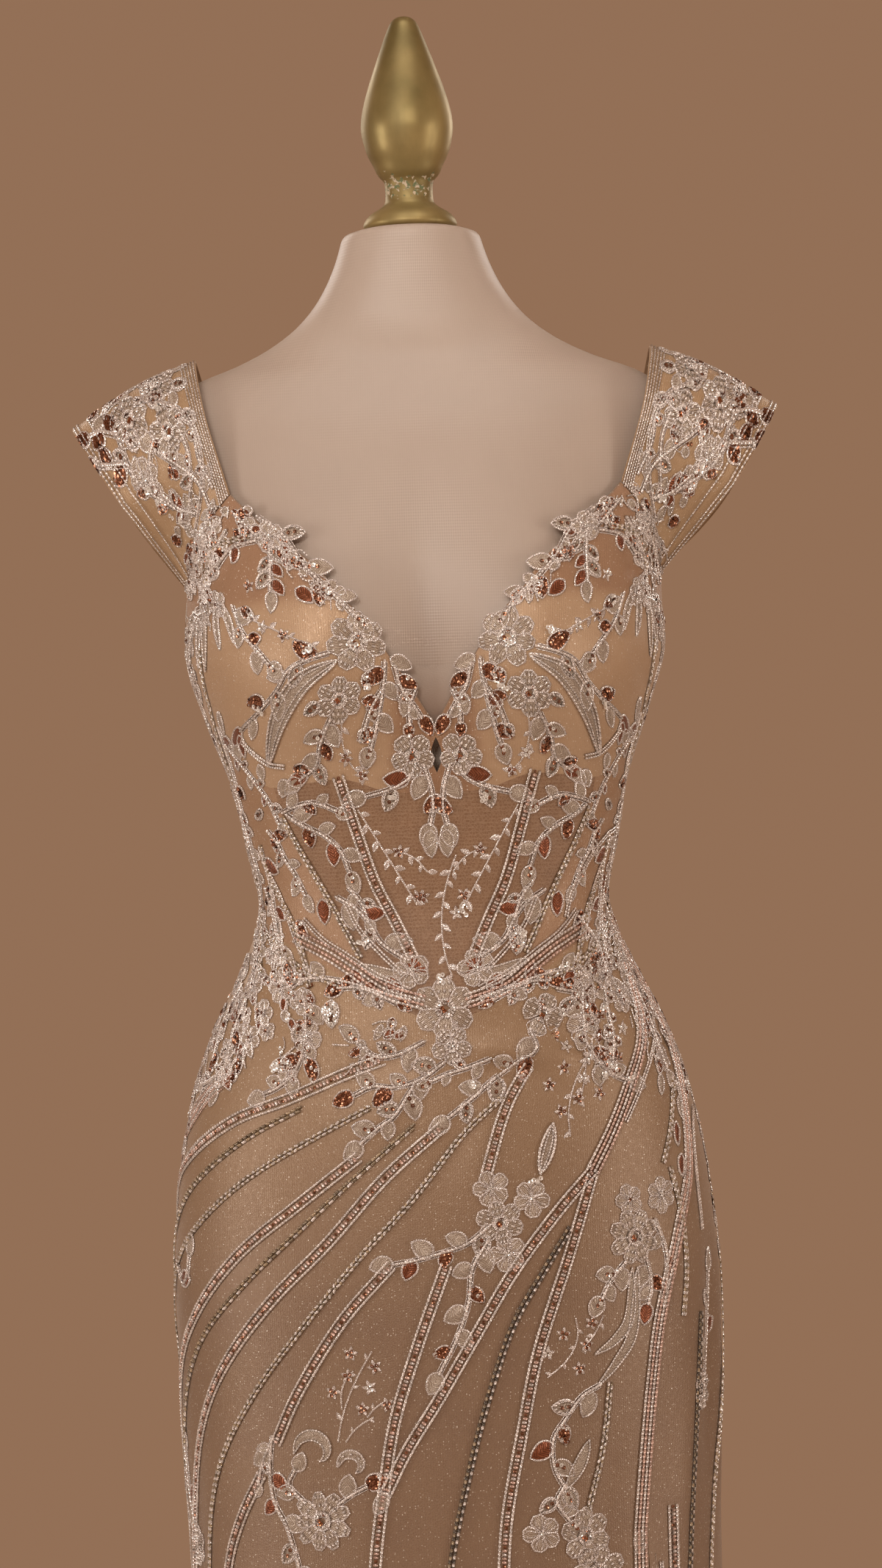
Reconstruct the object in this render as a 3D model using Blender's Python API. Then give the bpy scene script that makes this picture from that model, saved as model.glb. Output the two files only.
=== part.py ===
"""Evening gown on a dress form, with a beaded lace relief, cap straps, a slit skirt and a zip pull.

Every cut piece of the gown is one closed wall, worked out on the surface of a parametric figure.
A place on the figure is (s, z) in millimetres: s is the way round the body from the centre front,
positive toward +X, and z is the height above the floor. Bodies and offsets are in metres.
"""

import math

import bmesh
import bpy
import numpy as np
from mathutils import geometry

MM = 0.001

# ---- the figure: half sizes of the body at a height, in metres ----
FIGURE = np.array([
    # height, half_width, front_depth, back_depth, centre_y
    (0.000, 0.3450, 0.3000, 0.3850, 0.000),
    (0.120, 0.3020, 0.2580, 0.3300, 0.000),
    (0.260, 0.2500, 0.2120, 0.2640, 0.000),
    (0.400, 0.2060, 0.1740, 0.2120, 0.000),
    (0.530, 0.1800, 0.1490, 0.1760, 0.000),
    (0.660, 0.1690, 0.1350, 0.1540, 0.000),
    (0.780, 0.1715, 0.1280, 0.1420, 0.000),
    (0.860, 0.1732, 0.1240, 0.1370, 0.000),
    (0.920, 0.1688, 0.1190, 0.1320, 0.000),
    (0.970, 0.1600, 0.1130, 0.1240, 0.000),
    (1.008, 0.1485, 0.1060, 0.1130, 0.000),
    (1.040, 0.1340, 0.0990, 0.1010, 0.000),
    (1.070, 0.1195, 0.0920, 0.0900, 0.000),
    (1.100, 0.1105, 0.0880, 0.0840, 0.000),
    (1.135, 0.1170, 0.0910, 0.0850, 0.000),
    (1.180, 0.1265, 0.0970, 0.0910, 0.000),
    (1.220, 0.1405, 0.1020, 0.0970, 0.000),
    (1.262, 0.1520, 0.1040, 0.1020, 0.000),
    (1.305, 0.1530, 0.1020, 0.1060, 0.000),
    (1.345, 0.1590, 0.0950, 0.1070, 0.000),
    (1.382, 0.1670, 0.0840, 0.1020, 0.000),
    (1.410, 0.1695, 0.0730, 0.0940, 0.002),
    (1.427, 0.1620, 0.0640, 0.0860, 0.004),
    (1.440, 0.1440, 0.0580, 0.0800, 0.006),
    (1.450, 0.1180, 0.0540, 0.0740, 0.008),
    (1.461, 0.0960, 0.0510, 0.0680, 0.009),
    (1.475, 0.0775, 0.0490, 0.0610, 0.010),
    (1.492, 0.0640, 0.0485, 0.0540, 0.011),
    (1.512, 0.0545, 0.0480, 0.0505, 0.012),
    (1.530, 0.0490, 0.0475, 0.0490, 0.012),
])
SQUARENESS = 2.25  # exponent of the superellipse that each ring follows
BUST = {"x": 0.078, "z": 1.248, "rise": 0.032, "spread": 0.060, "above": 0.076, "below": 0.055}
RING_POINTS = 257
ARC_STEPS = 721
LEVELS = 384
CENTRE_FRONT = 5.0  # mm, how far toward +X the gown's centre front sits

# ---- soft flutes of the lower skirt ----
FLUTES = (
    # place round the figure (-1 to 1), half spread, depth at the hem in metres
    (-0.94, 0.060, 0.040), (-0.74, 0.070, 0.034), (-0.55, 0.060, 0.026), (-0.34, 0.075, 0.030),
    (-0.12, 0.065, 0.022), (0.10, 0.070, 0.028), (0.38, 0.060, 0.030), (0.57, 0.060, 0.026),
    (0.76, 0.070, 0.036), (0.95, 0.055, 0.042),
)
FLUTE_TOP = 0.58
FLUTE_POWER = 1.4

# ---- walls ----
WALL = 0.0020
SEAM_HALF_GAP = 0.2  # mm
RELIEF = 0.0015
STRAP_WALL = 0.0018
INSERT_OUTER, INSERT_INNER = -0.0031, -0.0042
FORM_INSET = 0.0058
FORM_BOTTOM, FORM_TOP = 0.800, 1.530
HEM_HEIGHT = 15.0  # mm
FAN_WIDTH = 440.0  # mm, half the width of the skirt's flat chart

# ---- seams and edges on the positive side, (s, z) in mm ----
WAIST = ((0, 1026), (22, 1034), (56, 1052), (90, 1072), (130, 1086), (165, 1092), (320, 1094))
UNDERBUST = ((0, 1168), (28, 1170), (61, 1179), (108, 1175), (140, 1190), (176, 1210), (200, 1214))
CHANNEL = ((61, 1179), (51, 1146), (41, 1115), (29, 1090), (19, 1070), (9, 1046), (6, 1028))
SHEER_EDGE = ((108, 1176), (102, 1155), (83, 1124), (70, 1102), (55, 1072), (46, 1047))
NECKLINE = ((127, 1358), (104, 1336), (84, 1321), (69, 1308), (57, 1291), (46, 1279), (30, 1256),
            (17, 1237), (6, 1219), (0, 1209))
ARMHOLE = ((195, 1303), (206, 1286), (220, 1276), (234, 1286), (245, 1303))
BACK_NECK = ((128, 1367), (112, 1330), (90, 1290), (62, 1250), (34, 1215), (14, 1196), (0, 1190))
SLIT_SEAM = ((140, 1091), (160, 1060), (177, 1020), (181, 985), (175, 932), (158, 890), (140, 844),
             (131, 800), (124, 752), (119, 705))
SEAM_JOINS = (6, 46, 61, 108, 140)  # mm from the centre front, where a seam meets the waist or the underbust
KEYHOLE = {"low": 1181, "high": 1203, "half_width": 3.4}
SLIT_HALF_WIDTH = 24.0  # mm, at the hem
UNDERARM = 1276
INSERT_TOP = 1246

# ---- straps: the fold at the top, in metres, and the middle of the front and back runs ----
STRAP_ROUTE = (
    # along, inner edge (x, y, z), outer edge (x, y, z)
    (0.27, (0.1380, -0.0540, 1.412), (0.1920, -0.0500, 1.355)),
    (0.50, (0.1455, 0.0040, 1.450), (0.2256, 0.0010, 1.4085)),
    (0.73, (0.1390, 0.0640, 1.414), (0.1930, 0.0530, 1.352)),
)
STRAP_FRONT = ((127, 1358), (195, 1303))
STRAP_BACK = ((128, 1367), (186, 1303))
STRAP_LENGTH = 206.0  # mm, along the middle
STRAP_WIDTH = 88.0  # mm, at the fold
STRAP_GAP = 0.9  # mm, between a strap's ends and the bodice
END_BLEND = 0.2  # share of a strap over which its ends take the body's bulge

# ---- colours of the pieces, linear ----
COLOURS = {
    "cloth": (0.46, 0.30, 0.18), "sheer": (0.36, 0.22, 0.13), "form": (0.52, 0.36, 0.26),
    "gilt": (0.20, 0.14, 0.05), "steel": (0.30, 0.30, 0.31), "base": (0.08, 0.07, 0.06),
    "zip": (0.55, 0.47, 0.40),
}

# ---- lace: flowers, (s, z, radius in mm, petals, turn in degrees) ----
PAIRED_FLOWERS = (
    (-48, 1262, 18, 7, 10), (-60, 1228, 14, 6, 0), (-15, 1192, 13, 5, 18), (-100, 1330, 10, 5, 0),
    (-20, 1060, 11, 5, 0), (-108, 1051, 9, 5, 0), (-134, 1052, 9, 5, 30), (-91, 1042, 8, 5, 10),
    (-121, 1035, 8, 5, 40), (-148, 1040, 8, 5, 0), (-88, 1021, 10, 4, 20), (-158, 1120, 9, 5, 0),
    (-160, 1062, 9, 5, 20), (-150, 1290, 9, 5, 0),
)
FLOWERS = (
    (0, 1036, 19, 6, 0), (3, 1013, 12, 5, 20), (24, 926, 11, 5, 0), (49, 919, 11, 5, 20),
    (29, 905, 14, 6, 10), (33, 886, 11, 5, 0), (116, 891, 17, 8, 0), (138, 915, 11, 6, 0),
    (113, 914, 9, 5, 0), (76, 712, 16, 6, 10), (48, 716, 11, 5, 0), (84, 690, 17, 7, 0),
    (-87, 727, 18, 9, 0), (-90, 640, 14, 6, 0), (52, 640, 13, 6, 15), (176, 790, 12, 6, 0),
    (-205, 700, 12, 6, 0),
)
BACK_FLOWERS = (
    (62, 1262, 15, 7, 0), (104, 1330, 11, 5, 0), (22, 1070, 14, 6, 0), (66, 1068, 11, 5, 20),
    (116, 1066, 10, 5, 0), (52, 900, 15, 7, 0), (128, 962, 12, 6, 0), (96, 760, 13, 6, 10),
    (34, 1180, 11, 5, 0),
)
# ---- lace: leaves along a stem, (points, leaf length, leaf width, first side, one letter a leaf) ----
PAIRED_STEMS = (
    (((-107, 1343), (-90, 1330), (-79, 1313), (-68, 1300), (-57, 1288), (-48, 1278)), 14, 7.5, -1, "sosvksv"),
    (((-100, 1324), (-100, 1310), (-101, 1296)), 12, 6.5, 1, "oococs"),
    (((-134, 1288), (-127, 1272), (-115, 1260), (-106, 1251)), 12, 8, 1, "svksv"),
    (((-66, 1256), (-80, 1252), (-92, 1246), (-101, 1234), (-116, 1222), (-134, 1212)), 15, 8, -1, "kosvksc"),
    (((-65, 1216), (-71, 1202), (-75, 1188), (-86, 1180)), 13, 7, 1, "svksoks"),
    (((-31, 1250), (-32, 1238), (-36, 1214), (-40, 1198)), 12, 7.5, -1, "kscskv"),
    (((-25, 1247), (-21, 1234), (-14, 1224), (-5, 1212), (-2, 1206)), 13, 7, 1, "sscs"),
    (((-13, 1186), (-18, 1178), (-29, 1172), (-44, 1168)), 14, 8, -1, "cos"),
    (((-8, 1186), (-4, 1172), (-3, 1160), (-5, 1150)), 14, 8, -1, "sks"),
    (((-101, 1160), (-92, 1163), (-78, 1165), (-64, 1160)), 10, 6, 1, "sksv"),
    (((-98, 1158), (-86, 1151), (-72, 1144), (-62, 1135), (-57, 1122)), 13, 7, 1, "skscsv"),
    (((-66, 1106), (-54, 1099), (-45, 1089), (-38, 1077), (-24, 1067)), 15, 8, -1, "scosc"),
    (((-170, 1214), (-160, 1192), (-152, 1168), (-146, 1140)), 15, 7, 1, "cskcs"),
    (((-130, 1138), (-123, 1116), (-118, 1094), (-104, 1066)), 15, 7, 1, "ckcsk"),
    (((-22, 1042), (-40, 1047), (-58, 1053), (-76, 1056), (-92, 1056)), 12, 7, -1, "cscksv"),
    (((-89, 1043), (-88, 1029), (-90, 1013), (-97, 998), (-108, 990), (-118, 986)), 12, 8, 1, "vovksvs"),
    (((-140, 1042), (-148, 1022), (-152, 1004), (-160, 990)), 13, 7, -1, "ckocs"),
)
STEMS = (
    (((-2, 1003), (-17, 993), (-33, 989), (-46, 990), (-58, 985)), 13, 8, -1, "osvkvk"),
    (((-14, 1016), (-30, 1009), (-44, 1008), (-55, 1017)), 13, 7, 1, "sovv"),
    (((-22, 988), (-33, 972), (-43, 965), (-54, 956)), 13, 8, 1, "vosvs"),
    (((53, 1022), (54, 1008), (42, 1001), (28, 992), (16, 982), (0, 970)), 14, 8, -1, "skvosos"),
    (((22, 903), (8, 893), (-8, 888), (-24, 884), (-37, 882)), 13, 8, 1, "oskscs"),
    (((22, 896), (11, 878), (8, 858), (0, 836), (-11, 816)), 13, 8, 1, "sskssks"),
    (((108, 876), (98, 866), (92, 856)), 12, 8, 1, "svsv"),
    (((124, 876), (127, 862), (124, 850)), 12, 8, -1, "sksc"),
    (((88, 803), (76, 797), (65, 784), (57, 772), (57, 756), (63, 743)), 14, 8, 1, "sokcvo"),
    (((63, 744), (58, 734), (66, 722)), 12, 7, 1, "sosv"),
    (((-98, 738), (-108, 748), (-104, 757)), 11, 7, 1, "vs"),
    (((-75, 738), (-66, 744), (-58, 748)), 12, 8, 1, "sk"),
    (((-119, 777), (-121, 758), (-119, 738), (-110, 721), (-101, 690), (-92, 650)), 13, 8, -1, "sccsovsco"),
    (((-212, 878), (-200, 866), (-192, 872), (-189, 884)), 13, 8, 1, "cs"),
    (((78, 690), (72, 664), (56, 646)), 13, 8, 1, "csov"),
    (((180, 800), (186, 830), (190, 862)), 13, 8, 1, "scos"),
    (((-205, 705), (-214, 730), (-218, 758)), 13, 8, 1, "scos"),
)
BACK_STEMS = (
    (((118, 1352), (103, 1322), (84, 1288), (60, 1254), (34, 1222), (18, 1206)), 14, 8, 1, "soscvksosc"),
    (((66, 1250), (80, 1226), (84, 1200), (72, 1176)), 14, 8, 1, "scksov"),
    (((34, 1182), (44, 1160), (42, 1136), (30, 1112)), 13, 7, -1, "kscos"),
    (((128, 1160), (116, 1134), (112, 1106), (116, 1076)), 14, 7, 1, "csksv"),
    (((20, 1066), (44, 1064), (70, 1062), (98, 1066), (124, 1070)), 13, 7, 1, "skcsosv"),
    (((24, 1052), (40, 1026), (64, 1004), (92, 988), (126, 968)), 14, 8, -1, "sovkscos"),
    (((14, 1030), (18, 996), (30, 960), (44, 930), (52, 904)), 14, 8, 1, "kscosvs"),
    (((56, 886), (66, 850), (82, 812), (94, 776)), 14, 8, 1, "scovsks"),
)
# ---- lace: long curved leaves, (points, width) ----
PAIRED_FEATHERS = (
    (((-62, 1251), (-84, 1238), (-100, 1216), (-110, 1190)), 11),
    (((-152, 1294), (-160, 1278), (-163, 1258)), 6),
    (((-150, 1293), (-152, 1270), (-150, 1246)), 6),
    (((-147, 1293), (-143, 1276), (-141, 1256)), 6),
    (((-145, 1292), (-136, 1276), (-132, 1258)), 6),
    (((-14, 1054), (-34, 1057), (-52, 1064)), 8),
)
FEATHERS = (
    (((64, 963), (61, 952), (55, 934)), 9), (((113, 872), (110, 843), (100, 830), (86, 822)), 7),
    (((117, 872), (112, 834), (100, 816), (87, 803)), 7), (((80, 770), (74, 757), (64, 742)), 8),
)
BACK_FEATHERS = ((((30, 1062), (52, 1046), (62, 1022)), 9), (((44, 905), (26, 880), (22, 850)), 9))
# ---- beaded lines, (kind, points); the widths in mm stand under LINE_WIDTH ----
LINE_WIDTH = {"rose": 7.5, "bugle": 4.5, "small": 3.5, "dark": 4.0, "bright": 8.0}
PAIRED_LINES = (
    ("rose", ((-61, 1180), (-51, 1146), (-41, 1115), (-29, 1090), (-19, 1068))),
    ("small", ((-102, 1156), (-83, 1124), (-70, 1102), (-52, 1069))),
    ("small", ((-160, 1305), (-150, 1320), (-137, 1328), (-115, 1331))),
    ("small", ((-182, 1262), (-184, 1235), (-174, 1200), (-160, 1160), (-148, 1120), (-138, 1085),
               (-128, 1060))),
    ("small", ((-130, 1138), (-122, 1118), (-104, 1096), (-92, 1074), (-86, 1052))),
    ("bright", ((-96, 1082), (-74, 1072), (-58, 1062), (-38, 1048), (-14, 1040))),
    ("small", ((-128, 1084), (-108, 1072), (-88, 1060), (-66, 1052))),
)
LINES = (
    ("rose", ((-40, 1006), (-63, 998), (-101, 983), (-141, 970), (-190, 946), (-222, 928),
              (-258, 896), (-300, 846), (-336, 780), (-356, 700))),
    ("bugle", ((-93, 977), (-129, 960), (-167, 938), (-200, 916), (-232, 888), (-262, 850), (-284, 806))),
    ("small", ((-49, 977), (-89, 957), (-130, 935), (-171, 908), (-208, 880), (-238, 842),
               (-262, 796), (-276, 750))),
    ("rose", ((-57, 947), (-97, 918), (-139, 888), (-180, 850), (-214, 812), (-240, 764), (-256, 706),
              (-264, 640))),
    ("bugle", ((-22, 965), (-59, 935), (-97, 902), (-135, 870), (-179, 830), (-208, 790), (-226, 745))),
    ("rose", ((-5, 964), (-41, 934), (-78, 895), (-113, 863), (-149, 825), (-180, 785), (-200, 745),
              (-213, 690), (-220, 620), (-224, 540))),
    ("small", ((33, 981), (8, 959), (-24, 921), (-59, 885), (-101, 838), (-129, 805), (-158, 765),
               (-174, 730), (-182, 690), (-188, 620))),
    ("rose", ((-39, 881), (-70, 848), (-99, 806), (-116, 774))),
    ("rose", ((-128, 753), (-145, 726), (-158, 697), (-168, 650), (-174, 580), (-180, 500))),
    ("rose", ((-5, 880), (-24, 832), (-39, 788), (-47, 747), (-54, 700), (-58, 640), (-64, 560),
              (-72, 480))),
    ("bright", ((134, 1056), (136, 1030), (132, 1009), (120, 987), (104, 958), (89, 934))),
    ("rose", ((89, 934), (64, 909), (36, 875), (12, 838), (-12, 800), (-32, 770), (-46, 744))),
    ("rose", ((50, 998), (39, 982), (31, 964), (22, 936))),
    ("rose", ((88, 930), (71, 883), (50, 827), (38, 778), (27, 727), (23, 680), (20, 610), (16, 530))),
    ("dark", ((72, 899), (56, 876), (35, 843), (18, 799), (5, 755), (-8, 700), (-14, 640), (-18, 580))),
    ("bright", ((135, 1084), (153, 1058), (170, 1019), (174, 985), (168, 932), (152, 892), (134, 844),
                (125, 800), (118, 752), (113, 712))),
    ("small", ((165, 984), (153, 957), (142, 935))),
    ("small", ((198, 1060), (214, 1010), (224, 960), (228, 910), (222, 860), (212, 810), (200, 762),
               (188, 715), (182, 670), (180, 610))),
    ("dark", ((174, 838), (170, 805), (165, 774), (156, 711), (152, 650), (150, 590))),
    ("small", ((95, 803), (89, 764), (79, 730))),
    ("rose", ((139, 723), (139, 686), (140, 630), (142, 570))),
)
BACK_LINES = (
    ("rose", ((14, 1092), (40, 1046), (84, 994), (140, 940), (196, 880), (236, 812))),
    ("bugle", ((14, 1010), (44, 950), (92, 880), (146, 812), (186, 740))),
    ("rose", ((12, 960), (36, 890), (70, 816), (104, 740), (130, 660), (142, 580))),
    ("dark", ((14, 880), (34, 800), (56, 720), (72, 640), (80, 570))),
    ("small", ((150, 1120), (138, 1086), (146, 1050), (176, 1010), (206, 965))),
    ("rose", ((14, 790), (26, 700), (34, 610), (38, 520))),
)
# ---- lace of the straps, (across, along, radius, petals, turn) and stems; along runs from the front ----
STRAP_FLOWERS = (
    (30, 62, 13, 6, 0), (52, 80, 13, 6, 20), (28, 90, 12, 5, 40), (58, 54, 10, 5, 0), (40, 118, 13, 6, 0),
    (62, 134, 11, 5, 0),
)
STRAP_STEMS = (
    (((20, 8), (24, 26), (34, 44), (44, 62)), 12, 7, 1, "sovs"),
    (((66, 92), (56, 104), (36, 104), (18, 100)), 11, 7, 1, "kcks"),
    (((30, 190), (34, 168), (44, 148), (50, 130)), 12, 7, 1, "sovks"),
)
LEAF_ANGLE = math.radians(48)
LARGE_FLOWER = 15.5  # mm, radius
# Whatever is smaller than these is sewing, in mm.
SMALLEST_RAISED_LEAF, SMALLEST_RAISED_FLOWER, NARROWEST_RAISED_LINE = 13.4, 9.5, 4.6
RELIEF_END, FLATNESS = 600, 1.0

# ---- form, stand and zip ----
FINIAL = (
    # radius, height above the neck, in mm, from the foot to the tip
    (0, 0.3), (24, 0.3), (29.3, 1.5), (29.8, 5), (26, 10), (19, 14.5), (15.8, 18), (15.3, 24), (15.8, 31),
    (18.2, 34), (20.4, 37), (22.6, 42), (26.4, 50), (29.0, 60), (29.6, 68), (28.2, 78), (24.6, 91),
    (19.4, 106), (14.2, 120), (10.2, 130), (7.6, 134.5), (4.0, 137), (0, 137.6),
)
FINIAL_SIDES = 14
POLE_RADIUS, POLE_LOW = 0.016, 0.0203
BASE_PROFILE = ((0, 0), (172, 0), (180, 3), (180, 10), (168, 17), (60, 20), (0, 20))
BASE_SIDES = 30
SLIDER_HEIGHT = 1178.0  # mm, the middle of the zip slider
PULL_SIZE = (4.6, 13.0, 1.3)  # mm, width, length, thickness


# ---------------------------------------------------------------- curves
def slopes(x, y):
    """Slopes of the monotone cubic through the points."""
    step = np.diff(x)
    rise = np.diff(y) / step
    found = np.zeros_like(y)
    for i in range(1, len(x) - 1):
        if rise[i - 1] * rise[i] > 0:
            before, after = 2 * step[i] + step[i - 1], step[i] + 2 * step[i - 1]
            found[i] = (before + after) / (before / rise[i - 1] + after / rise[i])
    found[0], found[-1] = rise[0], rise[-1]
    return found


def curve(x, y, at):
    """The monotone cubic through the points, read at these places."""
    x, y = np.asarray(x, float), np.asarray(y, float)
    m = slopes(x, y)
    at = np.clip(at, x[0], x[-1])
    i = np.clip(np.searchsorted(x, at) - 1, 0, len(x) - 2)
    h = x[i + 1] - x[i]
    t = (at - x[i]) / h
    return ((1 + 2 * t) * (1 - t) ** 2 * y[i] + t * (1 - t) ** 2 * h * m[i]
            + t * t * (3 - 2 * t) * y[i + 1] + t * t * (t - 1) * h * m[i + 1])


def spline(points, step):
    """Points about a step apart on the Catmull-Rom curve through these points, both ends kept."""
    points = np.asarray(points, float)
    ends = np.vstack([2 * points[0] - points[1], points, 2 * points[-1] - points[-2]])
    fine = []
    for a, b, c, d in zip(ends, ends[1:], ends[2:], ends[3:]):
        for t in np.arange(0, 1, 0.05):
            fine.append(0.5 * (2 * b + (c - a) * t + (2 * a - 5 * b + 4 * c - d) * t * t
                               + (3 * b - a - 3 * c + d) * t ** 3))
    fine = np.array(fine + [points[-1]])
    length = np.concatenate([[0], np.cumsum(np.linalg.norm(np.diff(fine, axis=0), axis=1))])
    count = max(2, int(round(length[-1] / step)) + 1)
    at = np.linspace(0, length[-1], count)
    return np.stack([np.interp(at, length, fine[:, k]) for k in range(points.shape[1])], axis=1)


def tangents(points):
    found = np.gradient(points, axis=0)
    return found / np.linalg.norm(found, axis=1, keepdims=True)


def beside(points, distance):
    """The path moved to its left by a distance."""
    along = tangents(points)
    return points + distance * np.stack([-along[:, 1], along[:, 0]], axis=1)


# ---------------------------------------------------------------- the figure
def bust(x, z):
    reach = np.where(z > BUST["z"], BUST["above"], BUST["below"])
    mound = np.maximum(*(np.exp(-(((x - side * BUST["x"]) / BUST["spread"]) ** 2)) for side in (-1, 1)))
    return BUST["rise"] * mound * np.exp(-(((z - BUST["z"]) / reach) ** 2))


def flutes(u, z):
    """How far the skirt stands out of its plain cone at a place round it, in metres."""
    t = np.clip((FLUTE_TOP - z) / FLUTE_TOP, 0, 1)
    ramp = (t * t * (3 - 2 * t)) ** (FLUTE_POWER / 2)
    total = 0.0
    for place, spread, depth in FLUTES:
        for turn in (-2, 0, 2):
            total = total + depth * np.exp(-(((u - place + turn) / spread) ** 2))
    return ramp * total


def ring(z):
    """One ring of the figure, even along its arc, and half its girth."""
    width, front, back, centre = (curve(FIGURE[:, 0], FIGURE[:, k], z) for k in (1, 2, 3, 4))
    angle = np.linspace(-math.pi, math.pi, ARC_STEPS)
    sine, cosine = np.sin(angle), np.cos(angle)
    x = width * np.sign(sine) * np.abs(sine) ** (2 / SQUARENESS)
    depth = np.where(cosine > 0, front, back)
    y = centre - depth * np.sign(cosine) * np.abs(cosine) ** (2 / SQUARENESS)
    ahead = np.clip(1.6 * cosine, 0, 1)
    y = y - bust(x, z) * ahead * ahead * (3 - 2 * ahead)
    length = np.concatenate([[0], np.cumsum(np.hypot(np.diff(x), np.diff(y)))])
    half = length[-1] / 2
    u = (length - length[ARC_STEPS // 2]) / half
    even = np.linspace(-1, 1, RING_POINTS)
    x, y = np.interp(even, u, x), np.interp(even, u, y)
    out = np.stack([np.gradient(y), -np.gradient(x)], axis=1)
    out /= np.linalg.norm(out, axis=1, keepdims=True)
    fold = flutes(even, z)
    return np.stack([x + out[:, 0] * fold, y + out[:, 1] * fold, np.full(RING_POINTS, z)], axis=1), half


HEIGHTS = np.linspace(0, FORM_TOP, LEVELS)
RINGS = [ring(z) for z in HEIGHTS]
SURFACE = np.array([points for points, _ in RINGS])
HALF_GIRTH = np.array([half for _, half in RINGS]) / MM
NORMALS = np.cross(np.gradient(SURFACE, axis=1), np.gradient(SURFACE, axis=0))
NORMALS /= np.linalg.norm(NORMALS, axis=2, keepdims=True)


def half_girth(z):
    """Half the way round the figure at a height, both in mm."""
    return np.interp(np.asarray(z, float) * MM, HEIGHTS, HALF_GIRTH)


def on_body(s, z, offset=0.0):
    """The place (s, z) on the figure, moved out by an offset in metres."""
    s, z = np.asarray(s, float), np.asarray(z, float)
    u = (s + CENTRE_FRONT) / half_girth(z)
    u = (u + 1) % 2 - 1
    across = np.clip((u + 1) / 2 * (RING_POINTS - 1), 0, RING_POINTS - 1.001)
    up = np.clip(z * MM / HEIGHTS[1], 0, LEVELS - 1.001)
    i, j = across.astype(int), up.astype(int)
    a, b = (across - i)[..., None], (up - j)[..., None]

    def read(grid):
        low = grid[j, i] * (1 - a) + grid[j, i + 1] * a
        high = grid[j + 1, i] * (1 - a) + grid[j + 1, i + 1] * a
        return low * (1 - b) + high * b

    out = read(NORMALS)
    out /= np.linalg.norm(out, axis=-1, keepdims=True)
    return read(SURFACE) + out * np.asarray(offset, float)[..., None]


def on_fan(across, z, offset=0.0):
    """The figure read by the share of the way round, so that the skirt's columns run straight down."""
    return on_body(np.asarray(across, float) / FAN_WIDTH * half_girth(z) - CENTRE_FRONT, z, offset)


def fan(points):
    points = np.asarray(points, float)
    share = (points[:, 0] + CENTRE_FRONT) / half_girth(points[:, 1])
    return np.stack([share * FAN_WIDTH, points[:, 1]], axis=1)


def waist(s):
    return curve(*np.array(WAIST, float).T, np.abs(s))


def underbust(s):
    return curve(*np.array(UNDERBUST, float).T, np.abs(s))


# ---------------------------------------------------------------- outlines of the lace
def flower_outline(s, z, radius, petals, turn):
    """A flower: two points on each petal and one between, or one on each petal of a small flower."""
    points = []
    steps = ((0.0, 0.62), (0.3, 1.0), (0.7, 1.0)) if radius >= LARGE_FLOWER else ((0.0, 0.6), (0.5, 1.0))
    for k in range(petals):
        start = math.radians(turn) + 2 * math.pi * k / petals
        for share, reach in steps:
            angle = start + 2 * math.pi * share / petals
            points.append((s + radius * reach * math.cos(angle), z + radius * reach * math.sin(angle)))
    return np.array(points)


def leaf_outline(base, direction, length, width):
    """A pointed leaf of four points."""
    direction = direction / np.linalg.norm(direction)
    side = np.array([-direction[1], direction[0]])
    shape = ((-0.04, 0), (0.42, -0.5), (1, 0), (0.42, 0.5))
    return np.array([base + direction * length * a + side * width * b for a, b in shape])


def ribbon_outline(points, width, surface):
    """A strip of a width along a path, with a point wherever its surface bends by more than a little."""
    path = spline(points, 6.0)
    left, right = beside(path, width / 2), beside(path, -width / 2)
    there = np.array([surface(*p) for p in path]) / MM
    stops, start = [0], 0
    for end in range(2, len(path)):
        chord = there[end] - there[start]
        arms = there[start + 1:end] - there[start]
        off = np.linalg.norm(np.cross(arms, chord), axis=1) / np.linalg.norm(chord)
        if off.max() > FLATNESS:
            start = end - 1
            stops.append(start)
    stops.append(len(path) - 1)
    return np.vstack([right[stops], left[stops][::-1]])


def feather_outline(points, width):
    """A long leaf, widest in its middle, bent along its path."""
    path = spline(points, np.linalg.norm(np.diff(points, axis=0), axis=1).sum() / 5)
    t = np.linspace(0, 1, len(path))
    half = width / 2 * (0.12 + 0.88 * np.sin(math.pi * t) ** 0.7)
    along = tangents(path)
    side = np.stack([-along[:, 1], along[:, 0]], axis=1) * half[:, None]
    return np.vstack([path - side, (path + side)[::-1]])


def stem_leaves(points, length, width, side, letters):
    """Base, direction, length and width of each leaf along a stem; the last one is at its tip."""
    path = spline(points, 1.0)
    along = tangents(path)
    rows = []
    for k, letter in enumerate(letters):
        last = k == len(letters) - 1
        i = len(path) - 1 if last else int((k + 0.6) / (len(letters) - 0.2) * (len(path) - 1))
        turn = 0.0 if last else LEAF_ANGLE * side * (-1) ** k
        c, s = math.cos(turn), math.sin(turn)
        way = np.array([c * along[i, 0] - s * along[i, 1], s * along[i, 0] + c * along[i, 1]])
        size = length * (1.0 if last else 1.04 - 0.12 * ((k * 7) % 3))
        rows.append((path[i], way, size, width * size / length, letter))
    return rows


def mirrored(points):
    return np.asarray(points, float) * (-1, 1)


def from_back(points, side):
    """Points given as (way from the centre back, height), on one side of it."""
    points = np.asarray(points, float)
    return np.stack([side * (half_girth(points[:, 1]) - points[:, 0]), points[:, 1]], axis=1)


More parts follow.
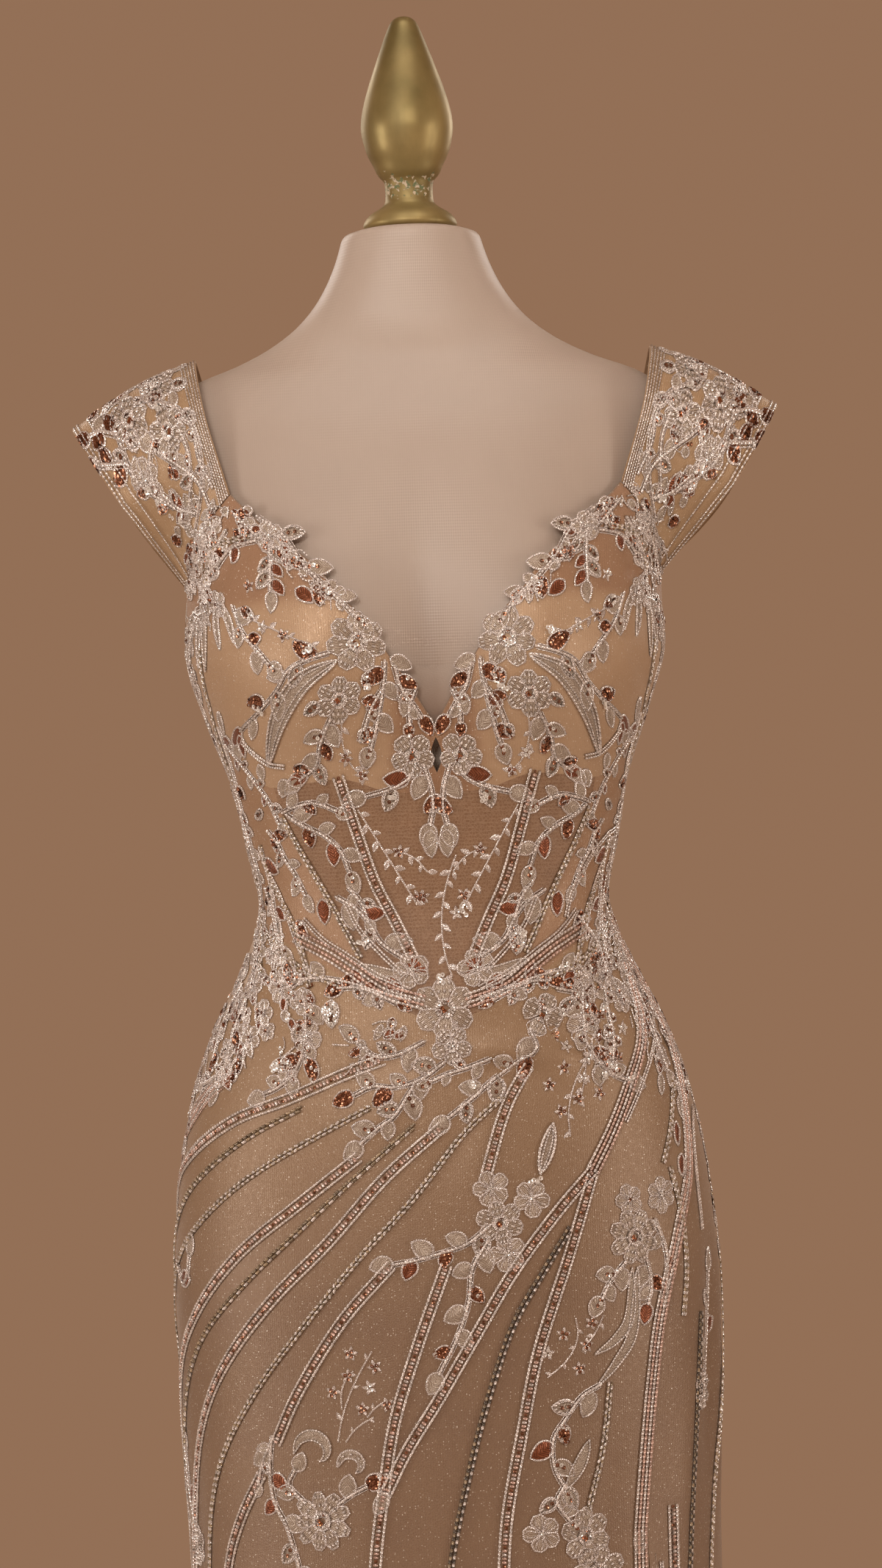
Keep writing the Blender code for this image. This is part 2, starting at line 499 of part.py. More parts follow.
def stem_outlines(rows, place):
    """Outlines of the larger leaves along the stems of a table, with every point put in its place."""
    found = []
    for points, length, width, side, letters in rows:
        route = place(points)
        turned = np.cross(*(place(((0, 1000), (1, 1000), (0, 1001)))[1:] - place(((0, 1000),)))) < 0
        for base, way, size, wide, _ in stem_leaves(route, length, width, -side if turned else side, letters):
            if size >= SMALLEST_RAISED_LEAF:
                found.append(leaf_outline(base, way, size, wide))
    return found


def flower_outlines(rows, place):
    return [flower_outline(*place(((s, z),))[0], radius, petals, turn) for s, z, radius, petals, turn in rows
            if radius >= SMALLEST_RAISED_FLOWER]


def raised_run(points):
    """The part of a line above the height where its relief ends."""
    kept = [p for p in points if p[1] >= RELIEF_END]
    return kept if len(kept) > 1 else points


def lace_outlines():
    """Every raised outline on the body of the gown."""
    found = []
    plain = lambda points: np.asarray(points, float)
    places = [(plain, PAIRED_FLOWERS + FLOWERS, PAIRED_STEMS + STEMS, PAIRED_FEATHERS + FEATHERS,
               PAIRED_LINES + LINES),
              (mirrored, PAIRED_FLOWERS, PAIRED_STEMS, PAIRED_FEATHERS, PAIRED_LINES)]
    for side in (-1, 1):
        back = lambda points, side=side: from_back(points, side)
        places.append((back, BACK_FLOWERS, BACK_STEMS, BACK_FEATHERS, BACK_LINES))
    for place, blooms, stems, feathers, lines in places:
        found += flower_outlines(blooms, place)
        found += stem_outlines(stems, place)
        found += [feather_outline(place(points), width) for points, width in feathers]
        found += [ribbon_outline(place(raised_run(points)), LINE_WIDTH[kind], on_body)
                  for kind, points in lines if LINE_WIDTH[kind] >= NARROWEST_RAISED_LINE]
    return found


# ---------------------------------------------------------------- walls with raised lace
def area(outline):
    x, y = np.asarray(outline).T
    return 0.5 * np.sum(x * np.roll(y, -1) - y * np.roll(x, -1))


def inside(points, edges):
    """Which of the points an even number of border edges doesn't enclose."""
    points = np.asarray(points)[:, None, :]
    a, b = edges[None, :, 0], edges[None, :, 1]
    crosses = (a[..., 1] > points[..., 1]) != (b[..., 1] > points[..., 1])
    rise = np.where(np.abs(b[..., 1] - a[..., 1]) < 1e-12, 1e-12, b[..., 1] - a[..., 1])
    x = a[..., 0] + (points[..., 1] - a[..., 1]) * (b[..., 0] - a[..., 0]) / rise
    return (crosses & (points[..., 0] < x)).sum(axis=1) % 2 == 1


def border_edges(outline):
    outline = np.asarray(outline, float)
    return np.stack([outline, np.roll(outline, -1, axis=0)], axis=1)


def distance_to(points, edges):
    points = np.asarray(points)[:, None, :]
    a, b = edges[None, :, 0], edges[None, :, 1]
    along = b - a
    t = np.clip(((points - a) * along).sum(-1) / np.maximum((along ** 2).sum(-1), 1e-12), 0, 1)
    return np.linalg.norm(points - a - along * t[..., None], axis=-1).min(axis=1)


def triangulate(outlines, loose):
    """Triangles over overlapping outlines: points, triangles and the outlines that each triangle is in."""
    points, faces = [tuple(p) for p in loose], []
    for outline in outlines:
        outline = outline if area(outline) > 0 else outline[::-1]
        faces.append(list(range(len(points), len(points) + len(outline))))
        points += [tuple(p) for p in outline]
    result = geometry.delaunay_2d_cdt(points, [], faces, 0, 1e-4, True)
    return np.array([tuple(v) for v in result[0]]), result[2], result[5]


def fans(corners, triangles):
    """The groups of a vertex's triangles that share edges, for each vertex."""
    around = {}
    for index, triangle in enumerate(triangles):
        for corner in triangle:
            around.setdefault(corner, []).append(index)
    for corner in corners:
        left, groups = set(around.get(corner, ())), []
        while left:
            group, grow = set(), [left.pop()]
            while grow:
                here = grow.pop()
                group.add(here)
                others = set(triangles[here]) - {corner}
                near = [t for t in left if others & (set(triangles[t]) - {corner})]
                left -= set(near)
                grow += near
            groups.append(group)
        yield corner, groups


def border_of(triangles):
    """The edges that have a triangle on one side only, in that triangle's direction."""
    edges = {(t[k], t[(k + 1) % 3]) for t in triangles for k in range(3)}
    return [edge for edge in edges if edge[::-1] not in edges]


def wall(name, surface, outline, loose, raised, colour, outer=0.0, inner=-WALL, overhang=None):
    """A closed wall over an outline, its lace raised on its outer face, over a plain inner face."""
    outline = np.asarray(outline, float)
    outline = outline if area(outline) > 0 else outline[::-1]
    zone = [] if overhang is None else [np.asarray(overhang, float)]
    everything = np.vstack([outline] + zone)
    low, high = everything.min(axis=0), everything.max(axis=0)
    near = [o for o in raised if (o.max(axis=0) > low).all() and (o.min(axis=0) < high).all()]
    border = border_edges(outline)
    loose = np.asarray(loose, float)
    loose = loose[inside(loose, border)]
    loose = loose[distance_to(loose, border) > 4.0]
    clear = loose
    if near:
        clear = loose[distance_to(loose, np.vstack([border_edges(o) for o in near])) > 7.0]
    points, triangles, owners = triangulate([outline] + zone + near, clear)
    first_lace = 1 + len(zone)
    kept, lifted = [], []
    for triangle, owner in zip(triangles, owners):
        lace = any(o >= first_lace for o in owner)
        if 0 in owner or (zone and 1 in owner and lace):
            a, b, c = points[list(triangle)]
            turned = (b[0] - a[0]) * (c[1] - a[1]) - (b[1] - a[1]) * (c[0] - a[0])
            if abs(turned) < 1e-7:
                continue
            kept.append(tuple(triangle) if turned > 0 else tuple(triangle[::-1]))
            lifted.append(lace)
    kept, lifted, points = split_touching(kept, lifted, points)
    kept, lifted = largest_piece(kept, lifted)
    return solid(name, surface, points, kept, lifted, loose, colour, outer, inner)


def split_touching(triangles, lifted, points):
    """Parts that meet in one point only are given a point each, a tenth of a millimetre apart."""
    triangles, points = [list(t) for t in triangles], [tuple(p) for p in points]
    corners = {c for edge in border_of(triangles) for c in edge}
    for corner, groups in list(fans(corners, triangles)):
        for group in groups[1:]:
            middle = np.mean([np.mean([points[c] for c in triangles[t]], axis=0) for t in group], axis=0)
            way = middle - np.array(points[corner])
            points.append(tuple(np.array(points[corner]) + 0.1 * way / np.linalg.norm(way)))
            for t in group:
                triangles[t] = [len(points) - 1 if c == corner else c for c in triangles[t]]
    return [tuple(t) for t in triangles], lifted, np.array(points)


def largest_piece(triangles, lifted):
    """Only the largest group of joined triangles."""
    owner = {}
    for index, t in enumerate(triangles):
        for k in range(3):
            owner.setdefault(frozenset((t[k], t[(k + 1) % 3])), []).append(index)
    left, best = set(range(len(triangles))), []
    while left:
        group, grow = [], [left.pop()]
        while grow:
            here = grow.pop()
            group.append(here)
            t = triangles[here]
            for k in range(3):
                for other in owner[frozenset((t[k], t[(k + 1) % 3]))]:
                    if other in left:
                        left.remove(other)
                        grow.append(other)
        best = max(best, group, key=len)
    return [triangles[i] for i in sorted(best)], [lifted[i] for i in sorted(best)]


def solid(name, surface, points, triangles, lifted, loose, colour, outer, inner):
    """The closed mesh: outer face at two levels, the steps between them, the inner face and the edges."""
    used = sorted({c for t in triangles for c in t})
    xyz = []
    low, high, base = {}, {}, {}

    def add(where, offset):
        xyz.append(tuple(surface(where[0], where[1], offset)))
        return len(xyz) - 1

    raised = [t for t, up in zip(triangles, lifted) if up]
    border = border_of(triangles)
    edge_corners = {c for edge in border for c in edge}
    plain = {c for t, up in zip(triangles, lifted) if not up for c in t}
    step_corners = {c for edge in border_of(raised) for c in edge}
    for corner in used:
        if corner in plain or corner in edge_corners:
            low[corner] = add(points[corner], outer)
    by_triangle = {}
    for corner, groups in fans({c for t in raised for c in t}, raised):
        for index, group in enumerate(groups):
            where = points[corner]
            if index:
                middle = np.mean([np.mean([points[c] for c in raised[t]], axis=0) for t in group], axis=0)
                where = where + 0.1 * (middle - where) / np.linalg.norm(middle - where)
            made = add(where, outer + RELIEF)
            for t in group:
                by_triangle[t, corner] = made
    faces = [tuple(low[c] for c in t) for t, up in zip(triangles, lifted) if not up]
    edge_owner = {}
    for t, triangle in enumerate(raised):
        faces.append(tuple(by_triangle[t, c] for c in triangle))
        for k in range(3):
            edge_owner[triangle[k], triangle[(k + 1) % 3]] = t
    for a, b in border_of(raised):
        t = edge_owner[a, b]
        faces.append((by_triangle[t, a], low[a], low[b], by_triangle[t, b]))
    # The inner face is triangulated again without the lace, on the same border.
    order = sorted(edge_corners)
    index = {c: k for k, c in enumerate(order)}
    flat = np.array([points[c] for c in order])
    edges = np.array([(points[a], points[b]) for a, b in border])
    inner_loose = [p for p in loose if distance_to([p], edges)[0] > 3.0]
    result = geometry.delaunay_2d_cdt(
        [tuple(p) for p in flat] + [tuple(p) for p in inner_loose],
        [(index[a], index[b]) for a, b in border], [], 0, 1e-6, True)
    corners = np.array([tuple(v) for v in result[0]])
    middles = np.array([corners[list(t)].mean(axis=0) for t in result[2]])
    keep = inside(middles, edges)
    source = [ids[0] for ids in result[3]]
    for number, triangle in enumerate(result[2]):
        if not keep[number]:
            continue
        a, b, c = corners[list(triangle)]
        turned = (b[0] - a[0]) * (c[1] - a[1]) - (b[1] - a[1]) * (c[0] - a[0])
        triangle = triangle if turned < 0 else triangle[::-1]
        made = []
        for corner in triangle:
            key = source[corner]
            if key not in base:
                base[key] = add(corners[corner], inner)
            made.append(base[key])
        faces.append(tuple(made))
    for a, b in border:
        faces.append((low[b], low[a], base[index[a]], base[index[b]]))
    assert step_corners <= set(low)
    return mesh_object(name, xyz, faces, colour)


def mesh_object(name, xyz, faces, colour, smooth=False):
    """A named object with its own material."""
    mesh = bpy.data.meshes.new(name)
    mesh.from_pydata([tuple(map(float, p)) for p in xyz], [], faces)
    mesh.validate()
    bm = bmesh.new()
    bm.from_mesh(mesh)
    bmesh.ops.triangulate(bm, faces=bm.faces[:])
    bm.to_mesh(mesh)
    bm.free()
    material = bpy.data.materials.new(name)
    material.use_nodes = True
    shader = material.node_tree.nodes["Principled BSDF"]
    shader.inputs["Base Color"].default_value = (*COLOURS[colour], 1)
    shader.inputs["Metallic"].default_value = 0.8 if colour in ("gilt", "steel", "zip") else 0.0
    shader.inputs["Roughness"].default_value = 0.35 if colour in ("gilt", "steel", "zip") else 0.6
    mesh.materials.append(material)
    if smooth:
        mesh.shade_smooth()
        mesh.set_sharp_from_angle(angle=math.radians(40))
    made = bpy.data.objects.new(name, mesh)
    bpy.context.scene.collection.objects.link(made)
    return made


# ---------------------------------------------------------------- panels of the gown
def seam(points, step, shift=0.0, ends=None):
    """A seam line about a step between points, moved to its left by a shift."""
    path = spline(points, step)
    return beside(path, shift) if shift else path


def marks(start, stop, step, joins=()):
    """Both ends, the whole steps between them and the joins, so that two pieces share a seam's points."""
    low, high = min(start, stop), max(start, stop)
    joins = np.array(joins, float)
    between = np.arange(math.ceil(low / step), math.floor(high / step) + 1) * step
    between = np.array([b for b in between if not len(joins) or np.abs(joins - b).min() > step / 3])
    between = np.sort(np.concatenate([between, joins]))
    between = between[(between > low + 0.4) & (between < high - 0.4)]
    found = np.concatenate([[low], between, [high]])
    return found if start < stop else found[::-1]


def side_seam(low, high, shift):
    """The seam at the side of the body, between two heights, moved toward the back by a shift."""
    z = marks(low, high, 14.0)
    return np.stack([half_girth(z) / 2 + shift, z], axis=1)


def centre_back(low, high, shift):
    z = marks(low, high, 14.0)
    return np.stack([half_girth(z) - shift, z], axis=1)


def level(line, start, stop, shift):
    """A run of the waist or underbust seam between two places round the body, moved up by a shift."""
    s = marks(start, stop, 13.0, [side * s for s in SEAM_JOINS for side in (-1, 1)])
    return np.stack([s, line(s) + shift], axis=1)


def hexes(low, high, spacing):
    """Points in staggered rows over a box of the chart."""
    rows = []
    for k, z in enumerate(np.arange(low[1], high[1], spacing * 0.87)):
        rows += [(s, z) for s in np.arange(low[0] + (k % 2) * spacing / 2, high[0], spacing)]
    return np.array(rows)


def joined(*parts):
    """One outline from runs that meet end to end, without double points."""
    points = []
    for p in np.vstack(parts):
        if not points or np.linalg.norm(p - points[-1]) > 0.25:
            points.append(p)
    if np.linalg.norm(points[0] - points[-1]) < 0.25:
        points.pop()
    return np.array(points)


def cup_outline():
    gap = SEAM_HALF_GAP
    side_s = half_girth(underbust(180.0)) / 2
    side_z = float(underbust(side_s))
    front = [(gap, 1168 + gap)]
    for t in np.linspace(0, 1, 7):
        z = KEYHOLE["low"] + t * (KEYHOLE["high"] - KEYHOLE["low"])
        front.append((gap + KEYHOLE["half_width"] * math.sin(math.pi * t), z))
    front.append((gap, 1209))
    neck = seam(NECKLINE[::-1], 13)
    base = np.linspace(STRAP_FRONT[0], STRAP_FRONT[1], 6)
    arm = seam(ARMHOLE[:3], 12)
    side = side_seam(side_z, UNDERARM, -gap)[::-1]
    bottom = level(underbust, side_s, 0, gap)
    bottom[:, 0] = np.clip(bottom[:, 0], gap, side_s - gap)
    return joined(np.array(front), neck[1:], base, arm, side, bottom)


def back_outline():
    gap = SEAM_HALF_GAP
    side = side_seam(float(waist(170.0)), UNDERARM, gap)
    side[0, 1] += gap
    arm = seam(ARMHOLE[2:], 12)
    arm[0, 0] += gap
    base = np.linspace(from_back([STRAP_BACK[1]], 1)[0], from_back([STRAP_BACK[0]], 1)[0], 6)
    neck = from_back(seam(BACK_NECK, 15), 1)
    neck[-1, 0] -= gap
    centre = centre_back(1094 + gap, 1190, gap)[::-1]
    bottom = level(waist, half_girth(1094) - gap, half_girth(waist(170.0)) / 2 + gap, gap)
    return joined(side, arm, base, neck, centre, bottom)


def overhang_zone(points, reach):
    """A band beyond a free edge, where lace may stand past the cloth."""
    path = spline(points, 12)
    return np.vstack([path, beside(path, -reach)[::-1]])


def midriff_outline(left, right):
    """Between two seams that run down from the underbust seam to the waist."""
    gap = SEAM_HALF_GAP
    top = level(underbust, right[0][0] - gap, left[0][0] + gap, -gap)
    down = left[1:-1] + (gap, 0)
    bottom = level(waist, left[-1][0] + gap, right[-1][0] - gap, gap)
    up = (right[1:-1] - (gap, 0))[::-1]
    return joined(top, down, bottom, up)


def skirt_outline(left, right):
    """Between two runs from the waist to the hem."""
    gap = SEAM_HALF_GAP
    top = level(waist, right[0][0], left[0][0], -gap)
    return joined(top, left[1:-1], hem(left[-1][0], right[-1][0]), right[1:-1][::-1])


def flute_columns():
    """Places round the skirt where the flutes crest, turn and sink, from -1 to 1."""
    places = []
    for (place, spread, _), (after, wide, _) in zip(FLUTES, FLUTES[1:] + (FLUTES[0],)):
        after = after if after > place else after + 2
        places += [place, place + 0.75 * spread, (place + spread + after - wide) / 2, after - 0.75 * wide]
    return np.array(sorted((p + 1) % 2 - 1 for p in places))


def skirt_rows():
    """Loose points of the skirt: even columns on each upper row, and columns on the flutes below."""
    rows = []
    for number, z in enumerate((1060, 1030, 998, 962, 922, 878, 830, 778, 720, 655)):
        place = np.linspace(-1, 1, 30, endpoint=False) + (number % 2) / 30
        rows += [(p * half_girth(z) - CENTRE_FRONT, z) for p in place]
    for z in (588, 530, 466, 396, 322, 246, 168, 90):
        rows += [(p * half_girth(z) - CENTRE_FRONT, z) for p in flute_columns()]
    return np.array(rows)


def hem(left, right):
    """The hem between two places, with its points on the flutes' columns."""
    place = flute_columns()
    place = np.concatenate([place, place + 2, place - 2])
    s = place * half_girth(HEM_HEIGHT) - CENTRE_FRONT
    s = np.sort(s[(s > left + 12) & (s < right - 12)])
    s = np.concatenate([[left], s, [right]])
    return np.stack([s, np.full(len(s), HEM_HEIGHT)], axis=1)


def run_down(place, tops, shift):
    """A seam of the skirt from the waist to the hem: its place round the body at each of the heights."""
    z = np.array([tops] + [v for v in (1048, 1019, 987, 951, 911, 868, 823, 775, 724, 705, 650, 588, 530, 466,
                                       396, 322, 246, 168, 90) if v < tops - 8] + [HEM_HEIGHT], float)
    return np.stack([place(z) + shift(z), z], axis=1)


def slit_place(z):
    """The seam above the slit, and the slit line below it, as way round the body."""
    s, height = np.array(SLIT_SEAM[::-1], float).T
    share = s[0] / half_girth(height[0])
    return np.where(z > height[0], curve(height, s, np.maximum(z, height[0])), share * half_girth(z))


def slit_shift(z):
    below = np.clip((SLIT_SEAM[-1][1] - z) / (SLIT_SEAM[-1][1] - HEM_HEIGHT), 0, 1)
    return SEAM_HALF_GAP + SLIT_HALF_WIDTH * below ** 1.2


def strap_point(side):
    """The surface of a strap: across from its inner edge and along from its front end, in mm."""
    ends, corners = [], []
    for run in (STRAP_FRONT, from_back(STRAP_BACK, 1)):
        s, z = np.linspace(run[0], run[1], 9).T
        there = (on_body(side * s, z) - (CENTRE_FRONT * MM, 0, 0)) * (side, 1, 1)
        corners.append((there[0], there[-1]))
        ends.append(there - np.linspace(there[0], there[-1], 9))
    stations = [(0.0, *corners[0])]
    stations += [(share, np.array(a), np.array(b)) for share, a, b in STRAP_ROUTE]
    stations += [(1.0, *corners[1])]
    share = np.array([row[0] for row in stations])

    def edge(number, t):
        return np.stack([curve(share, [row[number][k] for row in stations], t) for k in range(3)], axis=-1)

    def at(across, along):
        t = along / STRAP_LENGTH
        a, b = edge(1, t), edge(2, t)
        width = np.interp(t, (0, 0.27, 0.5, 0.73, 1), (85, 80, STRAP_WIDTH, 78, 84))
        share_across = np.clip(across / width, 0, 1)
        crown = 0.0035 * math.sin(math.pi * share_across) * math.sin(math.pi * t)
        point = a * (1 - share_across) + b * share_across
        near = max(0.0, 1 - min(t, 1 - t) / END_BLEND) ** 2
        bulge = [np.interp(share_across, np.linspace(0, 1, 9), ends[int(t > 0.5)][:, k]) for k in range(3)]
        return point + near * np.array(bulge) + np.array([0, math.copysign(crown, t - 0.5), crown])

    def surface(across, along, offset=0.0):
        step = 0.5
        here = at(across, along)
        over = at(across + step, along) - at(across - step, along)
        forward = at(across, min(along + step, STRAP_LENGTH)) - at(across, max(along - step, 0.0))
        out = np.cross(over, forward)
        out = out / np.linalg.norm(out)
        point = here + out * offset
        return np.array([side * point[0] + CENTRE_FRONT * MM, point[1], point[2]])

    return surface


def strap(name, side):
    """A cap strap, from the front of the cup over the shoulder to the back."""
    width = np.interp(np.linspace(0, 1, 15), (0, 0.27, 0.5, 0.73, 1), (85, 80, STRAP_WIDTH, 78, 84))
    along = np.linspace(STRAP_GAP, STRAP_LENGTH - STRAP_GAP, 15)
    inner = np.stack([np.zeros(15), along], axis=1)
    outer = np.stack([width, along], axis=1)
    front = np.stack([np.linspace(0, width[0], 6), np.full(6, along[0])], axis=1)
    back = np.stack([np.linspace(0, width[-1], 6), np.full(6, along[-1])], axis=1)
    outline = joined(front, outer[1:-1], back[::-1], inner[1:-1][::-1])
    loose = np.array([(x, y) for y in along[1:-1] for x in (17, 34, 51, 68)])
    plain = lambda points: np.asarray(points, float)
    surface = strap_point(side)
    raised = flower_outlines(STRAP_FLOWERS, plain) + stem_outlines(STRAP_STEMS, plain)
    for share in (0.09, 0.91):
        route = np.stack([width * share, along], axis=1)
        raised.append(ribbon_outline(route, 4.5, surface))
    made = wall(name, surface, outline, loose, raised, "cloth", 0.0, -STRAP_WALL)
    if side < 0:
        turn_faces(made)
    return made


def turn_faces(made):
    bm = bmesh.new()
    bm.from_mesh(made.data)
    bmesh.ops.reverse_faces(bm, faces=bm.faces[:])
    bm.to_mesh(made.data)
    bm.free()


# ---------------------------------------------------------------- form, stand, zip
def turned(name, profile, sides, origin, colour):
    """A lathe-turned solid about an upright axis from a closed profile in mm."""
    xyz, faces, rings = [], [], []
    for radius, height in profile:
        if radius == 0:
            xyz.append((origin[0], origin[1], origin[2] + height * MM))
            rings.append([len(xyz) - 1] * sides)
            continue
        start = len(xyz)
        for k in range(sides):
            angle = 2 * math.pi * k / sides
            xyz.append((origin[0] + radius * MM * math.cos(angle), origin[1] + radius * MM * math.sin(angle),
                        origin[2] + height * MM))
        rings.append(list(range(start, start + sides)))
    for a, b in zip(rings, rings[1:]):
        for k in range(sides):
            face = [a[k], a[(k + 1) % sides], b[(k + 1) % sides], b[k]]
            face = list(dict.fromkeys(face))
            if len(face) > 2:
                faces.append(tuple(face))
    return mesh_object(name, xyz, faces, colour, smooth=True)


def form_torso():
    """The padded body of the form, closed, with a flat neck and a flat foot."""
    heights = [0.800, 0.803, 0.812, 0.870, 0.930, 0.980, 1.025, 1.065, 1.098, 1.130, 1.170, 1.205,
               1.240, 1.275, 1.315, 1.352, 1.385, 1.409, 1.427, 1.441, 1.453, 1.468, 1.490, 1.526, 1.5296]
    insets = {0.800: 0.016, 0.803: 0.009, 1.5296: 0.007}
    columns = 30
    even = np.linspace(-1, 1, columns, endpoint=False)
    xyz, faces = [], []
    for z in heights:
        inset = insets.get(z, FORM_INSET)
        s = (0.72 * even + 0.28 * even ** 3) * half_girth(z / MM)
        hollow = 0.0025 * np.exp(-((s + CENTRE_FRONT) / 38) ** 2) * math.exp(-(((z - 1.230) / 0.045) ** 2))
        ring_points = on_body(s, np.full(columns, z / MM), -inset - hollow)
        ring_points[:, 2] = z
        xyz += [tuple(p) for p in ring_points]
    for row in range(len(heights) - 1):
        for k in range(columns):
            a, b = row * columns + k, row * columns + (k + 1) % columns
            faces.append((a, b, b + columns, a + columns))
    faces.append(tuple(range(columns))[::-1])
    faces.append(tuple(range(len(xyz) - columns, len(xyz))))
    return mesh_object("form_torso", xyz, faces, "form", smooth=True)


def box_object(name, low, high, colour):
    xyz = [(x, y, z) for z in (low[2], high[2]) for x, y in
           ((low[0], low[1]), (high[0], low[1]), (high[0], high[1]), (low[0], high[1]))]
    faces = [(3, 2, 1, 0), (4, 5, 6, 7), (0, 1, 5, 4), (1, 2, 6, 5), (2, 3, 7, 6), (3, 0, 4, 7)]
    return mesh_object(name, xyz, faces, colour)


def zip_parts():
    """The slider of the concealed zip at the centre back, and its pull tab on the slider's bail."""
    x, y, z = on_body(half_girth(SLIDER_HEIGHT), SLIDER_HEIGHT, RELIEF + 0.0004)
    box_object("zip_slider", (x - 0.0030, y, z - 0.0042), (x + 0.0030, y + 0.0026, z + 0.0042), "zip")
    width, length, thick = (v * MM for v in PULL_SIZE)
    top = z + 0.0016
    hinge = y + 0.0026 + 0.0004 + width * 0.30
    steps = 8
    outline = [(width * 0.30 * math.cos(a), top + width * 0.30 * math.sin(a))
               for a in np.linspace(0, math.pi, steps)]
    outline += [(-width / 2, top - length * 0.62), (-width * 0.3, top - length), (width * 0.3, top - length),
                (width / 2, top - length * 0.62)]
    count = len(outline)
    xyz = [(x + a, hinge + way * thick / 2, b) for way in (-1, 1) for a, b in outline]
    faces = [tuple(range(count)), tuple(range(2 * count - 1, count - 1, -1))]
    faces += [(k, k + count, (k + 1) % count + count, (k + 1) % count) for k in range(count)]
    pull = mesh_object("zip_pull", xyz, faces, "zip")
    pivot = bpy.data.objects.new("zip_pull_axis", None)
    bpy.context.scene.collection.objects.link(pivot)
    pivot.location = (x, hinge, top)
    pull.parent = pivot
    pull.matrix_parent_inverse.identity()
    pull.location = (-x, -hinge, -top)
    return x, hinge, top


# ---------------------------------------------------------------- the whole
def main():
    for old in list(bpy.data.objects):
        bpy.data.objects.remove(old, do_unlink=True)
    lace = lace_outlines()
    bodice_points = hexes((-460, 1030), (460, 1380), 28)
    gap = SEAM_HALF_GAP

    cup, back = cup_outline(), back_outline()
    neck_zone = overhang_zone(NECKLINE, -13)
    back_zone = overhang_zone(from_back(BACK_NECK, 1), 12)
    wall("cup_left", on_body, cup, bodice_points, lace, "cloth", overhang=neck_zone)
    wall("cup_right", on_body, mirrored(cup), bodice_points, lace, "cloth", overhang=mirrored(neck_zone))
    wall("back_left", on_body, back, bodice_points, lace, "cloth", overhang=back_zone)
    wall("back_right", on_body, mirrored(back), bodice_points, lace, "cloth", overhang=mirrored(back_zone))

    v_edge = np.array([p for p in seam(NECKLINE, 6) if p[1] < INSERT_TOP - 3])
    insert = joined(v_edge + (4, 0), (mirrored(v_edge) - (4, 0))[::-1],
                    np.stack([np.linspace(-27, 27, 5), np.full(5, INSERT_TOP)], axis=1))
    wall("plunge_insert", on_body, insert, hexes((-20, 1215), (20, 1245), 14), [], "sheer",
         INSERT_OUTER, INSERT_INNER)

    channel = np.vstack([spline(CHANNEL, 17)[:-1], [(6, waist(6.0))]])
    channel[0, 1] = underbust(channel[0, 0])
    sheer = np.vstack([spline(SHEER_EDGE, 17)[:-1], [(46, waist(46.0))]])
    sheer[0, 1] = underbust(sheer[0, 0])
    side_top = half_girth(underbust(180.0)) / 2
    side_low = half_girth(waist(170.0)) / 2
    side = side_seam(float(waist(side_low)), float(underbust(side_top)), 0)[::-1]
    for name, left, right, colour in (("midriff_centre", mirrored(channel), channel, "sheer"),
                                      ("midriff_left", channel, sheer, "sheer"),
                                      ("midriff_side_left", sheer, side, "cloth")):
        outline = midriff_outline(left, right)
        wall(name, on_body, outline, bodice_points, lace, colour)
        if name != "midriff_centre":
            wall(name.replace("left", "right"), on_body, mirrored(outline), bodice_points, lace, colour)

    rows = skirt_rows()
    at_side = lambda z: half_girth(z) / 2
    at_back = lambda z: half_girth(z)
    tight = lambda z: np.full(len(z), gap)
    waist_side = float(waist(side_low)) - gap
    waist_slit = float(waist(140.0)) - gap
    side_out = run_down(at_side, waist_side, tight)
    side_in = run_down(at_side, waist_side, lambda z: -tight(z))
    slit_out = run_down(slit_place, waist_slit, slit_shift)
    slit_in = run_down(slit_place, waist_slit, lambda z: -slit_shift(z))
    centre = run_down(at_back, 1094 - gap, lambda z: -tight(z))
    back_skirt = skirt_outline(side_out, centre)
    flat_lace = [fan(outline) for outline in lace]
    for name, outline in (("skirt_front", skirt_outline(mirrored(side_in), slit_in)),
                          ("skirt_front_side", skirt_outline(slit_out, side_in)),
                          ("skirt_back_left", back_skirt), ("skirt_back_right", mirrored(back_skirt))):
        wall(name, on_fan, fan(outline), fan(rows), flat_lace, "cloth")

    strap("strap_left", 1)
    strap("strap_right", -1)

    form_torso()
    neck = (0, FIGURE[-1, 4], FORM_TOP)
    turned("finial", FINIAL, FINIAL_SIDES, neck, "gilt")
    pole = ((0, 0), (POLE_RADIUS / MM, 0), (POLE_RADIUS / MM, (FORM_BOTTOM - POLE_LOW) / MM - 0.3),
            (0, (FORM_BOTTOM - POLE_LOW) / MM - 0.3))
    turned("pole", pole, FINIAL_SIDES, (0, 0, POLE_LOW), "steel")
    turned("base", BASE_PROFILE, BASE_SIDES, (0, 0, 0), "base")
    zip_parts()


main()
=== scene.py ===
"""Evening gown on a dress form: cloth, lace, beading, form and stand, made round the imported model.

A place on the figure is (s, z) in millimetres: s is the way round the body from the gown's centre
front, positive toward +X, and z is the height above the floor. A lace point is (s, z, h), where h is
how far it stands out of the cloth. All of it is turned to metres by one call at the end.
"""

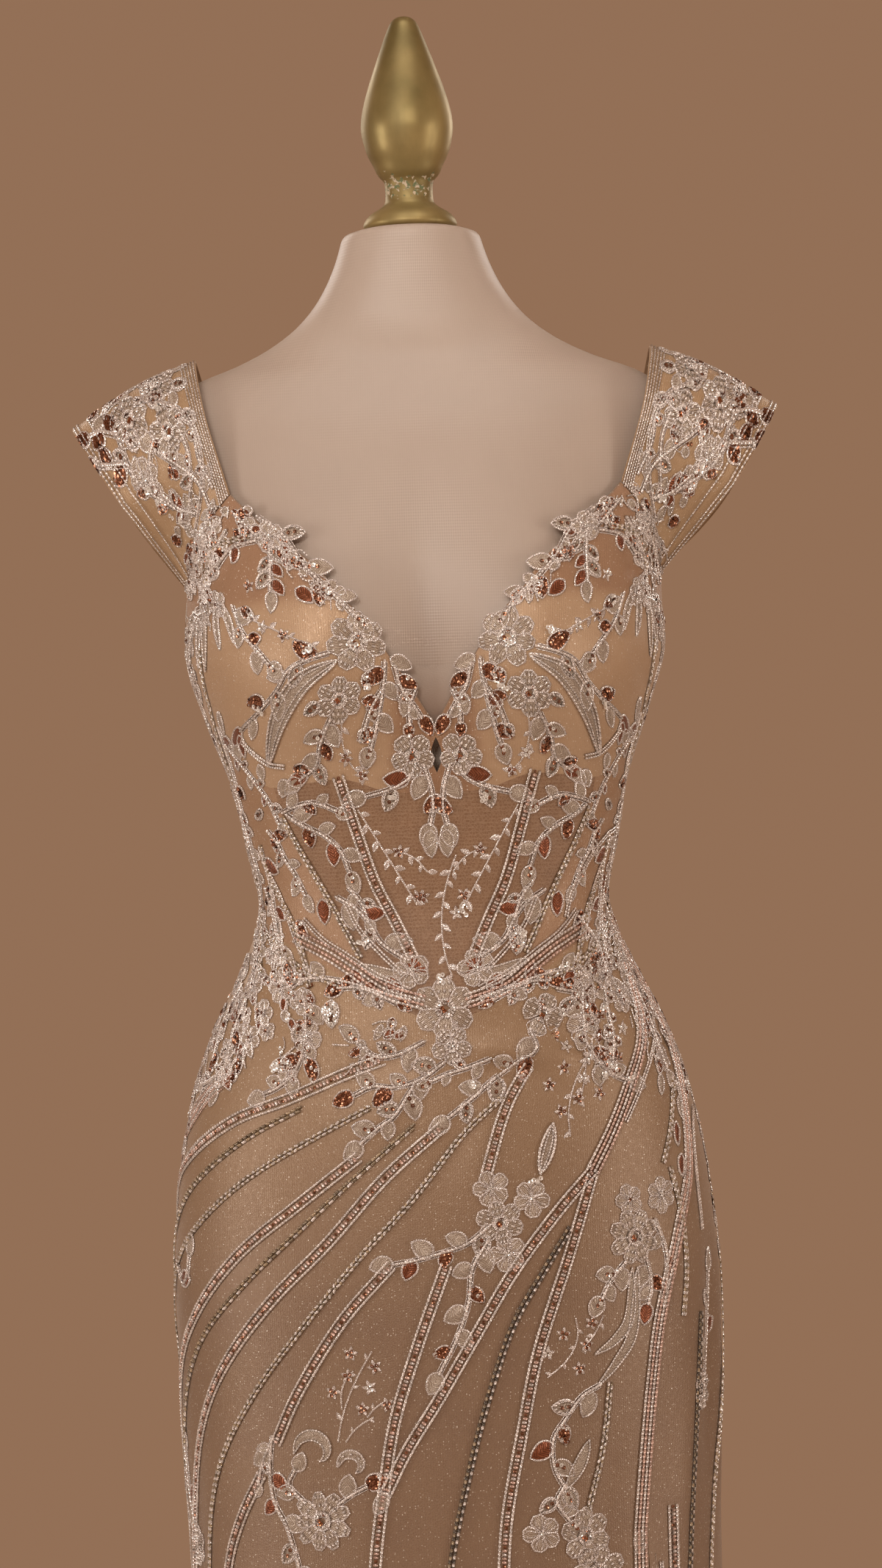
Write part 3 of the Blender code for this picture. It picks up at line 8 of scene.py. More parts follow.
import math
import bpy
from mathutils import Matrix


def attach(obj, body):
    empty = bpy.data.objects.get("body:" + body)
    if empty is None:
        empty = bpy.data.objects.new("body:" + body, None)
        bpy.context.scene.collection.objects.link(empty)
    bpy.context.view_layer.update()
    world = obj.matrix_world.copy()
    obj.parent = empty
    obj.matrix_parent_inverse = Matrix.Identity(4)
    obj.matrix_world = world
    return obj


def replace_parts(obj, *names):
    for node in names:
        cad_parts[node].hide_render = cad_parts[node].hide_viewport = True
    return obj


bl_info = {
    "name": "Evening Gown",
    "version": (1, 0, 0),
    "blender": (4, 5, 0),
    "location": "View3D > Sidebar > Gown",
    "description": "Builds a beaded evening gown on its dress form",
    "category": "Object",
}

import bpy
import numpy as np
from bpy.props import FloatProperty, FloatVectorProperty, PointerProperty
from mathutils import Matrix, geometry

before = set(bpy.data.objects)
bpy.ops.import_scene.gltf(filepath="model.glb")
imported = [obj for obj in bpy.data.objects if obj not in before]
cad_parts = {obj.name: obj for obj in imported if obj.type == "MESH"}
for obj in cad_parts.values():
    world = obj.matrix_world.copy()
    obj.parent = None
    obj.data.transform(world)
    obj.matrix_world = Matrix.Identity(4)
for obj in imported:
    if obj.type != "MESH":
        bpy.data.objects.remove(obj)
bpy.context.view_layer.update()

MM = 0.001
BODY = "gown_and_form"

# ---- the figure: half sizes of the body at a height, in metres ----
FIGURE = np.array([
    # height, half_width, front_depth, back_depth, centre_y
    (0.000, 0.3450, 0.3000, 0.3850, 0.000),
    (0.120, 0.3020, 0.2580, 0.3300, 0.000),
    (0.260, 0.2500, 0.2120, 0.2640, 0.000),
    (0.400, 0.2060, 0.1740, 0.2120, 0.000),
    (0.530, 0.1800, 0.1490, 0.1760, 0.000),
    (0.660, 0.1690, 0.1350, 0.1540, 0.000),
    (0.780, 0.1715, 0.1280, 0.1420, 0.000),
    (0.860, 0.1732, 0.1240, 0.1370, 0.000),
    (0.920, 0.1688, 0.1190, 0.1320, 0.000),
    (0.970, 0.1600, 0.1130, 0.1240, 0.000),
    (1.008, 0.1485, 0.1060, 0.1130, 0.000),
    (1.040, 0.1340, 0.0990, 0.1010, 0.000),
    (1.070, 0.1195, 0.0920, 0.0900, 0.000),
    (1.100, 0.1105, 0.0880, 0.0840, 0.000),
    (1.135, 0.1170, 0.0910, 0.0850, 0.000),
    (1.180, 0.1265, 0.0970, 0.0910, 0.000),
    (1.220, 0.1405, 0.1020, 0.0970, 0.000),
    (1.262, 0.1520, 0.1040, 0.1020, 0.000),
    (1.305, 0.1530, 0.1020, 0.1060, 0.000),
    (1.345, 0.1590, 0.0950, 0.1070, 0.000),
    (1.382, 0.1670, 0.0840, 0.1020, 0.000),
    (1.410, 0.1695, 0.0730, 0.0940, 0.002),
    (1.427, 0.1620, 0.0640, 0.0860, 0.004),
    (1.440, 0.1440, 0.0580, 0.0800, 0.006),
    (1.450, 0.1180, 0.0540, 0.0740, 0.008),
    (1.461, 0.0960, 0.0510, 0.0680, 0.009),
    (1.475, 0.0775, 0.0490, 0.0610, 0.010),
    (1.492, 0.0640, 0.0485, 0.0540, 0.011),
    (1.512, 0.0545, 0.0480, 0.0505, 0.012),
    (1.530, 0.0490, 0.0475, 0.0490, 0.012),
])
SQUARENESS = 2.25  # exponent of the superellipse that each ring follows
BUST = {"x": 0.078, "z": 1.248, "rise": 0.032, "spread": 0.060, "above": 0.076, "below": 0.055}
RING_POINTS, ARC_STEPS, LEVELS = 385, 1081, 512
CENTRE_FRONT = 5.0  # mm, how far toward +X the gown's centre front sits
FLUTES = (
    # place round the figure (-1 to 1), half spread, depth at the hem in metres
    (-0.94, 0.060, 0.040), (-0.74, 0.070, 0.034), (-0.55, 0.060, 0.026), (-0.34, 0.075, 0.030),
    (-0.12, 0.065, 0.022), (0.10, 0.070, 0.028), (0.38, 0.060, 0.030), (0.57, 0.060, 0.026),
    (0.76, 0.070, 0.036), (0.95, 0.055, 0.042),
)
FLUTE_TOP, FLUTE_POWER = 0.58, 1.4
FORM_INSET, FORM_TOP = 0.0058, 1.530
INSERT_DEPTH = 3.3  # mm, the mesh in the plunge under the cups
HEM_HEIGHT, HIP_HEIGHT, FAN_WIDTH = 15.0, 930.0, 440.0  # mm

# ---- seams and edges on the positive side, (s, z) in mm ----
WAIST = ((0, 1026), (22, 1034), (56, 1052), (90, 1072), (130, 1086), (165, 1092), (320, 1094))
UNDERBUST = ((0, 1168), (28, 1170), (61, 1179), (108, 1175), (140, 1190), (176, 1210), (200, 1214))
CHANNEL = ((61, 1179), (51, 1146), (41, 1115), (29, 1090), (19, 1070), (9, 1046), (6, 1028))
SHEER_EDGE = ((108, 1176), (102, 1155), (83, 1124), (70, 1102), (55, 1072), (46, 1047))
NECKLINE = ((127, 1358), (104, 1336), (84, 1321), (69, 1308), (57, 1291), (46, 1279), (30, 1256),
            (17, 1237), (6, 1219), (0, 1209))
ARMHOLE = ((195, 1303), (206, 1286), (220, 1276), (234, 1286), (245, 1303))
BACK_NECK = ((128, 1367), (112, 1330), (90, 1290), (62, 1250), (34, 1215), (14, 1196), (0, 1190))
SLIT_SEAM = ((140, 1091), (160, 1060), (177, 1020), (181, 985), (175, 932), (158, 890), (140, 844),
             (131, 800), (124, 752), (119, 705))
KEYHOLE = {"low": 1181, "high": 1203, "half_width": 3.4}
SLIT_HALF_WIDTH = 24.0
UNDERARM, INSERT_TOP = 1276, 1246

# ---- straps ----
STRAP_ROUTE = (
    # along, inner edge (x, y, z), outer edge (x, y, z), in metres
    (0.27, (0.1380, -0.0540, 1.412), (0.1920, -0.0500, 1.355)),
    (0.50, (0.1455, 0.0040, 1.450), (0.2256, 0.0010, 1.4085)),
    (0.73, (0.1390, 0.0640, 1.414), (0.1930, 0.0530, 1.352)),
)
STRAP_FRONT = ((127, 1358), (195, 1303))
STRAP_BACK = ((128, 1367), (186, 1303))
STRAP_LENGTH, STRAP_GAP, END_BLEND = 206.0, 0.9, 0.2
STRAP_WIDTHS = ((0, 0.27, 0.5, 0.73, 1), (85, 80, 88, 78, 84))

# ---- lace: flowers, (s, z, radius in mm, petals, turn in degrees) ----
PAIRED_FLOWERS = (
    (-48, 1262, 18, 7, 10), (-60, 1228, 14, 6, 0), (-15, 1192, 13, 5, 18), (-100, 1330, 10, 5, 0),
    (-20, 1060, 11, 5, 0), (-108, 1051, 9, 5, 0), (-134, 1052, 9, 5, 30), (-91, 1042, 8, 5, 10),
    (-121, 1035, 8, 5, 40), (-148, 1040, 8, 5, 0), (-88, 1021, 10, 4, 20), (-158, 1120, 9, 5, 0),
    (-160, 1062, 9, 5, 20), (-150, 1290, 9, 5, 0),
)
FLOWERS = (
    (0, 1036, 19, 6, 0), (3, 1013, 12, 5, 20), (24, 926, 11, 5, 0), (49, 919, 11, 5, 20),
    (29, 905, 14, 6, 10), (33, 886, 11, 5, 0), (116, 891, 17, 8, 0), (138, 915, 11, 6, 0),
    (113, 914, 9, 5, 0), (76, 712, 16, 6, 10), (48, 716, 11, 5, 0), (84, 690, 17, 7, 0),
    (-87, 727, 18, 9, 0), (-90, 640, 14, 6, 0), (52, 640, 13, 6, 15), (176, 790, 12, 6, 0),
    (-205, 700, 12, 6, 0),
)
BACK_FLOWERS = (
    (62, 1262, 15, 7, 0), (104, 1330, 11, 5, 0), (22, 1070, 14, 6, 0), (66, 1068, 11, 5, 20),
    (116, 1066, 10, 5, 0), (52, 900, 15, 7, 0), (128, 962, 12, 6, 0), (96, 760, 13, 6, 10),
    (34, 1180, 11, 5, 0),
)
# ---- lace: leaves along a stem, (points, leaf length, leaf width, first side, one letter a leaf);
# s satin stitch, c copper foil, k brown sequins, o open with beads, v satin with sequins ----
PAIRED_STEMS = (
    (((-107, 1343), (-90, 1330), (-79, 1313), (-68, 1300), (-57, 1288), (-48, 1278)), 14, 7.5, -1, "sosvksv"),
    (((-100, 1324), (-100, 1310), (-101, 1296)), 12, 6.5, 1, "oococs"),
    (((-134, 1288), (-127, 1272), (-115, 1260), (-106, 1251)), 12, 8, 1, "svksv"),
    (((-66, 1256), (-80, 1252), (-92, 1246), (-101, 1234), (-116, 1222), (-134, 1212)), 15, 8, -1, "kosvksc"),
    (((-65, 1216), (-71, 1202), (-75, 1188), (-86, 1180)), 13, 7, 1, "svksoks"),
    (((-31, 1250), (-32, 1238), (-36, 1214), (-40, 1198)), 12, 7.5, -1, "kscskv"),
    (((-25, 1247), (-21, 1234), (-14, 1224), (-9, 1216)), 12, 6.5, 1, "ksk"),
    (((-13, 1186), (-18, 1178), (-29, 1172), (-44, 1168)), 14, 8, -1, "cos"),
    (((-8, 1186), (-4, 1172), (-3, 1160), (-5, 1150)), 14, 8, -1, "sks"),
    (((-101, 1160), (-92, 1163), (-78, 1165), (-64, 1160)), 10, 6, 1, "sksv"),
    (((-98, 1158), (-86, 1151), (-72, 1144), (-62, 1135), (-57, 1122)), 13, 7, 1, "skscsv"),
    (((-66, 1106), (-54, 1099), (-45, 1089), (-38, 1077), (-24, 1067)), 15, 8, -1, "scosc"),
    (((-170, 1214), (-160, 1192), (-152, 1168), (-146, 1140)), 15, 7, 1, "cskcs"),
    (((-130, 1138), (-123, 1116), (-118, 1094), (-104, 1066)), 15, 7, 1, "ckcsk"),
    (((-22, 1042), (-40, 1047), (-58, 1053), (-76, 1056), (-92, 1056)), 12, 7, -1, "cscksv"),
    (((-89, 1043), (-88, 1029), (-90, 1013), (-97, 998), (-108, 990), (-118, 986)), 12, 8, 1, "vovksvs"),
    (((-140, 1042), (-148, 1022), (-152, 1004), (-160, 990)), 13, 7, -1, "ckocs"),
)
STEMS = (
    (((-2, 1003), (-17, 993), (-33, 989), (-46, 990), (-58, 985)), 13, 8, -1, "osvkvk"),
    (((-14, 1016), (-30, 1009), (-44, 1008), (-55, 1017)), 13, 7, 1, "sovv"),
    (((-22, 988), (-33, 972), (-43, 965), (-54, 956)), 13, 8, 1, "vosvs"),
    (((53, 1022), (54, 1008), (42, 1001), (28, 992), (16, 982), (0, 970)), 14, 8, -1, "skvosos"),
    (((22, 903), (8, 893), (-8, 888), (-24, 884), (-37, 882)), 13, 8, 1, "oskscs"),
    (((22, 896), (11, 878), (8, 858), (0, 836), (-11, 816)), 13, 8, 1, "sskssks"),
    (((108, 876), (98, 866), (92, 856)), 12, 8, 1, "svsv"),
    (((124, 876), (127, 862), (124, 850)), 12, 8, -1, "sksc"),
    (((88, 803), (76, 797), (65, 784), (57, 772), (57, 756), (63, 743)), 14, 8, 1, "sokcvo"),
    (((63, 744), (58, 734), (66, 722)), 12, 7, 1, "sosv"),
    (((-98, 738), (-108, 748), (-104, 757)), 11, 7, 1, "vs"),
    (((-75, 738), (-66, 744), (-58, 748)), 12, 8, 1, "sk"),
    (((-119, 777), (-121, 758), (-119, 738), (-110, 721), (-101, 690), (-92, 650)), 13, 8, -1, "sccsovsco"),
    (((-212, 878), (-200, 866), (-192, 872), (-189, 884)), 13, 8, 1, "cs"),
    (((78, 690), (72, 664), (56, 646)), 13, 8, 1, "csov"),
    (((180, 800), (186, 830), (190, 862)), 13, 8, 1, "scos"),
    (((-205, 705), (-214, 730), (-218, 758)), 13, 8, 1, "scos"),
)
BACK_STEMS = (
    (((118, 1352), (103, 1322), (84, 1288), (60, 1254), (34, 1222), (18, 1206)), 14, 8, 1, "soscvksosc"),
    (((66, 1250), (80, 1226), (84, 1200), (72, 1176)), 14, 8, 1, "scksov"),
    (((34, 1182), (44, 1160), (42, 1136), (30, 1112)), 13, 7, -1, "kscos"),
    (((128, 1160), (116, 1134), (112, 1106), (116, 1076)), 14, 7, 1, "csksv"),
    (((20, 1066), (44, 1064), (70, 1062), (98, 1066), (124, 1070)), 13, 7, 1, "skcsosv"),
    (((24, 1052), (40, 1026), (64, 1004), (92, 988), (126, 968)), 14, 8, -1, "sovkscos"),
    (((14, 1030), (18, 996), (30, 960), (44, 930), (52, 904)), 14, 8, 1, "kscosvs"),
    (((56, 886), (66, 850), (82, 812), (94, 776)), 14, 8, 1, "scovsks"),
    (((176, 1262), (166, 1224), (164, 1184), (150, 1144)), 13, 7, 1, "scovkso"),
    (((100, 1284), (120, 1252), (124, 1216), (112, 1184)), 13, 7, -1, "sokvsc"),
)
# ---- lace: long curved leaves, (points, width) ----
PAIRED_FEATHERS = (
    (((-62, 1251), (-84, 1238), (-100, 1216), (-110, 1190)), 13.5),
    (((-151, 1292), (-154, 1276), (-152, 1262)), 6), (((-147, 1292), (-140, 1280), (-136, 1266)), 6),
    (((-14, 1054), (-34, 1057), (-52, 1064)), 8),
)
FEATHERS = (
    (((64, 963), (61, 952), (55, 934)), 9), (((113, 872), (110, 843), (100, 830), (86, 822)), 7),
    (((117, 872), (112, 834), (100, 816), (87, 803)), 7), (((80, 770), (74, 757), (64, 742)), 8),
)
BACK_FEATHERS = ((((30, 1062), (52, 1046), (62, 1022)), 9), (((44, 905), (26, 880), (22, 850)), 9))
# ---- beaded lines, (kind, points) ----
PAIRED_LINES = (
    ("rose", ((-61, 1180), (-51, 1146), (-41, 1115), (-29, 1090), (-19, 1068))),
    ("small", ((-102, 1156), (-83, 1124), (-70, 1102), (-52, 1069))),
    ("small", ((-160, 1305), (-150, 1320), (-137, 1328), (-115, 1331))),
    ("small", ((-182, 1262), (-184, 1235), (-174, 1200), (-160, 1160), (-148, 1120), (-138, 1085),
               (-128, 1060))),
    ("small", ((-130, 1138), (-122, 1118), (-104, 1096), (-92, 1074), (-86, 1052))),
    ("bright", ((-96, 1082), (-74, 1072), (-58, 1062), (-38, 1048), (-14, 1040))),
    ("small", ((-128, 1084), (-108, 1072), (-88, 1060), (-66, 1052))),
)
LINES = (
    ("rose", ((-40, 1006), (-63, 998), (-101, 983), (-141, 970), (-190, 946), (-222, 928), (-258, 896),
              (-300, 846),
              (-336, 780), (-356, 700))),
    ("bugle", ((-93, 977), (-129, 960), (-167, 938), (-200, 916), (-232, 888), (-262, 850), (-284, 806),
               (-302, 750))),
    ("small", ((-49, 977), (-89, 957), (-130, 935), (-171, 908), (-208, 880), (-238, 842), (-262, 796),
               (-276, 750))),
    ("rose", ((-57, 947), (-97, 918), (-139, 888), (-180, 850), (-214, 812), (-240, 764), (-256, 706),
              (-266, 630), (-280, 540), (-288, 450))),
    ("bugle", ((-22, 965), (-59, 935), (-97, 902), (-135, 870), (-179, 830), (-208, 790), (-226, 745))),
    ("rose", ((-5, 964), (-41, 934), (-78, 895), (-113, 863), (-149, 825), (-180, 785), (-200, 745),
              (-213, 690),
              (-220, 620), (-226, 520), (-234, 410))),
    ("small", ((33, 981), (8, 959), (-24, 921), (-59, 885), (-101, 838), (-129, 805), (-158, 765),
               (-174, 730),
               (-182, 690), (-190, 600), (-198, 480))),
    ("rose", ((-39, 881), (-70, 848), (-99, 806), (-116, 774))),
    ("rose", ((-128, 753), (-145, 726), (-158, 697), (-168, 650), (-174, 560), (-184, 450), (-192, 360))),
    ("rose", ((-5, 880), (-24, 832), (-39, 788), (-47, 747), (-54, 700), (-58, 640), (-68, 540), (-80, 440),
              (-94, 330))),
    ("bright", ((134, 1056), (136, 1030), (132, 1009), (120, 987), (104, 958), (89, 934))),
    ("rose", ((89, 934), (64, 909), (36, 875), (12, 838), (-12, 800), (-32, 770), (-46, 744))),
    ("rose", ((50, 998), (39, 982), (31, 964), (22, 936))),
    ("rose", ((88, 930), (71, 883), (50, 827), (38, 778), (27, 727), (23, 680), (19, 590), (14, 480),
              (8, 380))),
    ("dark", ((72, 899), (56, 876), (35, 843), (18, 799), (5, 755), (-8, 700), (-14, 640), (-20, 540),
              (-30, 440))),
    ("bright", ((135, 1084), (153, 1058), (170, 1019), (174, 985), (168, 932), (152, 892), (134, 844),
                (125, 800),
                (118, 752), (113, 712))),
    ("small", ((165, 984), (153, 957), (142, 935))),
    ("small", ((198, 1060), (214, 1010), (224, 960), (228, 910), (222, 860), (212, 810), (200, 762),
               (188, 715),
               (182, 670), (182, 590), (190, 480))),
    ("dark", ((174, 838), (170, 805), (165, 774), (156, 711), (152, 650), (150, 590))),
    ("small", ((95, 803), (89, 764), (79, 730))),
    ("rose", ((139, 723), (139, 686), (140, 630), (142, 570))),
)
BACK_LINES = (
    ("rose", ((14, 1092), (40, 1046), (84, 994), (140, 940), (196, 880), (236, 812))),
    ("bugle", ((14, 1010), (44, 950), (92, 880), (146, 812), (186, 740), (220, 660))),
    ("rose", ((12, 960), (36, 890), (70, 816), (104, 740), (130, 660), (146, 570), (162, 460), (170, 380))),
    ("dark", ((14, 880), (34, 800), (56, 720), (72, 640), (84, 550), (96, 460))),
    ("small", ((150, 1120), (138, 1086), (146, 1050), (176, 1010), (206, 965))),
    ("rose", ((14, 790), (26, 700), (34, 600), (42, 480), (50, 350))),
)
def bow(start, bend, end, count):
    """Points of a smooth curve between two ends, pulled toward a bend."""
    t = np.linspace(0, 1, count)[:, None]
    path = (1 - t) ** 2 * np.array(start) + 2 * t * (1 - t) * np.array(bend) + t ** 2 * np.array(end)
    return [tuple(float(v) for v in point) for point in path]


def scroll(s, z, radius, turn, count):
    """Points of a stem that curls in on itself round (s, z)."""
    t = np.linspace(0, 1, count)
    reach, angle = radius * (1 - 0.6 * t), turn - 1.3 * math.pi * t
    return [(float(a), float(b)) for a, b in zip(s + reach * np.cos(angle), z + reach * np.sin(angle))]


# ---- thread vines with small leaves, (start, bend, end and number of points; leaf length, leaves) ----
PAIRED_VINES = (
    (bow((-135, 1285), (-105, 1275), (-75, 1260), 6), 6, 9),
    (bow((-58, 1215), (-60, 1190), (-45, 1180), 5), 6, 6),
    (bow((-50, 1160), (-35, 1135), (-15, 1100), 7), 7, 11),
    (bow((-26, 1133), (-16, 1132), (-8, 1120), 4), 6, 5),
)
VINES = (
    (bow((10, 1130), (-8, 1090), (5, 1055), 7), 7, 12), (bow((100, 1015), (70, 985), (75, 955), 5), 5, 6),
    (bow((88, 1010), (88, 990), (82, 975), 4), 5, 5), (bow((-75, 775), (-72, 800), (-52, 830), 5), 5, 3),
    (bow((-70, 775), (-64, 785), (-52, 790), 4), 4, 2), (bow((-72, 795), (-74, 810), (-64, 818), 4), 4, 2),
    (bow((-56, 790), (-52, 796), (-44, 800), 4), 4, 2), (bow((74, 845), (80, 825), (55, 810), 5), 5, 4),
    (bow((92, 845), (88, 835), (78, 826), 4), 5, 3),
)
# ---- small blossoms of thread and sequins, (s, z) ----
PAIRED_STARS = ((-94, 1268), (-110, 1274), (-46, 1181), (-25, 1133), (-14, 1105), (-56, 1192), (-118, 1300))
# Each cluster: its middle (s, z), its radius and its number of blossoms, set out on an even spiral.
STAR_CLUSTERS = ((80, 990, 24, 9), (74, 828, 20, 5), (-60, 808, 22, 7), (110, 1018, 24, 5), (68, 1030, 14, 3),
                 (0, 1094, 18, 2))
GOLDEN_ANGLE = math.radians(137.5)
STARS = tuple((s + radius * math.sqrt((i + 0.5) / count) * math.cos(i * GOLDEN_ANGLE),
               z + radius * math.sqrt((i + 0.5) / count) * math.sin(i * GOLDEN_ANGLE))
              for s, z, radius, count in STAR_CLUSTERS for i in range(count))
# ---- clusters of bright sequins, (s, z) ----
PAIRED_SPARKS = ((-41, 1234), (-49, 1259), (-76, 1262), (-113, 1219), (-49, 1078), (-30, 1166))
SPARKS = ((-108, 1004), (-74, 1038), (11, 1098), (101, 991), (122, 990), (75, 1055), (-3, 1054), (14, 991),
          (52, 930))
BACK_SPARKS = ((72, 1252), (40, 1150), (60, 1010), (118, 1120))
STRAP_SPARKS = ((46, 22), (60, 46), (30, 76), (50, 122), (34, 160))  # across, along
SCROLLS = ((scroll(-90, 768, 14, math.pi, 8), 7), (scroll(-66, 760, 10, math.pi, 6), 5))
# ---- finer lace between the motifs above: stems as before, with small leaves ----
PAIRED_SPRAYS = (
    (((-132, 1336), (-140, 1328), (-148, 1320), (-155, 1312), (-160, 1303), (-161, 1293)), 8, 4.5, 1,
     "svosvsos"),
    (((-146, 1338), (-158, 1327), (-170, 1316), (-184, 1302)), 8, 4.5, 1, "ososvsov"),
    (((-125, 1347), (-117, 1339), (-107, 1329)), 9, 5.5, 1, "kocs"),
    (((-110, 1328), (-125, 1326), (-135, 1321), (-144, 1314)), 11, 6, -1, "kcko"),
    (((-164, 1286), (-176, 1284), (-190, 1276), (-206, 1262)), 9, 4.5, 1, "sosvso"),
    (((-217, 1262), (-221, 1240), (-212, 1222), (-197, 1204), (-180, 1188), (-160, 1173), (-150, 1160)), 9,
     4.5, 1,
     "sosvsosvsosv"),
    (((-150, 1160), (-143, 1140), (-138, 1120), (-142, 1104)), 9, 4.5, -1, "sovsosvo"),
    (((-160, 1203), (-142, 1192), (-128, 1181), (-114, 1167), (-106, 1153)), 8, 4.5, 1, "scosvcos"),
    (((-117, 1148), (-109, 1141), (-103, 1130), (-96, 1121), (-89, 1108)), 11, 5.5, 1, "kosvs"),
    (((-130, 1112), (-123, 1098), (-117, 1087), (-113, 1076), (-114, 1062)), 8, 4.5, 1, "sosvsosv"),
    (((-150, 1104), (-148, 1086), (-142, 1070), (-136, 1056)), 8, 4.5, -1, "osvosvo"),
    (((-66, 1050), (-54, 1050), (-42, 1046), (-30, 1040)), 9, 5, 1, "kokosk"),
    (((-58, 1112), (-50, 1102), (-46, 1092)), 9, 5, -1, "sos"),
    (((-34, 1232), (-40, 1222), (-44, 1210)), 8, 5, -1, "kvo"),
    (((-12, 1232), (-16, 1222), (-16, 1212)), 8, 5, -1, "vsk"),
)
SPRAYS = (
    (((-147, 1006), (-162, 996), (-181, 989)), 8, 4.5, 1, "sosos"),
    (((-152, 1052), (-162, 1040), (-168, 1024), (-170, 1006)), 8, 4.5, -1, "sksosk"),
    (((106, 1044), (107, 1029), (109, 1012), (107, 998)), 7, 5, 1, "vwvwvww"),
    (((92, 1088), (102, 1077), (107, 1068), (110, 1054)), 8, 4.5, 1, "sosvsos"),
    (((130, 1092), (138, 1078), (142, 1064), (138, 1050)), 8, 4.5, -1, "sovsosv"),
    (((71, 1045), (85, 1042), (99, 1040)), 9, 5, 1, "kvos"),
    (((150, 1046), (166, 1030), (176, 1010), (180, 990)), 8, 4.5, 1, "cososc"),
    (((26, 1004), (14, 1000), (0, 996), (-10, 992)), 9, 5, 1, "sosv"),
    (((-118, 776), (-126, 762), (-130, 748)), 8, 4.5, -1, "sos"),
    (((132, 900), (140, 878), (138, 856)), 9, 5, -1, "sks"),
)
# ---- leaves sewn on alone, (s, z of the foot, way in degrees, length, width, letter);
# w is a leaf of bright sequins, m one of bright and brown ----
PAIRED_LEAVES = (
    (-167, 1224, -65, 14, 5, "s"), (-137, 1199, 178, 11, 7, "s"), (-138, 1209, -72, 13, 6.5, "c"),
    (-120, 1190, -75, 9, 5.5, "s"), (-97, 1180, 250, 10, 7, "s"), (-94, 1177, 18, 12, 7, "c"),
    (-112, 1147, -80, 11, 5, "k"), (-77, 1105, -82, 14, 7, "c"), (-96, 1092, -50, 12, 5, "k"),
    (-106, 1076, -65, 20, 8, "v"), (-58, 1300, 205, 9, 5, "s"), (-84, 1296, -40, 12, 7, "c"),
    (-76, 1312, 170, 10, 6, "m"), (-68, 1290, 60, 9, 5, "w"), (-126, 1286, -35, 11, 6, "m"),
    (-5, 1146, 270, 15, 7, "s"), (-146, 1036, 262, 10, 4.5, "k"), (-121, 1160, 200, 10, 5, "o"),
    (-40, 1244, 250, 10, 6, "m"), (-72, 1226, 215, 10, 6, "o"), (-27, 1252, 335, 13, 7, "s"),
)
LEAVES = (
    (-71, 1043, 270, 15, 8, "w"), (-98, 1003, 180, 13, 7, "w"), (-88, 1008, 288, 14, 7, "m"),
    (-138, 1013, 262, 14, 5, "k"), (-165, 1010, 250, 9, 4.5, "k"), (48, 1084, 262, 15, 8, "w"),
    (64, 1045, 120, 9, 5, "m"), (79, 1046, 80, 10, 7, "c"), (92, 1044, 100, 10, 5, "s"),
    (72, 1032, 28, 12, 6, "o"), (92, 1040, 262, 11, 6, "m"), (152, 1004, 262, 9, 5, "c"),
    (148, 988, 262, 11, 5, "s"), (160, 958, 264, 13, 5, "c"), (161, 938, 264, 12, 5, "c"),
    (168, 973, 270, 12, 4, "s"), (-187, 640, 250, 12, 6, "s"), (-170, 655, 290, 12, 6, "c"),
)
PAIRED_TRIMS = (
    ("pair", ((-122, 1121), (-114, 1111), (-106, 1097), (-98, 1082), (-91, 1070), (-87, 1061))),
    ("pair", ((-60, 1102), (-52, 1086), (-40, 1072), (-26, 1058))),
    ("pair", ((-90, 1092), (-76, 1080), (-60, 1070), (-42, 1058), (-22, 1048))),
    ("stem", ((-222, 1234), (-208, 1214), (-190, 1196), (-168, 1180), (-156, 1164), (-152, 1148))),
    ("stem", ((-156, 1150), (-150, 1128), (-152, 1108), (-158, 1090))),
    ("pair", ((-134, 1204), (-122, 1196), (-110, 1190), (-98, 1188))),
)
TRIMS = (
    ("rope", ((-146, 996), (-169, 984), (-193, 968), (-218, 953), (-244, 932))),
    ("pair", ((162, 1035), (159, 1025), (148, 1010), (134, 991), (125, 978), (114, 962))),
    ("pair", ((186, 1036), (192, 1023), (201, 1006), (208, 990), (214, 972), (221, 957), (225, 930))),
    ("pair", ((191, 964), (182, 951), (178, 927), (180, 890))),
    ("pair", ((162, 1196), (154, 1186), (152, 1173), (151, 1157), (144, 1144), (126, 1138), (110, 1130),
              (97, 1116),
              (87, 1102), (82, 1089))),
    ("rope", ((-166, 990), (-196, 972), (-226, 948), (-252, 920))),
    ("small", ((148, 930), (156, 900), (158, 870), (154, 840))),
)
SMALL_FLOWERS = (
    (-131, 1020, 8, 5, 10), (-117, 1024, 6, 5, 0), (-153, 1012, 7, 5, 20), (61, 1030, 13, 4, 20),
    (-162, 1052, 7, 5, 0), (118, 1040, 7, 5, 30), (-136, 1066, 7, 5, 0), (132, 1064, 7, 5, 0),
)
SEWN_FEATHERS = (
    (((115, 1049), (123, 1041), (133, 1030)), 7), (((-135, 1098), (-136, 1080), (-133, 1062)), 6),
    (((-117, 1098), (-112, 1080), (-110, 1064)), 6), (((118, 1098), (116, 1082), (120, 1066)), 6),
)
PAIRED_SEWN_FEATHERS = (
    (((-166, 1288), (-172, 1270), (-176, 1250)), 7),
    (((-170, 1288), (-192, 1281), (-209, 1269), (-220, 1254)), 7),
    (((-168, 1288), (-182, 1272), (-188, 1252)), 6),
)
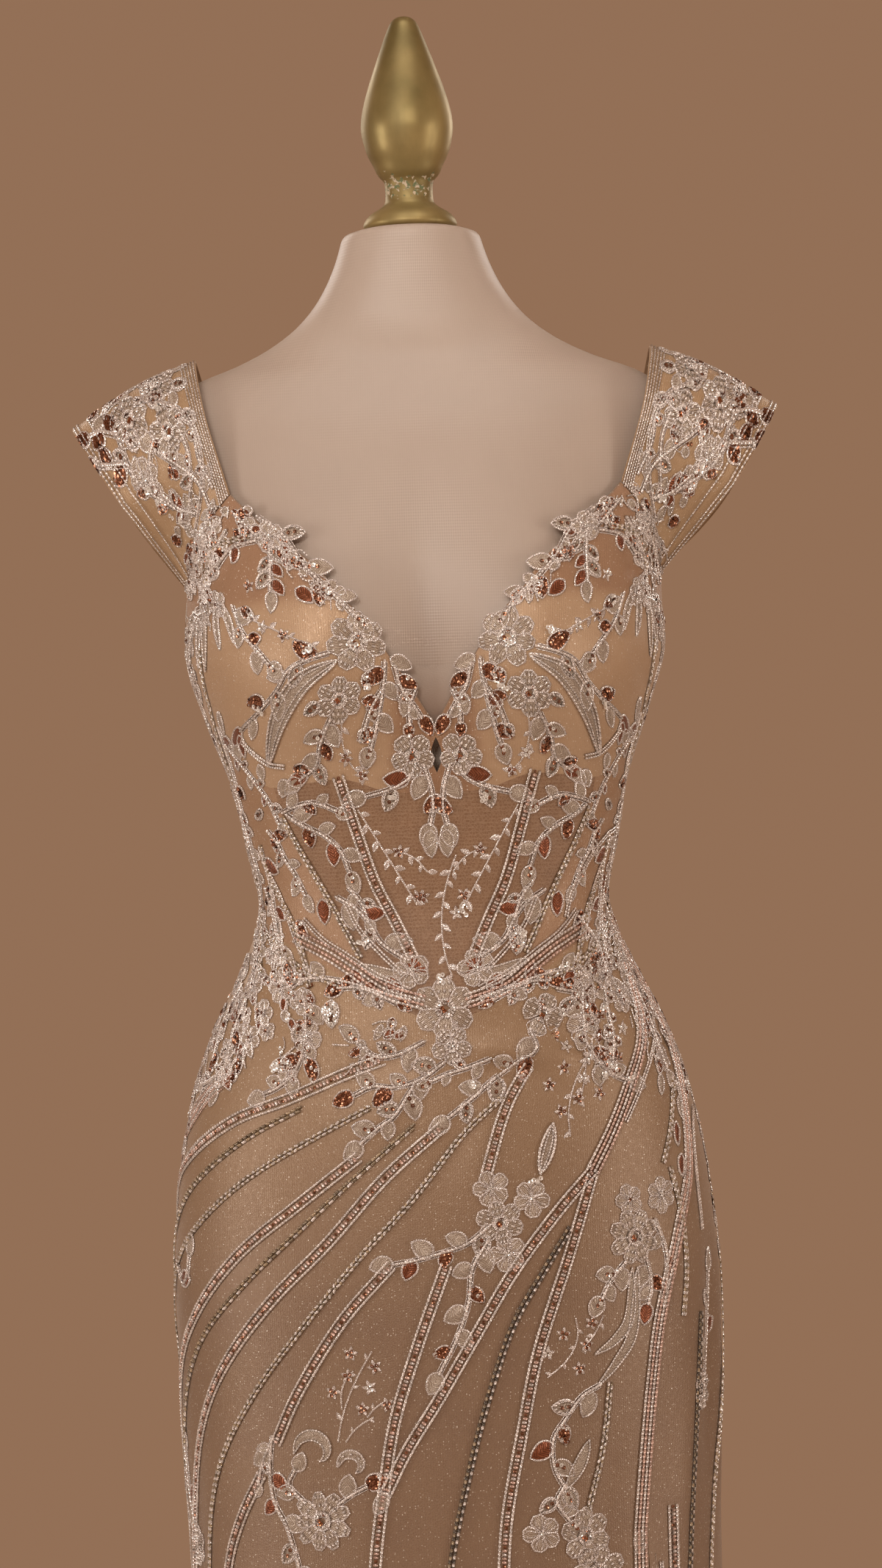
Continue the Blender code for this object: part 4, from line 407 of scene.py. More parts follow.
# ---- lace of the straps, (across, along, radius, petals, turn) and stems; along runs from the front ----
STRAP_FLOWERS = (
    (30, 62, 13, 6, 0), (52, 80, 13, 6, 20), (28, 90, 12, 5, 40), (58, 54, 10, 5, 0), (40, 118, 13, 6, 0),
    (62, 134, 11, 5, 0),
)
STRAP_STEMS = (
    (((20, 8), (24, 26), (34, 44), (44, 62)), 12, 7, 1, "sovs"),
    (((66, 92), (56, 104), (36, 104), (18, 100)), 11, 7, 1, "kcks"),
    (((30, 190), (34, 168), (44, 148), (50, 130)), 12, 7, 1, "sovks"),
)
# ---- close-set lace, (points, width of the band, count) ----
PAIRED_THICKETS = (
    (((-127, 1352), (-104, 1332), (-84, 1314), (-69, 1300), (-58, 1286)), 9, 46),
    (((-128, 1354), (-150, 1338), (-170, 1322), (-190, 1306)), 12, 46),
    (((-134, 1340), (-150, 1322), (-163, 1300), (-170, 1284)), 18, 52),
    (((-172, 1284), (-200, 1274), (-222, 1262)), 14, 34),
    (((-206, 1256), (-212, 1226), (-200, 1198), (-182, 1168), (-164, 1140), (-152, 1112), (-146, 1084)), 22,
     116),
    (((-142, 1086), (-128, 1070), (-108, 1058), (-86, 1052)), 16, 44),
    (((-150, 1060), (-168, 1040), (-184, 1016), (-190, 992)), 26, 62),
    (((-128, 1046), (-140, 1020), (-152, 996)), 22, 44),
    (((-100, 1048), (-96, 1024), (-104, 1000)), 16, 28),
)
THICKETS = (
    (((-26, 1030), (-44, 1016), (-60, 1008)), 14, 18), (((-196, 1000), (-208, 976), (-214, 950)), 20, 30),
    (((196, 990), (214, 960), (226, 920), (226, 870)), 16, 46),
    (((160, 1044), (176, 1010), (182, 980)), 20, 40),
)
BACK_THICKETS = (
    (((126, 1354), (104, 1324), (84, 1290), (60, 1256), (34, 1222), (14, 1202)), 10, 60),
    (((186, 1266), (178, 1210), (164, 1150), (150, 1100)), 22, 64),
    (((8, 1098), (60, 1094), (124, 1092)), 14, 34),
)
STRAP_THICKETS = (
    (((34, 8), (40, 50), (48, 90), (46, 130), (44, 170), (36, 198)), 46, 110),
    (((14, 6), (30, 2.5), (50, 2.5), (70, 4)), 6, 22), (((14, 200), (30, 203), (50, 203), (70, 202)), 6, 22),
)
STRAP_SPRAYS = (
    (((12, 14), (16, 34), (12, 52), (18, 68), (30, 78)), 8, 5, 1, "sosvsoso"),
    (((52, 30), (60, 46), (64, 62), (62, 78)), 8, 5, -1, "kvksov"),
    (((36, 14), (48, 26), (54, 40)), 10, 6, 1, "scos"),
    (((20, 96), (34, 102), (50, 100), (66, 92)), 9, 5.5, 1, "kvcsks"),
    (((62, 78), (70, 84), (78, 86)), 9, 6, 1, "kkk"),
    (((64, 66), (72, 70), (80, 74)), 9, 6, -1, "kkk"),
    (((22, 150), (18, 130), (26, 114)), 9, 5, 1, "sovks"),
    (((58, 180), (62, 160), (70, 146), (74, 128)), 9, 5, -1, "sokvsk"),
)
STRAP_LEAVES = (
    (18, 84, 200, 10, 6, "o"), (16, 66, 235, 12, 6, "o"), (32, 36, 95, 11, 7, "s"), (46, 24, 80, 13, 6, "c"),
    (56, 34, 60, 8, 5, "w"), (40, 104, 5, 13, 6, "c"), (74, 94, 120, 9, 6, "k"), (30, 12, 60, 10, 5, "v"),
    (46, 8, 70, 10, 5, "s"), (60, 14, 50, 9, 5, "k"),
)
STRAP_TRIMS = (
    ("pair", ((14, 64), (11, 50), (13, 34), (20, 20))), ("stem", ((16, 30), (28, 16), (44, 6))),
    ("stem", ((22, 60), (22, 44), (30, 30), (40, 20))), ("stem", ((40, 66), (50, 58), (56, 46))),
)
LEAF_ANGLE = math.radians(48)
LINE_ENDS = 760  # mm, a beaded line that ends below this height ends in a leaf
BODICE_ENDS = 1040  # mm, lace whose middle is below this height belongs to the skirt
LEAF_GROWTH, LEAF_FULLNESS = 1.15, 1.3  # the sewn leaves against the sizes above
# ---- soft creases of the cloth, (points, half width, depth), in mm; a ridge has a positive depth ----
PAIRED_CREASES = (
    (((-64, 1172), (-74, 1150), (-80, 1128)), 5, -0.9), (((-96, 1170), (-92, 1150), (-80, 1126)), 6, 0.8),
    (((-58, 1150), (-66, 1128), (-72, 1108)), 4, 0.7), (((-126, 1180), (-130, 1150), (-118, 1110)), 7, -1.0),
    (((-150, 1190), (-150, 1150), (-136, 1104)), 6, 0.9),
    (((-168, 1180), (-160, 1130), (-150, 1096)), 5, -0.8),
    (((-122, 1322), (-138, 1312), (-152, 1300)), 4, -0.8),
    (((-112, 1316), (-128, 1305), (-142, 1292)), 4, 0.7),
    (((-150, 1250), (-166, 1240), (-180, 1228)), 6, -0.8),
    (((-120, 1082), (-146, 1062), (-168, 1030)), 8, -0.9),
)
CREASES = (
    (((20, 1026), (50, 1023), (78, 1017), (104, 1006)), 7, -4.3),
    (((14, 1011), (50, 1010), (88, 1002)), 7, 4.6),
    (((16, 996), (40, 996), (66, 986)), 7, -3.8),
    (((-18, 1012), (-44, 1000), (-80, 984)), 6, -2.4), (((-12, 1000), (-30, 980), (-58, 960)), 7, 2.0),
    (((8, 990), (6, 960), (-8, 930)), 9, -1.8), (((150, 1060), (160, 1010), (158, 950)), 9, -2.0),
    (((196, 900), (190, 820), (182, 720)), 12, -3.0), (((214, 880), (208, 800), (200, 690)), 12, 2.6),
    (((160, 800), (152, 740), (146, 660)), 9, 2.4), (((96, 780), (84, 700), (78, 600)), 14, -2.4),
    (((-40, 820), (-60, 740), (-68, 620)), 18, 2.4), (((-170, 820), (-196, 740), (-206, 620)), 16, -2.6),
    (((20, 760), (10, 660), (4, 540)), 16, -2.2), (((-120, 700), (-132, 600), (-140, 480)), 18, 2.4),
)
BACK_CREASES = (
    (((10, 1160), (40, 1140), (70, 1130)), 6, -0.9), (((12, 1120), (50, 1108), (90, 1108)), 6, 0.9),
    (((14, 1086), (40, 1066), (70, 1052)), 7, -1.0), (((20, 1040), (50, 1010), (84, 990)), 9, 0.8),
    (((12, 930), (24, 860), (30, 780)), 12, -1.6), (((40, 900), (60, 820), (74, 720)), 14, 1.4),
    (((100, 860), (130, 780), (150, 690)), 14, -1.5), (((60, 1240), (84, 1232), (110, 1236)), 6, -0.7),
)

# ---- form, stand ----
FINIAL = (
    # radius, height above the neck, in mm, from the foot to the tip
    (0, 0.3), (24, 0.3), (29.3, 1.5), (29.8, 5), (26, 10), (19, 14.5), (15.8, 18), (15.3, 24), (15.8, 31),
    (18.2, 34), (20.4, 37), (22.6, 42), (26.4, 50), (29.0, 60), (29.6, 68), (28.2, 78), (24.6, 91),
    (19.4, 106), (14.2, 120), (10.2, 130), (7.6, 134.5), (4.0, 137), (0, 137.6),
)
POLE_RADIUS, POLE_BEVEL, POLE_LOW, FORM_BOTTOM = 16.0, 0.6, 20.3, 800.0
COVER_SIDES = 96
# Heights at the cover's two ends, and how far it rounds in at each, in mm.
COVER_ROUNDING = ((800, 801, 804, 810, 820, 1524, 1526.5, 1528.4, 1529.6),
                  (12, 7, 3.4, 1.2, 0, 0, 0.3, 1.2, 3.4))
COVER_TOP_ROWS = (1526.5, 1528.4, 1529.3, 1529.6)
HOLLOW = {"depth": 4.5, "height": 1190, "half_width": 15, "half_height": 17}  # mm, behind the keyhole
BASE_PROFILE = ((0, 0), (168, 0), (176, 1), (179, 4), (180, 8), (178, 12), (172, 16), (160, 17.6), (60, 20),
                (0, 20))

# ---- sewing, in mm ----
BEAD_LENGTH, BEAD_WIDTH = 2.1, 1.55
BUGLE_LENGTH = 3.5
CORD_RADIUS = 0.72
SEQUIN_RADIUS = 1.45
CLOTH_THICKNESS = 0.8
ACROSS_BACK = 150.0  # mm, a triangle wider than this in the chart is one that crosses the centre back
STITCH_PITCH, STITCH_SIZE = 6.4, (4.2, 0.8, 0.5)
ZIP_LOW, ZIP_HIGH = 962.0, 1187.0
HOOK = ((4, 1187.5), (1, 1188), (-1.2, 1187.4), (-1.2, 1186), (1, 1185.6), (4, 1186))  # from the centre back


def linear(code):
    """A hex sRGB colour as linear RGB."""
    parts = [int(code[k:k + 2], 16) / 255 for k in (1, 3, 5)]
    return tuple(v / 12.92 if v <= 0.04045 else ((v + 0.055) / 1.055) ** 2.4 for v in parts)


# ---------------------------------------------------------------- curves
def curve(x, y, at):
    """The monotone cubic through the points, read at these places."""
    x, y = np.asarray(x, float), np.asarray(y, float)
    step = np.diff(x)
    rise = np.diff(y) / step
    m = np.zeros_like(y)
    for i in range(1, len(x) - 1):
        if rise[i - 1] * rise[i] > 0:
            before, after = 2 * step[i] + step[i - 1], step[i] + 2 * step[i - 1]
            m[i] = (before + after) / (before / rise[i - 1] + after / rise[i])
    m[0], m[-1] = rise[0], rise[-1]
    at = np.clip(at, x[0], x[-1])
    i = np.clip(np.searchsorted(x, at) - 1, 0, len(x) - 2)
    h = x[i + 1] - x[i]
    t = (at - x[i]) / h
    return ((1 + 2 * t) * (1 - t) ** 2 * y[i] + t * (1 - t) ** 2 * h * m[i]
            + t * t * (3 - 2 * t) * y[i + 1] + t * t * (t - 1) * h * m[i + 1])


def spline(points, step):
    """Points about a step apart on the Catmull-Rom curve through these points, both ends kept."""
    points = np.asarray(points, float)
    ends = np.vstack([2 * points[0] - points[1], points, 2 * points[-1] - points[-2]])
    t = np.arange(0, 1, 0.05)[:, None]
    fine = [0.5 * (2 * b + (c - a) * t + (2 * a - 5 * b + 4 * c - d) * t * t
                   + (3 * b - a - 3 * c + d) * t ** 3)
            for a, b, c, d in zip(ends, ends[1:], ends[2:], ends[3:])]
    fine = np.vstack(fine + [points[-1:]])
    length = np.concatenate([[0], np.cumsum(np.linalg.norm(np.diff(fine, axis=0), axis=1))])
    at = np.linspace(0, length[-1], max(2, int(round(length[-1] / step)) + 1))
    return np.stack([np.interp(at, length, fine[:, k]) for k in range(points.shape[1])], axis=1)


def tangents(points):
    found = np.gradient(points, axis=0)
    return found / np.linalg.norm(found, axis=1, keepdims=True)


def to_left(along):
    return np.stack([-along[..., 1], along[..., 0]], axis=-1)


def turned(way, angle):
    c, s = math.cos(angle), math.sin(angle)
    return np.array([c * way[0] - s * way[1], s * way[0] + c * way[1]])


# ---------------------------------------------------------------- the figure
def bust(x, z):
    reach = np.where(z > BUST["z"], BUST["above"], BUST["below"])
    mound = np.maximum(*(np.exp(-(((x - side * BUST["x"]) / BUST["spread"]) ** 2)) for side in (-1, 1)))
    return BUST["rise"] * mound * np.exp(-(((z - BUST["z"]) / reach) ** 2))


def flutes(u, z):
    """How far the skirt stands out of its plain cone at a place round it, in metres."""
    t = np.clip((FLUTE_TOP - z) / FLUTE_TOP, 0, 1)
    ramp = (t * t * (3 - 2 * t)) ** (FLUTE_POWER / 2)
    total = 0.0
    for place, spread, depth in FLUTES:
        for turn in (-2, 0, 2):
            total = total + depth * np.exp(-(((u - place + turn) / spread) ** 2))
    return ramp * total


def ring(z):
    """One ring of the figure, even along its arc, and half its girth."""
    width, front, back, centre = (curve(FIGURE[:, 0], FIGURE[:, k], z) for k in (1, 2, 3, 4))
    angle = np.linspace(-math.pi, math.pi, ARC_STEPS)
    sine, cosine = np.sin(angle), np.cos(angle)
    x = width * np.sign(sine) * np.abs(sine) ** (2 / SQUARENESS)
    depth = np.where(cosine > 0, front, back)
    y = centre - depth * np.sign(cosine) * np.abs(cosine) ** (2 / SQUARENESS)
    ahead = np.clip(1.6 * cosine, 0, 1)
    y = y - bust(x, z) * ahead * ahead * (3 - 2 * ahead)
    length = np.concatenate([[0], np.cumsum(np.hypot(np.diff(x), np.diff(y)))])
    half = length[-1] / 2
    u = (length - length[ARC_STEPS // 2]) / half
    even = np.linspace(-1, 1, RING_POINTS)
    x, y = np.interp(even, u, x), np.interp(even, u, y)
    out = np.stack([np.gradient(y), -np.gradient(x)], axis=1)
    out /= np.linalg.norm(out, axis=1, keepdims=True)
    fold = flutes(even, z)
    return np.stack([x + out[:, 0] * fold, y + out[:, 1] * fold, np.full(RING_POINTS, z)], axis=1), half


HEIGHTS = np.linspace(0, FORM_TOP, LEVELS)
RINGS = [ring(z) for z in HEIGHTS]
SURFACE = np.array([points for points, _ in RINGS])
HALF_GIRTH = np.array([half for _, half in RINGS]) / MM
NORMALS = np.cross(np.gradient(SURFACE, axis=1), np.gradient(SURFACE, axis=0))
NORMALS /= np.linalg.norm(NORMALS, axis=2, keepdims=True)


def half_girth(z):
    """Half the way round the figure at a height, both in mm."""
    return np.interp(np.asarray(z, float) * MM, HEIGHTS, HALF_GIRTH)


def on_body(s, z, offset=0.0):
    """The place (s, z) on the figure, moved out by an offset in metres."""
    s, z = np.asarray(s, float), np.asarray(z, float)
    u = (s + CENTRE_FRONT) / half_girth(z)
    u = (u + 1) % 2 - 1
    across = np.clip((u + 1) / 2 * (RING_POINTS - 1), 0, RING_POINTS - 1.001)
    up = np.clip(z * MM / HEIGHTS[1], 0, LEVELS - 1.001)
    i, j = across.astype(int), up.astype(int)
    a, b = (across - i)[..., None], (up - j)[..., None]

    def read(grid):
        low = grid[j, i] * (1 - a) + grid[j, i + 1] * a
        high = grid[j + 1, i] * (1 - a) + grid[j + 1, i + 1] * a
        return low * (1 - b) + high * b

    out = read(NORMALS)
    out /= np.linalg.norm(out, axis=-1, keepdims=True)
    return read(SURFACE) + out * np.asarray(offset, float)[..., None]


def waist(s):
    return curve(*np.array(WAIST, float).T, np.abs(s))


def underbust(s):
    return curve(*np.array(UNDERBUST, float).T, np.abs(s))


def plain(points):
    return np.asarray(points, float)


def mirrored(points):
    return np.asarray(points, float) * (-1, 1)


def from_back(points, side):
    """Points given as (way from the centre back, height), on one side of it."""
    points = np.asarray(points, float)
    return np.stack([side * (half_girth(points[:, 1]) - points[:, 0]), points[:, 1]], axis=1)


def behind_left(points):
    return from_back(points, 1)


def behind_right(points):
    return from_back(points, -1)


def creases():
    """Every crease with its path in the chart, once."""
    found = []
    for place, table in ((plain, PAIRED_CREASES + CREASES), (mirrored, PAIRED_CREASES),
                         (behind_left, BACK_CREASES), (behind_right, BACK_CREASES)):
        found += [(spline(place(points), 8.0), width, depth) for points, width, depth in table]
    return found


ALL_CREASES = creases()


def cloth_rise(s, z):
    """How far the cloth stands out of the plain figure in its soft creases, in mm."""
    s, z = np.asarray(s, float), np.asarray(z, float)
    total = np.zeros(s.shape)
    for path, width, depth in ALL_CREASES:
        reach = 3 * width
        near = ((s > path[:, 0].min() - reach) & (s < path[:, 0].max() + reach)
                & (z > path[:, 1].min() - reach) & (z < path[:, 1].max() + reach))
        if not near.any():
            continue
        off = np.stack([s[near], z[near]], axis=-1)[:, None] - path[None]
        far = np.linalg.norm(off, axis=-1)
        best = far.argmin(axis=1)
        end = np.sin(np.pi * np.clip((best + 0.5) / len(path), 0, 1)) ** 0.7
        total[near] += depth * end * np.exp(-((far.min(axis=1) / width) ** 2))
    return total


def on_gown(s, z, rise):
    """The place (s, z) on the gown's cloth, a rise in mm above it."""
    return on_body(s, z, (cloth_rise(s, z) + rise) * MM)


def strap_surface(side):
    """The surface of a strap: across from its inner edge and along from its front end, in mm."""
    corners, bulges = [], []
    for run in (STRAP_FRONT, from_back(STRAP_BACK, 1)):
        s, z = np.linspace(run[0], run[1], 9).T
        there = (on_body(side * s, z) - (CENTRE_FRONT * MM, 0, 0)) * (side, 1, 1)
        corners.append((there[0], there[-1]))
        bulges.append(there - np.linspace(there[0], there[-1], 9))
    stations = [(0.0, *corners[0])] + [(t, np.array(a), np.array(b)) for t, a, b in STRAP_ROUTE]
    stations.append((1.0, *corners[1]))
    share = np.array([row[0] for row in stations])

    def edge(number, t):
        return np.stack([curve(share, [row[number][k] for row in stations], t) for k in range(3)], axis=-1)

    def at(across, along):
        t = along / STRAP_LENGTH
        over = np.clip(across / np.interp(t, *STRAP_WIDTHS), 0, 1)[..., None]
        crown = 0.0035 * np.sin(np.pi * over[..., 0]) * np.sin(np.pi * t)
        near = np.maximum(0, 1 - np.minimum(t, 1 - t) / END_BLEND) ** 2
        nine = np.linspace(0, 1, 9)
        bulge = [np.where(t > 0.5, np.interp(over[..., 0], nine, bulges[1][:, k]),
                          np.interp(over[..., 0], nine, bulges[0][:, k])) for k in range(3)]
        lift = np.stack([0 * t, np.copysign(crown, t - 0.5), crown], axis=-1)
        return edge(1, t) * (1 - over) + edge(2, t) * over + near[..., None] * np.stack(bulge, -1) + lift

    def surface(across, along, rise):
        across, along = np.asarray(across, float), np.asarray(along, float)
        middle = np.clip(across, 1, np.interp(along / STRAP_LENGTH, *STRAP_WIDTHS) - 1)
        over = at(middle + 0.5, along) - at(middle - 0.5, along)
        forward = at(across, np.minimum(along + 0.5, STRAP_LENGTH)) - at(across, np.maximum(along - 0.5, 0))
        out = np.cross(over, forward)
        out /= np.linalg.norm(out, axis=-1, keepdims=True)
        point = at(across, along) + out * (np.asarray(rise, float) * MM)[..., None]
        return np.stack([side * point[..., 0] + CENTRE_FRONT * MM, point[..., 1], point[..., 2]], axis=-1)

    return surface


# ---------------------------------------------------------------- meshes
def put_mesh(name, points, faces, materials, index=None, uv=None, values=None):
    """A named mesh object from triangles, with its materials, and its chart in mm as a UV map."""
    mesh = bpy.data.meshes.new(name)
    faces = np.asarray(faces, np.int32)
    mesh.vertices.add(len(points))
    mesh.vertices.foreach_set("co", np.asarray(points, np.float32).ravel())
    mesh.loops.add(faces.size)
    mesh.loops.foreach_set("vertex_index", faces.ravel())
    mesh.polygons.add(len(faces))
    mesh.polygons.foreach_set("loop_start", np.arange(0, faces.size, faces.shape[1], dtype=np.int32))
    if index is not None:
        mesh.polygons.foreach_set("material_index", np.asarray(index, np.int32))
    mesh.polygons.foreach_set("use_smooth", np.ones(len(faces), bool))
    if uv is not None:
        corners = np.asarray(uv, np.float32)[faces]
        behind = np.ptp(corners[..., 0], axis=1, keepdims=True) > ACROSS_BACK
        corners[..., 0] += np.where(behind & (corners[..., 0] < 0), 2 * half_girth(corners[..., 1]), 0)
        mesh.uv_layers.new(name="mm").data.foreach_set("uv", corners.ravel())
    if values is not None:
        mesh.attributes.new("lining", "FLOAT", "POINT").data.foreach_set("value",
                                                                         np.asarray(values, np.float32))
    mesh.update(calc_edges=True)
    mesh.validate()
    for material in materials:
        mesh.materials.append(material)
    made = bpy.data.objects.new(name, mesh)
    bpy.context.scene.collection.objects.link(made)
    return made


class Lot:
    """Shapes collected in the chart, (s, z, rise), until they become one object."""

    def __init__(self):
        self.points, self.faces, self.uv, self.index, self.count = [], [], [], [], 0

    def add(self, points, faces, material, uv=None):
        points, faces = np.asarray(points, float), np.asarray(faces, int)
        self.points.append(points)
        self.faces.append(faces + self.count)
        self.uv.append(points[:, :2] if uv is None else np.asarray(uv, float))
        self.index.append(np.full(len(faces), material))
        self.count += len(points)

    def make(self, name, surface, materials, flip=False):
        points, faces = np.vstack(self.points), np.vstack(self.faces)
        xyz = surface(points[:, 0], points[:, 1], points[:, 2])
        return put_mesh(name, xyz, faces[:, ::-1] if flip else faces, materials, np.concatenate(self.index),
                        uv=np.vstack(self.uv))


def grid_faces(rows, columns, closed=False):
    """Triangles over a grid of points, row after row, closed round its columns or open."""
    i, j = np.meshgrid(np.arange(rows - 1), np.arange(columns if closed else columns - 1), indexing="ij")
    i, j = i.ravel(), j.ravel()
    a, b = i * columns + j, i * columns + (j + 1) % columns
    c, d = b + columns, a + columns
    return np.vstack([np.stack([a, b, c], 1), np.stack([a, c, d], 1)])


def inside(points, outline):
    a, b = np.asarray(outline), np.roll(outline, -1, axis=0)
    crosses = (a[None, :, 1] > points[:, None, 1]) != (b[None, :, 1] > points[:, None, 1])
    rise = np.where(np.abs(b[:, 1] - a[:, 1]) < 1e-12, 1e-12, b[:, 1] - a[:, 1])
    x = a[:, 0] + (points[:, None, 1] - a[:, 1]) * (b[:, 0] - a[:, 0]) / rise
    return (crosses & (points[:, None, 0] < x)).sum(axis=1) % 2 == 1


def clear_of(points, outline, distance):
    """Which points are further than a distance from the outline's own points."""
    fine = np.vstack([np.linspace(a, b, 4)[:-1] for a, b in zip(outline, np.roll(outline, -1, axis=0))])
    return np.array([np.hypot(*(fine - p).T).min() > distance for p in points])


def panel(outline, spacing):
    """Points and triangles over an outline; a third spacing is that of the rows above the hips."""
    x, y = outline.T
    if np.sum(x * np.roll(y, -1) - y * np.roll(x, -1)) < 0:
        outline = outline[::-1]
    low, high = outline.min(axis=0), outline.max(axis=0)
    change = HIP_HEIGHT if len(spacing) > 2 else high[1]
    levels = np.concatenate([np.arange(low[1], change, spacing[1]), np.arange(change, high[1], spacing[-1])])
    loose = np.array([(x, z) for k, z in enumerate(levels)
                      for x in np.arange(low[0] + (k % 2) * spacing[0] / 2, high[0], spacing[0])])
    loose = loose[inside(loose, outline)]
    loose = loose[clear_of(loose, outline, 0.45 * min(spacing))]
    points = [tuple(p) for p in outline] + [tuple(p) for p in loose]
    result = geometry.delaunay_2d_cdt(points, [], [list(range(len(outline)))], 1, 1e-4, False)
    points, faces = np.array([tuple(v) for v in result[0]]), np.array(result[2])
    a, b, c = points[faces[:, 0]], points[faces[:, 1]], points[faces[:, 2]]
    turn = (b[:, 0] - a[:, 0]) * (c[:, 1] - a[:, 1]) - (b[:, 1] - a[:, 1]) * (c[:, 0] - a[:, 0])
    faces[turn < 0] = faces[turn < 0][:, ::-1]
    longest = np.max([np.linalg.norm(q - p, axis=1) for p, q in ((a, b), (b, c), (c, a))], axis=0)
    return points, faces[inside((a + b + c) / 3, outline) & (np.abs(turn) > 0.01 * longest)]


def shell(name, points, faces, surface, materials, lining, flip=False, top=0.0):
    """A closed thin piece of cloth: its outer face, its inner face and the edge between them."""
    count = len(points)
    outer = surface(points[:, 0], points[:, 1], np.full(count, top))
    inner = surface(points[:, 0], points[:, 1], np.full(count, top - CLOTH_THICKNESS))
    edges = {(t[k], t[(k + 1) % 3]) for t in faces.tolist() for k in range(3)}
    border = np.array(sorted(e for e in edges if e[::-1] not in edges))
    a, b = border.T
    rim = np.vstack([np.stack([b, a, a + count], 1), np.stack([b, a + count, b + count], 1)])
    every = np.vstack([faces, faces[:, ::-1] + count, rim])
    made = put_mesh(name, np.vstack([outer, inner]), every[:, ::-1] if flip else every, materials,
                    uv=np.vstack([points, points]), values=np.tile(lining, 2))
    made.data.set_sharp_from_angle(angle=math.radians(50))
    corners = outer[faces]
    area = 0.5 * np.linalg.norm(np.cross(corners[:, 1] - corners[:, 0], corners[:, 2] - corners[:, 0]),
                                axis=1).sum()
    return made, float(area)


def joined(*parts):
    """One outline from runs that meet end to end, without double points."""
    points = []
    for p in np.vstack(parts):
        if not points or np.linalg.norm(p - points[-1]) > 0.25:
            points.append(p)
    if np.linalg.norm(points[0] - points[-1]) < 0.25:
        points.pop()
    return np.array(points)


# ---------------------------------------------------------------- materials
def add_node(material, kind, inputs=(), **settings):
    """A shader node with its settings, its inputs set to values or linked to other nodes' outputs."""
    made = material.node_tree.nodes.new("ShaderNode" + kind)
    for name, value in settings.items():
        setattr(made, name, value)
    for name, value in dict(inputs).items():
        if isinstance(value, bpy.types.NodeSocket):
            material.node_tree.links.new(value, made.inputs[name])
        else:
            made.inputs[name].default_value = value
    return made


def new_finish(name, colour, roughness, metallic=0.0, **more):
    """A material with its shader set; names in more have _ for a space."""
    material = bpy.data.materials.new(name)
    material.use_nodes = True
    shader = material.node_tree.nodes["Principled BSDF"]
    shader.inputs["Base Color"].default_value = (*colour, 1)
    shader.inputs["Roughness"].default_value = roughness
    shader.inputs["Metallic"].default_value = metallic
    for key, value in more.items():
        shader.inputs[key.replace("_", " ")].default_value = value
    return material, shader


def link(material, output, socket):
    material.node_tree.links.new(output, socket)


def blended(material, amount, low, high):
    """The colour between two, by an amount."""
    made = add_node(material, "Mix", {0: amount}, data_type="RGBA")
    for place, value in ((6, low), (7, high)):
        if isinstance(value, bpy.types.NodeSocket):
            link(material, value, made.inputs[place])
        else:
            made.inputs[place].default_value = (*value[:3], 1)
    return made.outputs[2]


def ramp(material, value, low, high, start=0.0, end=1.0):
    """A value read from one range into another, held at its ends."""
    return add_node(material, "MapRange", {"Value": value, "From Min": low, "From Max": high,
                                           "To Min": start, "To Max": end}).outputs[0]


def darker(colour, share):
    return tuple(v * share for v in colour)


def chart(material):
    return add_node(material, "UVMap", uv_map="mm").outputs[0]


def bands(material, place, period, uneven=0.0, **settings):
    """Soft stripes of a period in the units of the place."""
    inputs = {"Vector": place, "Scale": 0.314 / period, "Detail": 0.0, "Distortion": uneven,
              "Detail Scale": 2.5}
    return add_node(material, "TexWave", inputs, **settings).outputs["Fac"]


def raised(material, shader, height, depth):
    """A bump of a depth in mm."""
    bump = add_node(material, "Bump", {"Height": height, "Distance": depth * MM, "Strength": 1.0})
    link(material, bump.outputs[0], shader.inputs["Normal"])


def glitter_tulle(name, bare, lining, colours):
    """Woven polyester satin under a fine glitter net: a nude ground, upright threads and small painted
    glints.
    """
    material, shader = new_finish(name, lining, 0.4, 0.2, Sheen_Weight=0.25, Sheen_Roughness=0.3)
    place = chart(material)
    # The lining attribute is the cups' real lining on the bodice; on the skirt it is a painted highlight
    # toward the hips.
    lined = add_node(material, "Attribute", attribute_name="lining").outputs["Fac"]
    ground = blended(material, lined, bare, lining)
    # Net of 1.2 mm holes.
    net = add_node(material, "TexVoronoi", {"Vector": place, "Scale": 0.83}, feature="DISTANCE_TO_EDGE")
    thread = ramp(material, net.outputs["Distance"], 0.02, 0.16, 1.0, 0.0)
    threads = bands(material, place, 1.5, 0.6, bands_direction="X")
    patches = add_node(material, "TexNoise", {"Vector": place, "Scale": 0.03, "Detail": 3.0}).outputs["Fac"]
    ground = blended(material, ramp(material, patches, 0.3, 0.7, 0.0, 0.22), ground, darker(lining, 0.72))
    ground = blended(material, ramp(material, threads, 0.0, 1.0, 0.0, 0.12), ground, darker(lining, 0.62))
    ground = blended(material, ramp(material, thread, 0.0, 1.0, 0.0, 0.10), ground, colours.net)
    # Glitter of 0.3 mm about 2.5 mm apart, drawn at 0.6 mm so that it shows; each speck is painted near
    # white, a painted glint.
    glints = add_node(material, "TexVoronoi", {"Vector": place, "Scale": 0.6}, feature="F1")
    chosen = add_node(material, "Math", {0: glints.outputs["Distance"], 1: 0.2},
                      operation="LESS_THAN").outputs[0]
    tint = add_node(material, "SeparateColor", {0: glints.outputs["Color"]}).outputs[0]
    some = ramp(material, tint, 0.5, 1.0, 0.0, 0.85)
    glint = add_node(material, "Math", {0: chosen, 1: some}, operation="MULTIPLY").outputs[0]
    link(material, blended(material, glint, ground, colours.glint), shader.inputs["Base Color"])
    link(material, ramp(material, glint, 0, 1, 0.4, 0.2), shader.inputs["Roughness"])
    raised(material, shader, add_node(material, "Math", {0: thread, 1: threads}, operation="ADD").outputs[0],
           0.05)
    return material


